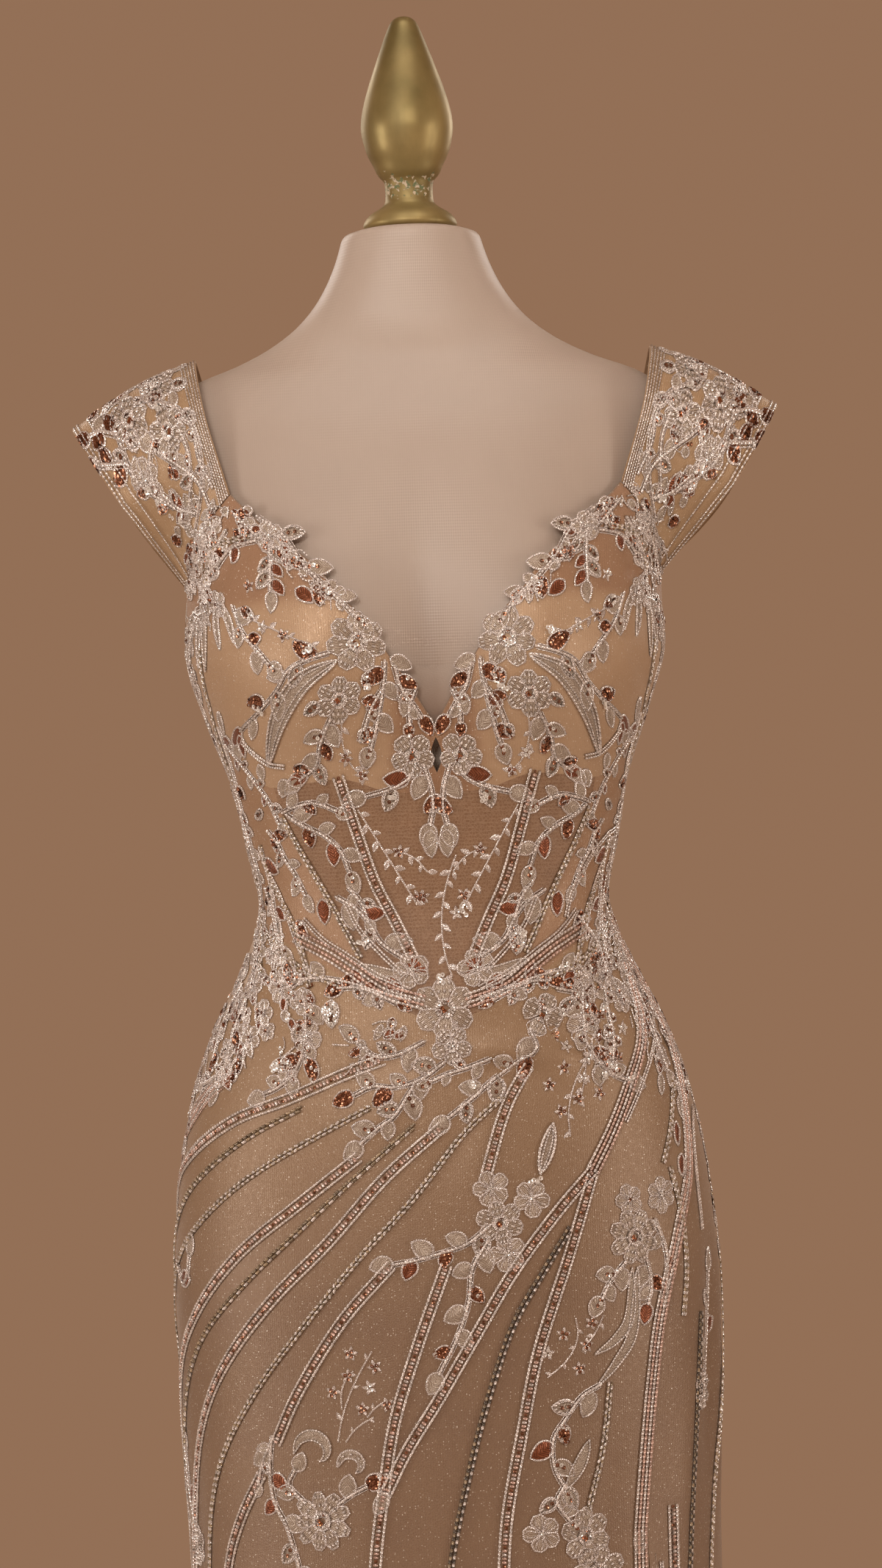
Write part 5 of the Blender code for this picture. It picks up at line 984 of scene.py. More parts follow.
def sheer_mesh(colours):
    """Knitted power mesh over the form: darker where nothing lines it, with fine level crinkles."""
    material, shader = new_finish("sheer_mesh", colours.sheer, 0.55, Sheen_Weight=0.15, Sheen_Roughness=0.4)
    place = chart(material)
    # Level crinkles 2.4 mm apart.
    level = bands(material, place, 2.4, bands_direction="Y")
    shaken = add_node(material, "TexNoise", {"Vector": place, "Scale": 0.09, "Detail": 3.0}).outputs["Fac"]
    net = add_node(material, "TexVoronoi", {"Vector": place, "Scale": 0.55}, feature="DISTANCE_TO_EDGE")
    thread = ramp(material, net.outputs["Distance"], 0.02, 0.2, 1.0, 0.0)
    ground = blended(material, ramp(material, shaken, 0.3, 0.7, 0.0, 0.35), colours.sheer,
                     darker(colours.sheer, 0.7))
    ground = blended(material, ramp(material, level, 0.4, 1.0, 0.0, 0.08), ground, colours.net)
    ground = blended(material, ramp(material, thread, 0.0, 1.0, 0.0, 0.16), ground, colours.net)
    link(material, ground, shader.inputs["Base Color"])
    raised(material, shader, add_node(material, "Math", {0: level, 1: thread}, operation="ADD").outputs[0],
           0.07)
    return material


def insert_mesh(colours):
    """One layer of sheer stretch net in the plunge: the form shows through a little darker, and painted shade
    deepens it toward the apex.
    """
    material, shader = new_finish("insert_mesh", colours.insert, 0.45, Sheen_Weight=0.3, Sheen_Roughness=0.35)
    place = chart(material)
    net = add_node(material, "TexVoronoi", {"Vector": place, "Scale": 0.6}, feature="DISTANCE_TO_EDGE")
    thread = ramp(material, net.outputs["Distance"], 0.02, 0.2, 1.0, 0.0)
    ground = blended(material, ramp(material, thread, 0, 1, 0.0, 0.2), colours.insert,
                     darker(colours.insert, 0.8))
    # From the form's colour at the top to the darker plunge colour toward the apex: partly the net over the
    # form, partly painted shade of the cleft between the cups.
    height = add_node(material, "SeparateXYZ", {0: place}).outputs[1]
    near_top = ramp(material, height, INSERT_TOP - 52, INSERT_TOP - 3)
    link(material, blended(material, near_top, ground, darker(colours.form, 0.95)),
         shader.inputs["Base Color"])
    raised(material, shader, thread, 0.04)
    return material


def stitched(name, colour, shade, period, metallic, roughness):
    """Rows of laid stitches: bright along each thread, with painted shade in the grooves between."""
    material, shader = new_finish(name, colour, roughness, metallic, Sheen_Weight=0.2, Sheen_Roughness=0.3)
    rows = bands(material, chart(material), period, uneven=2.6, bands_direction="X")
    odd = add_node(material, "NewGeometry").outputs["Random Per Island"]
    ground = blended(material, ramp(material, rows, 0.05, 0.8, 0.9, 0.0), colour, shade)
    ground = blended(material, ramp(material, odd, 0, 1, 0.0, 0.25), ground, shade)
    link(material, ground, shader.inputs["Base Color"])
    raised(material, shader, rows, 0.22)
    return material


def satin_thread(colours):
    """Rayon satin stitch, silver-beige: soft gloss along the thread. Stitches of 0.4 mm drawn at 1 mm."""
    return stitched("satin_thread", colours.thread, colours.gap, 1.0, 0.3, 0.32)


def metal_cord(colours):
    """Lurex cord twisted round a core: small bright slants of silver with a rose tint, painted shade between.
    Turns of 1.3 mm.
    """
    return stitched("metal_cord", colours.cord, darker(colours.cord, 0.5), 1.3, 0.6, 0.22)


def copper_foil(colours):
    """Copper lamé laid in slanting rows: warm metallic ridges 1.6 mm apart, with painted shade between them.
    """
    return stitched("copper_foil", colours.copper, darker(colours.copper, 0.35), 1.6, 0.6, 0.3)


def glass(name, colour, roughness, spread, metallic=0.5):
    """Silver-lined glass: the lining mirrors through the glass, so each bead is a small tinted mirror."""
    material, shader = new_finish(name, colour, roughness, metallic, Coat_Weight=1.0, Coat_Roughness=0.05)
    odd = add_node(material, "NewGeometry").outputs["Random Per Island"]
    ground = blended(material, ramp(material, odd, 0, 1), darker(colour, 1 - spread), colour)
    link(material, ground, shader.inputs["Base Color"])
    return material


def sequin_film(name, colour, roughness=0.22, spread=0.45, metallic=0.95):
    """Metallised film, punched and cupped: a bright rim, and a mirror that turns from one to the next."""
    material, shader = new_finish(name, colour, roughness, metallic)
    odd = add_node(material, "NewGeometry").outputs["Random Per Island"]
    ground = blended(material, ramp(material, odd, 0, 1), darker(colour, 1 - spread), colour)
    link(material, ground, shader.inputs["Base Color"])
    return material


def satin_knit(colours):
    """Stretch satin knit over padding: a soft broad gloss, fine upright wales 1.4 mm apart."""
    material, shader = new_finish("satin_knit", colours.form, 0.40, Sheen_Weight=0.05, Sheen_Roughness=0.35)
    place = chart(material)
    wales = bands(material, place, 1.4, bands_direction="X")
    rows = bands(material, place, 1.9, bands_direction="Y")
    patches = add_node(material, "TexNoise", {"Vector": place, "Scale": 0.02, "Detail": 4.0}).outputs["Fac"]
    ground = blended(material, ramp(material, patches, 0.3, 0.7, 0.0, 0.25), colours.form,
                     darker(colours.form, 0.8))
    ground = blended(material, ramp(material, wales, 0, 1, 0.0, 0.10), ground, darker(colours.form, 0.7))
    link(material, ground, shader.inputs["Base Color"])
    raised(material, shader, add_node(material, "Math", {0: wales, 1: rows}, operation="ADD").outputs[0],
           0.05)
    return material


def aged_gilt(colours):
    """Gold paint on turned wood, brushed round and worn: dull olive gold, chipped at the collar."""
    material, shader = new_finish("aged_gilt", colours.gilt, 0.45, 0.6)
    place = add_node(material, "TexCoord").outputs["Object"]
    tall = add_node(material, "Mapping", {"Vector": place, "Scale": (60, 60, 9)}).outputs[0]
    brushed = add_node(material, "TexNoise", {"Vector": tall, "Scale": 1.6, "Detail": 5.0}).outputs["Fac"]
    cloud = add_node(material, "TexNoise", {"Vector": place, "Scale": 22.0, "Detail": 4.0}).outputs["Fac"]
    ground = blended(material, ramp(material, cloud, 0.35, 0.7), colours.gilt, colours.gilt_dark)
    ground = blended(material, ramp(material, brushed, 0.45, 0.7, 0.0, 0.35), ground,
                     darker(colours.gilt, 0.5))
    height = add_node(material, "SeparateXYZ", {0: place}).outputs[2]
    collar = FORM_TOP + 0.024
    low = ramp(material, height, collar - 0.012, collar - 0.002)
    high = ramp(material, height, collar + 0.006, collar + 0.022, 1.0, 0.0)
    band = add_node(material, "Math", {0: low, 1: high}, operation="MULTIPLY").outputs[0]
    flakes = add_node(material, "TexNoise", {"Vector": place, "Scale": 260.0, "Detail": 3.0}).outputs["Fac"]
    worn = ramp(material, add_node(material, "Math", {0: flakes, 1: ramp(material, band, 0, 1, -0.3, 0.06)},
                                   operation="ADD").outputs[0], 0.56, 0.60)
    specks = add_node(material, "TexNoise", {"Vector": place, "Scale": 420.0, "Detail": 2.0}).outputs["Fac"]
    chip = blended(material, ramp(material, specks, 0.45, 0.55), colours.chip, colours.patina)
    link(material, blended(material, worn, ground, chip), shader.inputs["Base Color"])
    link(material, ramp(material, worn, 0, 1, 0.6, 0.0), shader.inputs["Metallic"])
    rough = add_node(material, "Math", {0: ramp(material, brushed, 0.3, 0.7, 0.38, 0.54),
                                        1: ramp(material, worn, 0, 1, 0.0, 0.3)}, operation="ADD").outputs[0]
    link(material, rough, shader.inputs["Roughness"])
    raised(material, shader, add_node(material, "Math", {0: brushed, 1: worn},
                                      operation="SUBTRACT").outputs[0], 0.12)
    return material


def turned_steel(colours):
    """Drawn steel tube, satin: fine lines round it."""
    material, shader = new_finish("pole_steel", colours.steel, 0.32, 1.0)
    place = add_node(material, "TexCoord").outputs["Object"]
    long = add_node(material, "Mapping", {"Vector": place, "Scale": (20, 20, 900)}).outputs[0]
    lines = add_node(material, "TexNoise", {"Vector": long, "Scale": 1.0, "Detail": 3.0}).outputs["Fac"]
    link(material, ramp(material, lines, 0.3, 0.7, 0.26, 0.42), shader.inputs["Roughness"])
    raised(material, shader, lines, 0.03)
    return material


def base_enamel(colours):
    """Cast iron under satin enamel: faint orange peel, dulled by dust."""
    material, shader = new_finish("base_enamel", colours.enamel, 0.4, 0.0, Coat_Weight=0.3,
                                  Coat_Roughness=0.25)
    place = add_node(material, "TexCoord").outputs["Object"]
    peel = add_node(material, "TexNoise", {"Vector": place, "Scale": 300.0, "Detail": 2.0}).outputs["Fac"]
    dust = add_node(material, "TexNoise", {"Vector": place, "Scale": 14.0, "Detail": 5.0}).outputs["Fac"]
    dusty = ramp(material, dust, 0.4, 0.75, 0.0, 0.35)
    link(material, blended(material, dusty, colours.enamel, (0.16, 0.14, 0.12)), shader.inputs["Base Color"])
    link(material, ramp(material, dust, 0.3, 0.7, 0.34, 0.55), shader.inputs["Roughness"])
    raised(material, shader, peel, 0.06)
    return material


def zip_enamel(colours):
    """Die-cast zinc in nude enamel, worn through in small patches: small soft highlights."""
    material, shader = new_finish("zip_enamel", colours.zip_metal, 0.34, 0.35, Coat_Weight=0.4,
                                  Coat_Roughness=0.15)
    place = add_node(material, "TexCoord").outputs["Object"]
    wear = add_node(material, "TexNoise", {"Vector": place, "Scale": 900.0, "Detail": 3.0}).outputs["Fac"]
    ground = blended(material, ramp(material, wear, 0.52, 0.6), colours.zip_metal, colours.steel)
    link(material, ground, shader.inputs["Base Color"])
    raised(material, shader, wear, 0.02)
    return material


# ---------------------------------------------------------------- lace shapes
THREAD, CORD, COPPER = range(3)
SILVER, ROSE, BRONZE, DARK = range(4)
BRIGHT_SEQUIN, BROWN_SEQUIN, COPPER_SEQUIN = range(3)
SHAKE = np.random.default_rng(7)


def barrel(count, rings):
    """A bead's points and triangles: rings of (place along, radius), open where it lies on the cloth."""
    points = [(x, r * math.cos(a), r * math.sin(a)) for x, r in rings
              for a in np.radians(np.linspace(-12, 192, count))]
    faces = [f[::-1] for f in grid_faces(len(rings), count).tolist()]
    last = len(points) - count
    faces += [(0, k + 1, k) for k in range(1, count - 1)]
    faces += [(last, last + k, last + k + 1) for k in range(1, count - 1)]
    return np.array(points), np.array(faces)


SEED = barrel(4, ((-0.5, 0.36), (0, 0.5), (0.5, 0.36)))
TUBE = barrel(4, ((-0.5, 0.46), (0.5, 0.46)))


def ring_disc(sides):
    """A cupped disc with a hole, of radius 1."""
    angle = np.arange(sides) * 2 * math.pi / sides
    rows = [(0.30, 0.02), (1.0, 0.22)]
    points = [(r * math.cos(a), r * math.sin(a), up) for r, up in rows for a in angle]
    return np.array(points), grid_faces(2, sides, closed=True)[:, ::-1]


DISC, ROUND_DISC = ring_disc(6), ring_disc(8)


class Lace:
    """The embroidery, the beads and the sequins of one region."""

    def __init__(self):
        self.thread, self.beads, self.sequins = Lot(), Lot(), Lot()

    def strew(self, lot, shape, centres, ways, size, rise, material, tilt=0.0, tip=0.0):
        """Copies of a shape at these places, each along its way and a little out of true."""
        centres, ways = np.atleast_2d(centres).astype(float), np.atleast_2d(ways).astype(float)
        count = len(centres)
        ways = np.broadcast_to(ways, (count, 2))
        lean = np.radians(tilt) * SHAKE.uniform(-1, 1, count)
        c, s = np.cos(lean), np.sin(lean)
        ways = np.stack([c * ways[:, 0] - s * ways[:, 1], s * ways[:, 0] + c * ways[:, 1]], axis=1)
        ways = ways / np.linalg.norm(ways, axis=1, keepdims=True)
        side = to_left(ways)
        points, faces = shape
        local = points[None] * np.asarray(size)
        roll = np.radians(tip) * SHAKE.uniform(-1, 1, (2, count, 1))
        up = local[..., 2] + local[..., 0] * np.tan(roll[0]) + local[..., 1] * np.tan(roll[1]) + rise
        flat = (centres[:, None] + ways[:, None] * local[..., :1] + side[:, None] * local[..., 1:2])
        made = np.concatenate([flat, up[..., None]], axis=2).reshape(-1, 3)
        every = (faces[None] + (np.arange(count) * len(points))[:, None, None]).reshape(-1, 3)
        lot.add(made, every, material)

    def seeds(self, centres, ways, material, scale=1.0, rise=0.0, tilt=5):
        size = np.array((BEAD_LENGTH, BEAD_WIDTH, BEAD_WIDTH)) * scale
        self.strew(self.beads, SEED, centres, ways, size, rise + 0.45 * size[2], material, tilt, 4)

    def tubes(self, centres, ways, material, length=BUGLE_LENGTH, width=BEAD_WIDTH, rise=0.0, tilt=4):
        self.strew(self.beads, TUBE, centres, ways, (length, width, width), rise + 0.45 * width, material,
                   tilt, 5)

    def discs(self, centres, material, radius=SEQUIN_RADIUS, rise=0.5, tip=14):
        way = (math.cos(SHAKE.uniform(0, 6)), math.sin(SHAKE.uniform(0, 6)))
        shape = ROUND_DISC if material == BRIGHT_SEQUIN else DISC
        self.strew(self.sequins, shape, centres, way, (radius, radius, radius), rise, material, 90, tip)

    def cord(self, path, radius=CORD_RADIUS, closed=False, rise=0.2, material=CORD, around=(-25, 90, 205)):
        """A round cord along a path in the chart."""
        path = np.asarray(path, float)
        if closed:
            wrapped = np.vstack([path[-1:], path, path[:1]])
            along = tangents(wrapped)[1:-1]
        else:
            along = tangents(path)
        side = to_left(along)
        angle = np.radians(around)
        flat = path[:, None] + side[:, None] * (radius * np.cos(angle))[None, :, None]
        up = np.broadcast_to(rise + 0.6 * radius + radius * np.sin(angle), (len(path), len(angle)))
        points = np.concatenate([flat, up[..., None]], axis=2)
        length = np.concatenate([[0], np.cumsum(np.linalg.norm(np.diff(path, axis=0), axis=1))])
        uv = np.stack([np.broadcast_to(length[:, None], up.shape) + angle[None] * 0.3,
                       np.broadcast_to(angle[None], up.shape)], axis=2)
        if closed:
            points, uv = np.concatenate([points, points[:1]]), np.concatenate([uv, uv[:1]])
        faces = grid_faces(len(points), len(angle))[:, ::-1]
        self.thread.add(points.reshape(-1, 3), faces, material, uv.reshape(-1, 2))

    def blade(self, path, half, material, height=0.9, groove=0.35, radial=False, rise=0.1):
        """A filled leaf or petal along a path, with its half width at each point, and its outline."""
        path, half = np.asarray(path, float), np.asarray(half, float)
        side = to_left(tangents(path))
        across = np.array([-1, -0.55, 0, 0.55, 1.0])
        flat = path[:, None] + side[:, None] * (half[:, None] * across)[..., None]
        full = np.sqrt(np.clip(1 - across ** 2, 0, 1)) - groove * (across == 0)
        end = np.clip(half / max(half.max(), 1e-6), 0, 1) ** 0.5
        up = rise + height * end[:, None] * full[None]
        length = np.concatenate([[0], np.cumsum(np.linalg.norm(np.diff(path, axis=0), axis=1))])
        wide = half[:, None] * across
        lead = wide if radial else length[:, None] + 0.8 * np.abs(wide)
        uv = np.stack([np.broadcast_to(lead, up.shape), np.broadcast_to(length[:, None], up.shape)], axis=2)
        faces = grid_faces(len(path), 5)[:, ::-1]
        self.thread.add(np.concatenate([flat, up[..., None]], axis=2).reshape(-1, 3), faces, material,
                        uv.reshape(-1, 2))
        return np.vstack([path - side * half[:, None], (path + side * half[:, None])[::-1]])

    def rim(self, outline, radius=CORD_RADIUS):
        keep = np.linalg.norm(outline - np.roll(outline, 1, axis=0), axis=1) > 0.15
        self.cord(outline[keep], radius, closed=True)

    def leaf(self, base, way, size, width, letter):
        """One leaf of a stem, filled as its letter says."""
        size, width = size * LEAF_GROWTH, width * LEAF_FULLNESS
        count = 6 if size < 11 else 8
        t = np.linspace(0, 1, count)
        path = np.asarray(base) + np.outer(t * size, way)
        bend = SHAKE.uniform(-0.08, 0.08) * size
        path = path + to_left(np.asarray(way)) * (bend * np.sin(math.pi * t))[:, None]
        half = width / 2 * np.sin(math.pi * t ** 0.8) ** 0.7
        half[0], half[-1] = 0.15, 0.05
        material = COPPER if letter in "ckm" else THREAD
        height = 0.9 if letter in "scv" else 0.3
        outline = self.blade(path, half, material, height)
        self.rim(outline)
        side = to_left(np.asarray(way))
        if letter in "kmw":
            spots = np.array([path[i] + side * a * half[i] for i in range(1, count - 1) for a in (-0.58, 0.0,
                                                                                                  0.58)
                              if half[i] > 1.3 or a == 0])
            share = {"k": 0.06, "m": 0.35, "w": 0.8}[letter]
            lit = SHAKE.uniform(0, 1, len(spots)) < share
            for which, film in ((lit, BRIGHT_SEQUIN), (~lit, BROWN_SEQUIN)):
                if which.any():
                    self.discs(spots[which], film, 1.35, 0.8, 26)
        elif letter == "o":
            inner = [path[i] + side * a * (half[i] - 1.1) for i in range(1, count - 1) for a in (-1, 1)
                     if half[i] > 1.6]
            if inner:
                self.seeds(inner, way, SILVER, 0.9, 0.5)
            self.discs([path[2], path[4]], BROWN_SEQUIN, 1.25, 0.8)
        elif letter == "v":
            self.discs([path[1], path[3]], BROWN_SEQUIN, 1.3, 1.0)
            self.discs([path[2] + side * 0.8], BRIGHT_SEQUIN, 1.3, 1.3)

    def stem(self, points, length, width, side, letters, beaded=True):
        """A beaded stem with its leaves."""
        path = spline(points, 1.0)
        along = tangents(path)
        for k, letter in enumerate(letters):
            last = k == len(letters) - 1
            i = len(path) - 1 if last else int((k + 0.6) / (len(letters) - 0.2) * (len(path) - 1))
            way = turned(along[i], 0.0 if last else LEAF_ANGLE * side * (-1) ** k)
            size = length * (1.0 if last else 1.04 - 0.12 * ((k * 7) % 3))
            self.leaf(path[i], way, size, width * size / length, letter)
        if beaded:
            self.line("stem", points)

    def flower(self, s, z, radius, petals, turn):
        """Petals of satin stitch in a cord outline, round a knot of sequins or beads."""
        middle = np.array((s, z), float)
        for k in range(petals):
            angle = math.radians(turn) + 2 * math.pi * (k + 0.5) / petals + SHAKE.uniform(-0.06, 0.06)
            way = np.array((math.cos(angle), math.sin(angle)))
            reach = radius * SHAKE.uniform(0.93, 1.05)
            count = 5 if radius < 9 else 7
            t = np.linspace(0, 1, count)
            path = middle + np.outer(reach * (0.14 + 0.86 * t), way)
            wide = 0.78 * reach * math.sin(math.pi / petals)
            half = wide * np.sin(math.pi * np.clip(t ** 1.5, 0, 1)) ** 0.62 * SHAKE.uniform(0.86, 1.0, count)
            half[0], half[-1] = 0.2, wide * 0.42
            self.rim(self.blade(path, half, THREAD, 0.8, 0.1, radial=True))
            side = to_left(way)
            for ray in (-0.6, 0.0, 0.6) if radius >= 12 else (-0.45, 0.45) if radius >= 9 else (0.0,):
                shake = SHAKE.uniform(-0.25, 0.25, count - 2)
                vein = path[1:-1] + side * (ray * half[1:-1] + shake)[:, None]
                if radius >= 12:
                    self.seeds(vein[::2], way, SILVER, 0.95, 0.75)
                else:
                    self.cord(vein, 0.36, rise=0.75)
        around = np.arange(5) * 2 * math.pi / 5 + math.radians(turn)
        star = np.stack([np.cos(around), np.sin(around)], axis=1)
        if radius >= 13:
            self.discs(middle + star[::2] * 0.24 * radius, BRIGHT_SEQUIN, 1.5, 1.2)
            self.discs(middle + star[1::2] * 0.26 * radius, BROWN_SEQUIN, 1.4, 1.1)
            self.discs(middle - star[:2] * 0.1 * radius, COPPER_SEQUIN, 1.3, 1.0)
        else:
            self.seeds(middle + star * 1.9, star, SILVER, 0.85, 0.9)
            self.discs([middle], BRIGHT_SEQUIN if radius > 9 else BROWN_SEQUIN, 1.1, 1.5)

    def lone_leaf(self, s, z, way, length, width, letter):
        """One leaf sewn on by itself."""
        angle = math.radians(way)
        self.leaf((s, z), np.array((math.cos(angle), math.sin(angle))), length, width, letter)

    def feather(self, points, width):
        """A long curved leaf, hatched with thread and edged with seed beads."""
        path = spline(points, 2.6)
        t = np.linspace(0, 1, len(path))
        half = width / 2 * (0.10 + 0.90 * np.sin(math.pi * t) ** 0.7)
        outline = self.blade(path, half, THREAD, 0.6, 0.3)
        side = to_left(tangents(path))
        if width < 7:
            self.rim(outline)
            self.seeds(path[1::2], tangents(path)[1::2], SILVER, 0.8, 0.8)
            return
        for way in (-1, 1):
            self.line("bold" if width > 8 else "edge", path + side * (way * (half - 0.3))[:, None])
            if width > 8:
                self.line("edge", path + side * (way * (half * 0.5 - 0.3))[:, None])

    def star(self, s, z):
        """A small blossom: five stitches round a ring of sequins."""
        middle = np.array((s, z), float)
        turn = SHAKE.uniform(0, 6)
        for k in range(5):
            angle = turn + k * 2 * math.pi / 5
            way = np.array((math.cos(angle), math.sin(angle)))
            path = middle + np.outer(np.linspace(0.8, 4.8, 4), way)
            self.blade(path, (0.3, 1.1, 1.0, 0.1), CORD, 0.5, 0.0)
        spots = [middle + 1.7 * np.array((math.cos(a), math.sin(a))) for a in (turn, turn + 2.1, turn + 4.2)]
        self.discs(spots, BROWN_SEQUIN if SHAKE.uniform() < 0.7 else BRIGHT_SEQUIN, 1.2, 0.8)

    def spark(self, s, z):
        """Five bright sequins sewn close together, one over the next."""
        places = np.array((s, z), float) + np.cumsum(SHAKE.uniform(-2.6, 2.6, (5, 2)), axis=0)
        self.discs(places, BRIGHT_SEQUIN, 1.5, 1.3, 10)

    def vine(self, points, length, leaves):
        """A stitched tendril with small thread leaves."""
        path = spline(points, 1.5)
        self.cord(path, 0.6, rise=0.0)
        along = tangents(path)
        for k in range(leaves):
            i = min(int((k + 0.7) / leaves * len(path)), len(path) - 1)
            way = turned(along[i], math.radians(50) * (-1) ** k)
            size = length * SHAKE.uniform(0.8, 1.15)
            blade = path[i] + np.outer(np.linspace(0, size, 5), way)
            self.blade(blade, (0.2, size * 0.22, size * 0.25, size * 0.16, 0.05), CORD, 0.5, 0.15)

    def thicket(self, points, width, count):
        """Small leaves, bead rows and knots of thread, close together in a band along a path."""
        path = spline(points, 2.0)
        along = tangents(path)
        side = to_left(along)
        for i, off, kind, lean in zip(SHAKE.integers(0, len(path), count),
                                      SHAKE.uniform(-0.5, 0.5, count) * width,
                                      SHAKE.uniform(0, 1, count), SHAKE.uniform(-0.8, 0.8, count)):
            spot, way = path[i] + side[i] * off, turned(along[i], lean)
            if kind < 0.42:
                self.leaf(spot, way, SHAKE.uniform(5, 9), SHAKE.uniform(3, 4.6), "ssocskv"[int(kind * 16.6)])
            elif kind < 0.72:
                bend = to_left(way) * SHAKE.uniform(-2.5, 2.5)
                self.line("edge", np.array([spot, spot + way * 4.5 + bend, spot + way * 9]))
            elif kind < 0.9:
                bend = to_left(way) * SHAKE.uniform(-3, 3)
                self.cord(spline(np.array([spot, spot + way * 4 + bend, spot + way * 8]), 1.6), 0.42,
                          rise=0.4)
            else:
                self.discs([spot, spot + way * 2.6], BRIGHT_SEQUIN if kind > 0.96 else BROWN_SEQUIN, 1.2, 0.9)

    def line(self, kind, points):
        """A beaded line of a kind along a path."""
        def run(shift, pitch):
            path = spline(points, 2.0)
            side = to_left(tangents(path))
            path = spline(path + side * shift, pitch) if shift else spline(points, pitch)
            return path, tangents(path)

        if kind == "stem":
            path, ways = run(0, 2.6)
            self.seeds(path, ways, SILVER, 1.28, 0.1)
            for shift in (-1.6, 1.6):
                self.cord(run(shift, 3.0)[0], 0.46, rise=0.1)
        elif kind == "pair":
            for shift in (-1.0, 1.0):
                path, ways = run(shift, 2.0)
                self.seeds(path, ways, SILVER, 0.95, 0.1)
        elif kind == "rope":
            for shift, material in ((-3.0, SILVER), (-1.0, ROSE), (1.0, SILVER), (3.0, ROSE)):
                path, ways = run(shift, 1.9)
                self.seeds(path, ways, material, 0.8)
        elif kind in ("edge", "bold"):
            path, ways = run(0, 1.9 if kind == "edge" else 2.5)
            self.seeds(path, ways, SILVER, 0.82 if kind == "edge" else 1.2, 0.2)
        elif kind == "rose":
            for shift in (-3.1, 3.1):
                path, ways = run(shift, 2.5)
                self.seeds(path, ways, SILVER, 1.18)
            path, ways = run(0, 2.3)
            self.discs(path[::5], BROWN_SEQUIN, 1.05, 0.4, 25)
            for lead, material in ((1, ROSE), (2, SILVER), (3, ROSE), (4, ROSE)):
                self.seeds(path[lead::5], to_left(ways[lead::5]), material, 1.3)
        elif kind == "bugle":
            for shift, lead in ((-0.95, 0), (0.95, 1)):
                path, ways = run(shift, 1.95)
                path, ways = path[lead::2], ways[lead::2]
                self.tubes(path[::2], ways[::2], BRONZE, width=1.9)
                self.tubes(path[1::2], ways[1::2], SILVER if lead else BRONZE, 3.4, 1.9)
        elif kind == "small":
            for shift, lead in ((-1.05, 0), (1.05, 1)):
                path, ways = run(shift, 2.15)
                self.seeds(path[lead::2], ways[lead::2], SILVER, 1.25, tilt=25)
                self.seeds(path[1 - lead::2], ways[1 - lead::2], BRONZE, 1.2, tilt=25)
        elif kind == "dark":
            for shift, lead in ((-1.15, 0), (1.15, 1)):
                path, ways = run(shift, 2.35)
                self.tubes(path[lead::2], ways[lead::2], DARK, 2.4, 2.2)
                self.tubes(path[1 - lead::2], ways[1 - lead::2], SILVER if lead else BRONZE, 2.2, 1.9)
        elif kind == "bright":
            for shift, material in ((-3.9, SILVER), (-1.3, ROSE), (1.3, SILVER), (3.9, ROSE)):
                path, ways = run(shift, 2.8)
                self.seeds(path, ways, material, 1.25, 0.1, 9)

    def make(self, region, surface, thread, beads, sequins, flip=False):
        """The three objects of this region."""
        made = []
        for lot, name, slot, materials in ((self.thread, "embroidery", "silver_thread", thread),
                                           (self.beads, "beads", "glass_bead", beads),
                                           (self.sequins, "sequins", "sequin", sequins)):
            if lot.count:
                piece = lot.make(f"{name}_{region}", surface, materials, flip)
                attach(piece, BODY)
                made.append(piece)
        return made


# ---------------------------------------------------------------- outlines of the cloth
def level(line, start, stop):
    s = np.linspace(start, stop, max(2, int(abs(stop - start) / 6)))
    return np.stack([s, line(s)], axis=1)


def side_seam(low, high):
    z = np.linspace(low, high, max(2, int(abs(high - low) / 6)))
    return np.stack([half_girth(z) / 2, z], axis=1)


def centre_back(low, high):
    z = np.linspace(low, high, max(2, int(abs(high - low) / 6)))
    return np.stack([half_girth(z), z], axis=1)


def cup_outline():
    side_s = half_girth(underbust(180.0)) / 2
    t = np.linspace(0, 1, 9)
    hole = np.stack([KEYHOLE["half_width"] * np.sin(math.pi * t),
                     KEYHOLE["low"] + t * (KEYHOLE["high"] - KEYHOLE["low"])], axis=1)
    bottom = level(underbust, side_s, 0)
    return joined([(0, 1168)], hole, [(0, 1209)], spline(NECKLINE[::-1], 5), np.linspace(*STRAP_FRONT, 16),
                  spline(ARMHOLE[:3], 5), side_seam(UNDERARM, float(underbust(side_s))), bottom)


def back_outline():
    side = side_seam(float(waist(170.0)), UNDERARM)
    base = np.linspace(from_back([STRAP_BACK[1]], 1)[0], from_back([STRAP_BACK[0]], 1)[0], 16)
    neck = from_back(spline(BACK_NECK, 5), 1)
    bottom = level(waist, half_girth(1094), half_girth(waist(170.0)) / 2)
    return joined(side, spline(ARMHOLE[2:], 5), base, neck, centre_back(1190, 1094), bottom)


def midriff_outline(left, right):
    top = level(underbust, right[0][0], left[0][0])
    bottom = level(waist, left[-1][0], right[-1][0])
    return joined(top, left[1:-1], bottom, right[1:-1][::-1])


def slit_place(z):
    """The seam above the slit, and the slit line below it, as way round the body."""
    s, height = np.array(SLIT_SEAM[::-1], float).T
    share = s[0] / half_girth(height[0])
    return np.where(z > height[0], curve(height, s, np.maximum(z, height[0])), share * half_girth(z))


def slit_shift(z):
    below = np.clip((SLIT_SEAM[-1][1] - z) / (SLIT_SEAM[-1][1] - HEM_HEIGHT), 0, 1)
    return SLIT_HALF_WIDTH * below ** 1.2


def slit_edge(side, inset):
    """The line a little in from one edge of the slit."""
    return lambda z: slit_place(z) + side * (slit_shift(z) + inset)


def run_down(place, top):
    z = np.linspace(top, HEM_HEIGHT, 140)
    return np.stack([place(z), z], axis=1)


def to_fan(points):
    points = np.asarray(points, float)
    return np.stack([(points[:, 0] + CENTRE_FRONT) / half_girth(points[:, 1]) * FAN_WIDTH, points[:, 1]],
                    axis=1)


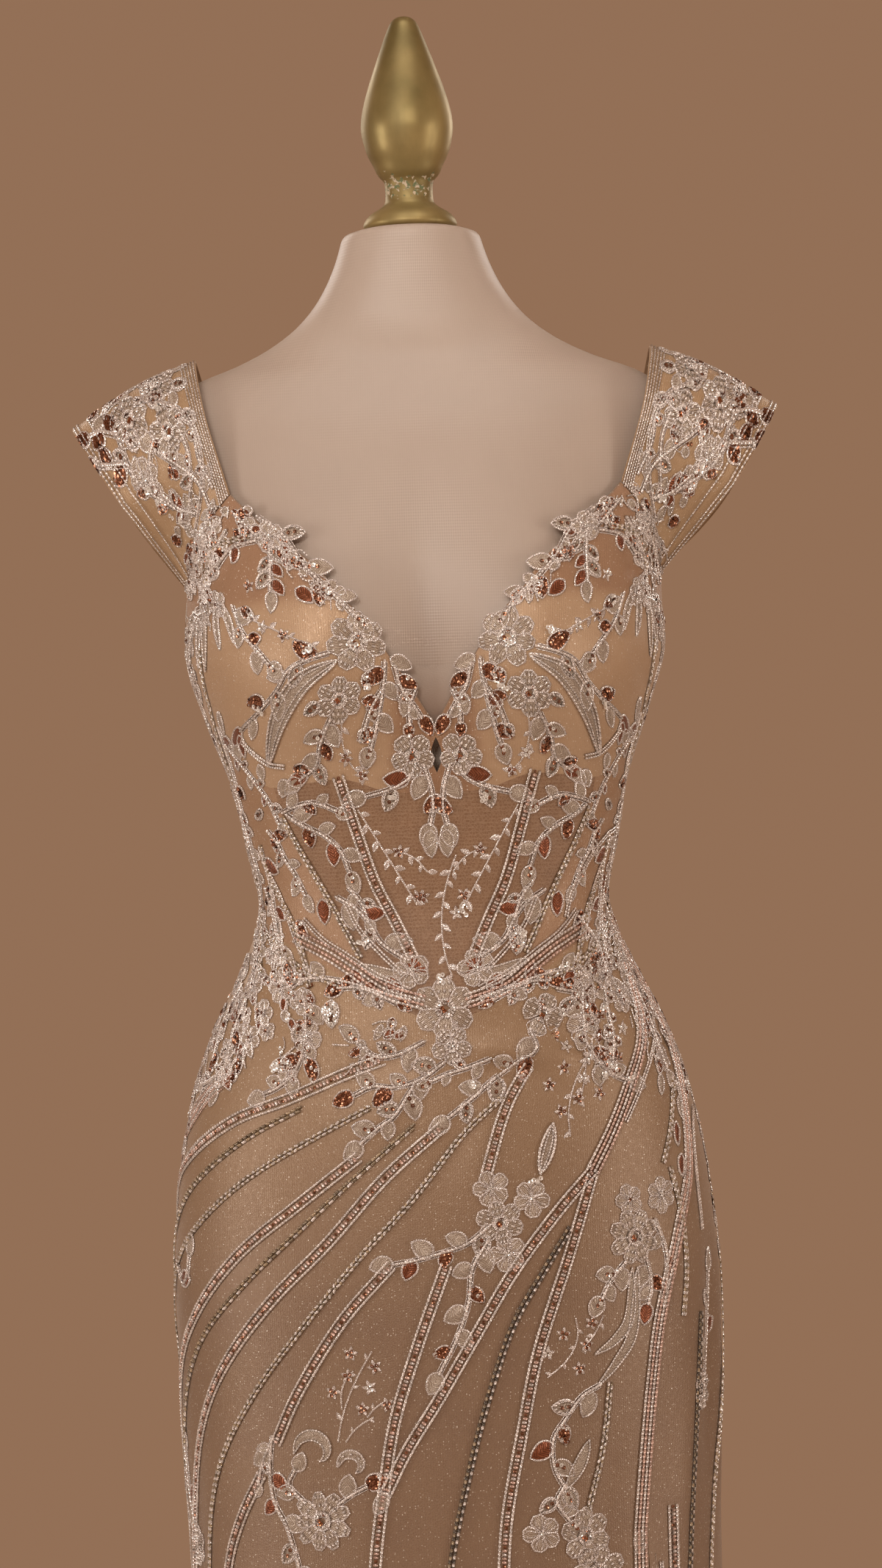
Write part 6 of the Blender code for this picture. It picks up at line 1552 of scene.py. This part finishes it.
def out_of_fan(points):
    return np.stack([points[:, 0] / FAN_WIDTH * half_girth(points[:, 1]) - CENTRE_FRONT, points[:, 1]],
                    axis=1)


def skirt_outline(left, right):
    top = level(waist, right[0][0], left[0][0])
    count = int((right[-1][0] - left[-1][0]) / 10)
    hem = np.stack([np.linspace(left[-1][0], right[-1][0], count), np.full(count, HEM_HEIGHT)], axis=1)
    return joined(top, left[1:-1], hem, right[1:-1][::-1])


def spread_of(points):
    """The width and length of a cut piece, in metres, from its chart."""
    low, high = points.min(axis=0), points.max(axis=0)
    return (float(high[0] - low[0]) * MM, float(high[1] - low[1]) * MM)


def cloth_piece(name, outline, material, lining, spacing=(6.0, 5.2), surface=on_gown,
                slot="glitter_tulle", top=0.0):
    """A cut piece of the gown as a thin shell in the place of its solid."""
    skirt = name.startswith("skirt")
    points, faces = panel(to_fan(outline) if skirt else outline, spacing)
    if skirt:
        points = out_of_fan(points)
    values = np.broadcast_to(lining(points[:, 0], points[:, 1]) if callable(lining) else lining, len(points))
    piece, area = shell(name + "_cloth", points, faces, surface, [material], values, top=top)
    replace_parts(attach(piece, BODY), name)
    width, length = spread_of(points)
    return piece


def cup_lining(s, z):
    """Where the padded cup lines the net: the lower two thirds of each cup."""
    edge = 1284 + 10 * np.cos((np.abs(s) - 90) / 50)
    return np.clip((edge - z) / 8, 0, 1) * np.clip((np.abs(s) - 22) / 10, 0, 1)


# ---------------------------------------------------------------- settings
def colour(name, description, code):
    return FloatVectorProperty(name=name, description=description, subtype="COLOR", size=3, min=0, max=1,
                               default=linear(code))


class GownColours(bpy.types.PropertyGroup):
    """The colours of every finish."""

    tulle: colour("Tulle", "Lined glitter net", "#BD9D7E")
    unlined: colour("Unlined net", "Net with nothing under it but the form", "#A07A5E")
    skirt: colour("Skirt", "Glitter net over the skirt's satin", "#886E5A")
    # Lighter net: the straps' own colour, and the painted highlight toward the hips.
    skirt_straps_and_hip_highlight: colour("Skirt, lighter", "Glitter net over the straps and the hips", "#B69674")
    net: colour("Net thread", "Threads of the net", "#D8BC9E")
    # Painted glint colour of the glitter specks.
    glint: colour("Glitter", "Glitter on the net", "#FFF6E8")
    sheer: colour("Sheer mesh", "Mesh of the midriff", "#8A674B")
    # Dark end of the plunge net: the net over the form, deepened by painted shade toward the apex.
    insert: colour("Plunge mesh", "Mesh in the plunge", "#7C5C46")
    thread: colour("Satin thread", "Satin stitch", "#DDCEBE")
    gap: colour("Between stitches", "Shade between the laid threads", "#7A5F48")
    cord: colour("Cord", "Metal cord round leaves and petals", "#FBEEE7")
    copper: colour("Copper", "Copper leaves", "#9C5C3E")
    silver_bead: colour("Silver beads", "Silver-lined beads", "#F2E6DF")
    rose_bead: colour("Rose beads", "Rose-lined beads", "#EBC6B6")
    bronze_bead: colour("Bronze beads", "Bronze bugles", "#B9A284")
    dark_bead: colour("Dark beads", "Dark beads", "#5A4C3E")
    silver_sequin: colour("Silver sequins", "Bright sequins", "#FBF6F0")
    brown_sequin: colour("Brown sequins", "Dark sequins", "#A8745A")
    copper_sequin: colour("Copper sequins", "Copper sequins", "#BE7650")
    form: colour("Form cover", "Satin knit of the form", "#B5A497")
    gilt: colour("Gilt", "Gold paint", "#A38F5E")
    gilt_dark: colour("Dark gilt", "Gold paint where it is dull", "#76683F")
    chip: colour("Chips", "Pale ground under the paint", "#C9B8A0")
    patina: colour("Patina", "Green in the worn collar", "#6A7350")
    steel: colour("Steel", "Pole", "#B9B7B4")
    enamel: colour("Base enamel", "Round base", "#39322C")
    zip_metal: colour("Zip", "Slider and pull", "#CDB49C")
    floor: colour("Floor", "Studio floor", "#E4DED6")
    world: colour("Surroundings", "Studio surroundings", "#C99A78")


class GownStage(bpy.types.PropertyGroup):
    """The camera and the lights."""

    distance: FloatProperty(name="Camera distance", description="From the gown's middle to the camera",
                            default=2.6, unit="LENGTH")
    height: FloatProperty(name="Camera height", description="Above the floor", default=1.174, unit="LENGTH")
    view_height: FloatProperty(name="View height", description="What the frame takes in at the gown",
                               default=1.003,
                               unit="LENGTH")
    roll: FloatProperty(name="Camera roll", description="Turn about the line of sight",
                        default=math.radians(2.0),
                        subtype="ANGLE")
    floor_radius: FloatProperty(name="Floor radius", description="Round studio floor", default=2.6,
                                unit="LENGTH")


# ---------------------------------------------------------------- operators
def turned_piece(name, profile, sides, height, material, steps=1):
    """A lathe-turned piece about the pole's axis, from a profile in mm."""
    profile = np.array(profile, float)
    if steps > 1:
        profile = spline(profile, steps)
        profile[:, 0] = np.maximum(profile[:, 0], 0)
        profile[0, 0] = profile[-1, 0] = 0
    profile[profile[:, 0] < 0.01, 0] = 0.01
    angle = np.arange(sides) * 2 * math.pi / sides
    x = profile[:, :1] * np.cos(angle) * MM
    y = profile[:, :1] * np.sin(angle) * MM
    z = np.broadcast_to(profile[:, 1:] * MM + height, x.shape)
    faces = grid_faces(len(profile), sides, closed=True)
    return put_mesh(name, np.stack([x, y, z], axis=2).reshape(-1, 3), faces, [material])


class GOWN_OT_stage(bpy.types.Operator):
    """Make the floor, the lights and the camera"""

    bl_idname = "gown.stage"
    bl_label = "Stage"

    def execute(self, context):
        colours, stage = context.scene.gown_colours, context.scene.gown_stage
        camera = bpy.data.objects.new("camera", bpy.data.cameras.new("camera"))
        context.scene.collection.objects.link(camera)
        camera.data.sensor_fit = "VERTICAL"
        camera.data.sensor_height = 24.0
        camera.data.lens = 24.0 * stage.distance / stage.view_height
        camera.data.clip_end = 50
        c, s = math.cos(stage.roll), math.sin(stage.roll)
        camera.matrix_world = Matrix(((c, s, 0, 0.0072), (0, 0, -1, -stage.distance),
                                      (-s, c, 0, stage.height),
                                      (0, 0, 0, 1)))
        context.scene.camera = camera
        matte, _ = new_finish("studio_floor", colours.floor, 0.8)
        angle = np.arange(64) * 2 * math.pi / 64
        rings = [np.stack([r * np.cos(angle), r * np.sin(angle), 0 * angle], 1) for r in (0.01,
                                                                                          stage.floor_radius)]
        floor = put_mesh("floor", np.vstack(rings), grid_faces(2, 64, closed=True)[:, ::-1], [matte])
        world = bpy.data.worlds.new("studio")
        context.scene.world = world
        world.use_nodes = True
        world.node_tree.nodes["Background"].inputs["Color"].default_value = (*colours.world, 1)
        world.node_tree.nodes["Background"].inputs["Strength"].default_value = 0.5
        for name, place, aim, size, power, tint in (
                ("key", (-0.7, -2.3, 2.3), (0, 0, 1.25), (0.7, 0.8), 21.5, "#FFFAF4"),
                ("side_left", (-2.3, -0.9, 1.15), (0, 0, 0.9), (0.5, 1.1), 15, "#FFFAF4"),
                ("side_right", (2.3, -1.0, 1.1), (0, 0, 0.9), (0.5, 1.1), 14, "#FFF8F0"),
                ("front", (0.3, -1.9, 2.2), (0.04, 0, 1.49), (0.25, 0.25), 0.15, "#FFF6E8"),
                ("overhead", (0.0, -0.7, 3.2), (0, 0, 1.3), (1.2, 0.5), 10, "#FFFAF4"),
                ("back_left", (-1.6, 2.2, 2.3), (0, 0, 1.2), (0.7, 1.3), 14, "#FFF8F0"),
                ("back_right", (1.7, 2.2, 2.2), (0, 0, 1.2), (0.7, 1.3), 14, "#FFF8F0")):
            lamp = bpy.data.lights.new(name, "AREA")
            lamp.shape, lamp.size, lamp.size_y = "RECTANGLE", *size
            lamp.energy, lamp.color = power, linear(tint)
            if name == "front":
                lamp.spread = math.radians(24)
            made = bpy.data.objects.new(name, lamp)
            context.scene.collection.objects.link(made)
            away = Matrix.Translation(place).to_translation() - Matrix.Translation(aim).to_translation()
            made.location = place
            made.rotation_mode = "QUATERNION"
            made.rotation_quaternion = away.to_track_quat("Z", "Y")
        context.scene.view_settings.view_transform = "Standard"
        return {"FINISHED"}


class GOWN_OT_form(bpy.types.Operator):
    """Make the padded form, its finial, the pole and the base"""

    bl_idname = "gown.form"
    bl_label = "Form and stand"

    def execute(self, context):
        colours = context.scene.gown_colours
        knit = satin_knit(colours)
        columns = COVER_SIDES
        heights = np.concatenate([COVER_ROUNDING[0][:5], np.linspace(840, 1400, 58),
                                  np.linspace(1405, 1524, 38),
                                  COVER_TOP_ROWS])
        inset = FORM_INSET / MM + np.interp(heights, *COVER_ROUNDING)
        even = np.linspace(-1, 1, columns, endpoint=False)
        z, u = np.meshgrid(heights, even, indexing="ij")
        s = u * half_girth(z) - CENTRE_FRONT
        hollow = (HOLLOW["depth"] * np.exp(-((s / HOLLOW["half_width"]) ** 2))
                  * np.exp(-(((z - HOLLOW["height"]) / HOLLOW["half_height"]) ** 2)))
        xyz = on_body(s, z, -(inset[:, None] + hollow) * MM).reshape(-1, 3)
        faces = grid_faces(len(heights), columns, closed=True)
        centre = xyz.reshape(len(heights), columns, 3)[[0, -1]].mean(axis=1)
        count = len(xyz)
        around = np.arange(columns)
        last = count - columns
        low = np.stack([(around + 1) % columns, around, np.full(columns, count)], 1)
        high = np.stack([last + around, last + (around + 1) % columns, np.full(columns, count + 1)], 1)
        uv = np.vstack([np.stack([s.ravel(), z.ravel()], 1), [[0, FORM_BOTTOM], [0, FORM_TOP / MM]]])
        cover = put_mesh("form_cover", np.vstack([xyz, centre]), np.vstack([faces, low, high]), [knit], uv=uv)
        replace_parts(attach(cover, BODY), "form_torso")
        gilt, steel, enamel = aged_gilt(colours), turned_steel(colours), base_enamel(colours)
        finial = turned_piece("finial_turning", FINIAL, 56, FORM_TOP, gilt, 1.8)
        finial.data.transform(Matrix.Translation((0, FIGURE[-1, 4], 0)))
        top = FORM_BOTTOM - 0.3
        inside = POLE_RADIUS - POLE_BEVEL
        outline = ((0, POLE_LOW), (inside, POLE_LOW), (POLE_RADIUS, POLE_LOW + POLE_BEVEL),
                   (POLE_RADIUS, top - POLE_BEVEL), (inside, top), (0, top))
        pole = turned_piece("pole_tube", outline, 64, 0, steel)
        base = turned_piece("base_disc", BASE_PROFILE, 128, 0, enamel)
        for piece, slot, node in ((finial, "aged_gilt", "finial"), (pole, "pole_steel", "pole"),
                                  (base, "base_enamel", "base")):
            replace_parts(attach(piece, BODY), node)
            piece.data.set_sharp_from_angle(angle=math.radians(50))
        return {"FINISHED"}


class GOWN_OT_bodice(bpy.types.Operator):
    """Make the cloth of the cups, the plunge, the midriff and the back"""

    bl_idname = "gown.bodice"
    bl_label = "Bodice cloth"

    def execute(self, context):
        colours = context.scene.gown_colours
        tulle = glitter_tulle("glitter_tulle", colours.unlined, colours.tulle, colours)
        mesh, net = sheer_mesh(colours), insert_mesh(colours)
        cup, back = cup_outline(), back_outline()
        cloth_piece("cup_left", cup, tulle, cup_lining)
        cloth_piece("cup_right", mirrored(cup), tulle, cup_lining)
        cloth_piece("back_left", back, tulle, 0.75)
        cloth_piece("back_right", mirrored(back), tulle, 0.75)
        edge = np.array([p for p in spline(NECKLINE, 5) if p[1] < INSERT_TOP - 3])
        insert = joined(edge + (4, 0), (mirrored(edge) - (4, 0))[::-1],
                        np.stack([np.linspace(-27, 27, 12), np.full(12, INSERT_TOP)], axis=1))

        def on_insert(s, z, rise):
            return on_gown(s, z, rise - 1.6 * np.clip((z - 1205) / 40, 0, 1))

        cloth_piece("plunge_insert", insert, net, 0.0, slot="sheer_mesh", top=-INSERT_DEPTH,
                    surface=on_insert)
        channel = np.vstack([spline(CHANNEL, 6)[:-1], [(6, waist(6.0))]])
        channel[0, 1] = underbust(channel[0, 0])
        sheer = np.vstack([spline(SHEER_EDGE, 6)[:-1], [(46, waist(46.0))]])
        sheer[0, 1] = underbust(sheer[0, 0])
        low = half_girth(waist(170.0)) / 2
        side = side_seam(float(underbust(half_girth(underbust(180.0)) / 2)), float(waist(low)))
        cloth_piece("midriff_centre", midriff_outline(mirrored(channel), channel), mesh, 0.0,
                    slot="sheer_mesh")
        for name, left, right, material, slot in (("midriff_left", channel, sheer, mesh, "sheer_mesh"),
                                                  ("midriff_side_left", sheer, side, tulle, "glitter_tulle")):
            outline = midriff_outline(left, right)
            cloth_piece(name, outline, material, 0.3, slot=slot)
            cloth_piece(name.replace("left", "right"), mirrored(outline), material, 0.3, slot=slot)
        return {"FINISHED"}


class GOWN_OT_skirt(bpy.types.Operator):
    """Make the four panels of the skirt"""

    bl_idname = "gown.skirt"
    bl_label = "Skirt cloth"

    def execute(self, context):
        colours = context.scene.gown_colours
        tulle = glitter_tulle("skirt_tulle", colours.skirt, colours.skirt_straps_and_hip_highlight, colours)
        waist_side = float(waist(half_girth(waist(170.0)) / 2))
        side = run_down(lambda z: half_girth(z) / 2, waist_side)
        slit_out = run_down(slit_edge(1, 0), float(waist(140.0)))
        slit_in = run_down(slit_edge(-1, 0), float(waist(140.0)))
        centre = run_down(half_girth, 1094.0)
        back = skirt_outline(side, centre)
        for name, outline in (("skirt_front", skirt_outline(mirrored(side), slit_in)),
                              ("skirt_front_side", skirt_outline(slit_out, side)),
                              ("skirt_back_left", back), ("skirt_back_right", mirrored(back))):
            # The net is painted lighter from 850 mm up to the hips, a painted highlight, and left darker
            # lower down; the lining attribute carries this mask here.
            cloth_piece(name, outline, tulle, lambda s, z: 0.7 * np.clip((z - 850) / 220, 0, 1),
                        (6.9, 13.0, 6.4))
        return {"FINISHED"}


def lace_materials(colours):
    """The finishes of the embroidery, the beads and the sequins, once."""
    if "satin_thread" not in bpy.data.materials:
        satin_thread(colours), metal_cord(colours), copper_foil(colours)
        glass("silver_bead", colours.silver_bead, 0.2, 0.4)
        glass("rose_bead", colours.rose_bead, 0.24, 0.45)
        glass("bronze_bead", colours.bronze_bead, 0.2, 0.6)
        glass("dark_bead", colours.dark_bead, 0.14, 0.4)
        sequin_film("silver_sequin", colours.silver_sequin, 0.26, 0.15, 0.5)
        sequin_film("brown_sequin", colours.brown_sequin)
        sequin_film("copper_sequin", colours.copper_sequin)
    names = (("satin_thread", "metal_cord", "copper_foil"),
             ("silver_bead", "rose_bead", "bronze_bead", "dark_bead"),
             ("silver_sequin", "brown_sequin", "copper_sequin"))
    return [[bpy.data.materials[name] for name in group] for group in names]


class GOWN_OT_straps(bpy.types.Operator):
    """Make both cap straps with their lace and beaded edges"""

    bl_idname = "gown.straps"
    bl_label = "Cap straps"

    def execute(self, context):
        tulle = bpy.data.materials["skirt_tulle"]
        finishes = lace_materials(context.scene.gown_colours)
        for name, side in (("strap_left", 1), ("strap_right", -1)):
            surface = strap_surface(side)
            along = np.linspace(STRAP_GAP, STRAP_LENGTH - STRAP_GAP, 42)
            width = np.interp(along / STRAP_LENGTH, *STRAP_WIDTHS)
            share = np.linspace(0, 1, 19)
            points = np.stack([(width[:, None] * share).ravel(), np.repeat(along, 19)], axis=1)
            piece, area = shell(name + "_cloth", points, grid_faces(42, 19), surface, [tulle],
                                np.full(len(points), 0.9), flip=side < 0)
            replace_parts(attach(piece, BODY), name)
            lace = Lace()
            for row in STRAP_FLOWERS:
                lace.flower(*row)
            for row in STRAP_STEMS + STRAP_SPRAYS:
                lace.stem(*row)
            for row in STRAP_LEAVES:
                lace.lone_leaf(*row)
            for spot in STRAP_SPARKS:
                lace.spark(*spot)
            for row in STRAP_TRIMS:
                lace.line(*row)
            for points, band, count in STRAP_THICKETS:
                lace.thicket(points, band, count)
            for place in (0.014, 0.039, 0.064, 0.089, 0.114, 0.87, 0.955, 0.985):
                route = np.stack([width * place, along], axis=1)
                lace.line("edge", route[::3])
            lace.make(name, surface, *finishes, flip=side < 0)
        return {"FINISHED"}


def sprigs(lace, count):
    """Small sprigs all round the lower skirt, thinner toward the hem."""
    for k in range(count):
        z = 630 - 500 * ((k + 0.5) / count) ** 1.25
        s = float((k * 0.764 % 2 - 1) * half_girth(z))
        lean = SHAKE.uniform(-0.6, 0.6)
        if abs(s - slit_place(z)) < slit_shift(z) + 40:
            continue
        path = np.array([(s, z), (s + 10 * lean, z + 16), (s + 30 * lean, z + 32)])
        if k % 3:
            lace.stem(path, 12, 7, (-1) ** k, ("sovk", "vsks", "cosv")[k % 4 % 3])
        else:
            lace.vine(path, 6, 5)
            lace.star(*path[-1])


class GOWN_OT_lace(bpy.types.Operator):
    """Embroider the flowers, the leaves and the vines on the gown, and sew on the beaded lines"""

    bl_idname = "gown.lace"
    bl_label = "Lace and beading"

    def execute(self, context):
        finishes = lace_materials(context.scene.gown_colours)
        pairs = (PAIRED_FLOWERS, PAIRED_STEMS + PAIRED_SPRAYS, PAIRED_FEATHERS + PAIRED_SEWN_FEATHERS,
                 PAIRED_LINES + PAIRED_TRIMS, PAIRED_VINES, PAIRED_STARS, PAIRED_SPARKS, PAIRED_LEAVES,
                 PAIRED_THICKETS)
        singles = (FLOWERS + SMALL_FLOWERS, STEMS + SPRAYS, FEATHERS + SEWN_FEATHERS + SCROLLS, LINES + TRIMS,
                   VINES,
                   STARS, SPARKS, LEAVES, THICKETS)
        front, other = (plain, *(a + b for a, b in zip(pairs, singles))), (mirrored, *pairs)
        regions = {name: Lace() for name in ("bodice", "skirt", "back", "bodice_lines", "skirt_lines",
                                             "back_lines")}
        behind_tables = (BACK_FLOWERS, BACK_STEMS, BACK_FEATHERS, BACK_LINES, (), (), BACK_SPARKS, (),
                         BACK_THICKETS)
        sides = [front, other] + [(place, *behind_tables) for place in (behind_left, behind_right)]
        for place, flowers, stems, feathers, lines, vines, stars, sparks, leaves, thickets in sides:
            behind = place in (behind_left, behind_right)

            def region(points, ending=""):
                low = place(points)[:, 1].mean() < BODICE_ENDS
                return regions[("back" if behind else "skirt" if low else "bodice") + ending]

            for s, z, *rest in flowers:
                s, z = place([(s, z)])[0]
                region([(s, z)]).flower(s, z, *rest)
            turned_over = np.cross(*(place(((0, 1000), (1, 1000), (0, 1001)))[1:] - place(((0, 1000),)))) < 0
            for points, length, width, side, letters in stems:
                region(points).stem(place(points), length, width, -side if turned_over else side, letters)
            for points, width in feathers:
                region(points).feather(place(points), width)
            for kind, points in lines:
                lot = region(points, "_lines")
                points = place(points)
                lot.line(kind, points)
                if points[-1][1] < LINE_ENDS:
                    way = points[-1] - points[-2]
                    lot.leaf(points[-1], way / np.linalg.norm(way), 13, 6.5, "s")
            for points, length, count in vines:
                region(points).vine(place(points), length, count)
            for spot in stars:
                region([spot]).star(*place([spot])[0])
            for spot in sparks:
                region([spot]).spark(*place([spot])[0])
            for s, z, way, length, width, letter in leaves:
                angle = math.radians(way)
                foot, tip = place([(s, z), (s + math.cos(angle), z + math.sin(angle))])
                region([(s, z)]).leaf(foot, (tip - foot) / np.linalg.norm(tip - foot), length, width, letter)
            for points, width, count in thickets:
                region(points).thicket(place(points), width, count)
        for side, top, inset, kind in ((-1, 710, 6.5, "bright"), (1, 690, 9, "pair")):
            z = np.linspace(top, HEM_HEIGHT + 18, 40)
            regions["skirt_lines"].line(kind, np.stack([slit_edge(side, inset)(z), z], axis=1))
        sprigs(regions["skirt"], 46)
        for name, lace in regions.items():
            lace.make(name, on_gown, *finishes)
        return {"FINISHED"}


class GOWN_OT_sewing(bpy.types.Operator):
    """Bind the edges, stitch the hem, the slit and the seams, and finish the concealed zip"""

    bl_idname = "gown.sewing"
    bl_label = "Zip, bindings and stitching"

    def execute(self, context):
        metal = zip_enamel(context.scene.gown_colours)
        for node in ("zip_slider", "zip_pull"):
            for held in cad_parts[node].material_slots:
                held.material = metal
        sewn = Lace()

        def stitches(path):
            path = spline(path, STITCH_PITCH)
            sewn.strew(sewn.beads, TUBE, path, tangents(path), STITCH_SIZE, 0.1, 0, 2)

        def binding(path, radius=1.2):
            sewn.cord(path, radius, rise=-1.6 * radius, material=0, around=(-90, -30, 30, 90, 150, 210, 270))

        fold = np.arange(ZIP_LOW, ZIP_HIGH, 6.0)
        for side, place in ((1, plain), (-1, mirrored)):
            sewn.cord(from_back(np.stack([0 * fold + 1.3, fold], axis=1), side), 0.9, rise=-0.4, material=0)
            binding(from_back(spline(BACK_NECK, 4), side))
            binding(place(spline(ARMHOLE, 4)))
            binding(place(spline(NECKLINE, 4)), 0.9)
            sewn.cord(from_back(HOOK, side), 0.4, rise=0.3, material=1)
            for gap in (-3.0, 3.0):
                stitches(place(level(waist, 124, 300) + (0, gap)))
            stitches(place(side_seam(1060, 40) + (3.5, 0)))
            z = np.linspace(694, 30, 60)
            stitches(np.stack([slit_edge(side, 5)(z), z], axis=1))
        z = HEM_HEIGHT + 12
        round_hem = np.linspace(slit_edge(1, 5)(z), 2 * half_girth(z) + slit_edge(-1, 5)(z), 240)
        stitches(np.stack([round_hem, 0 * round_hem + z], axis=1))
        coil = from_back([(0, z) for z in np.arange(ZIP_LOW, ZIP_HIGH, 1.5)], 1)
        sewn.strew(sewn.beads, SEED, coil, (1, 0), (2.2, 1.0, 0.9), -0.3, 0)
        cloth, thread = bpy.data.materials["skirt_tulle"], bpy.data.materials["satin_thread"]
        for name, lot, slot, materials in (("bindings", sewn.thread, "glitter_tulle", [cloth, metal]),
                                           ("stitching", sewn.beads, "silver_thread", [thread])):
            piece = lot.make(name, on_gown, materials)
            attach(piece, BODY)
        return {"FINISHED"}


class GOWN_PT_panel(bpy.types.Panel):
    """The gown's pieces and settings"""

    bl_idname = "GOWN_PT_panel"
    bl_label = "Evening Gown"
    bl_space_type = "VIEW_3D"
    bl_region_type = "UI"
    bl_category = "Gown"

    def draw(self, context):
        column = self.layout.column()
        for operator in OPERATORS:
            column.operator(operator.bl_idname)
        for group in (context.scene.gown_stage, context.scene.gown_colours):
            for name in group.bl_rna.properties.keys():
                if name not in ("rna_type", "name"):
                    column.prop(group, name)


OPERATORS = (GOWN_OT_stage, GOWN_OT_form, GOWN_OT_bodice, GOWN_OT_skirt, GOWN_OT_straps, GOWN_OT_lace,
             GOWN_OT_sewing)
CLASSES = (GownColours, GownStage, *OPERATORS, GOWN_PT_panel)


def register():
    for cls in CLASSES:
        bpy.utils.register_class(cls)
    bpy.types.Scene.gown_colours = PointerProperty(type=GownColours)
    bpy.types.Scene.gown_stage = PointerProperty(type=GownStage)


def unregister():
    del bpy.types.Scene.gown_stage
    del bpy.types.Scene.gown_colours
    for cls in reversed(CLASSES):
        bpy.utils.unregister_class(cls)


def main():
    register()
    for operator in OPERATORS:
        group, name = operator.bl_idname.split(".")
        getattr(getattr(bpy.ops, group), name)()


if __name__ == "__main__":
    main()
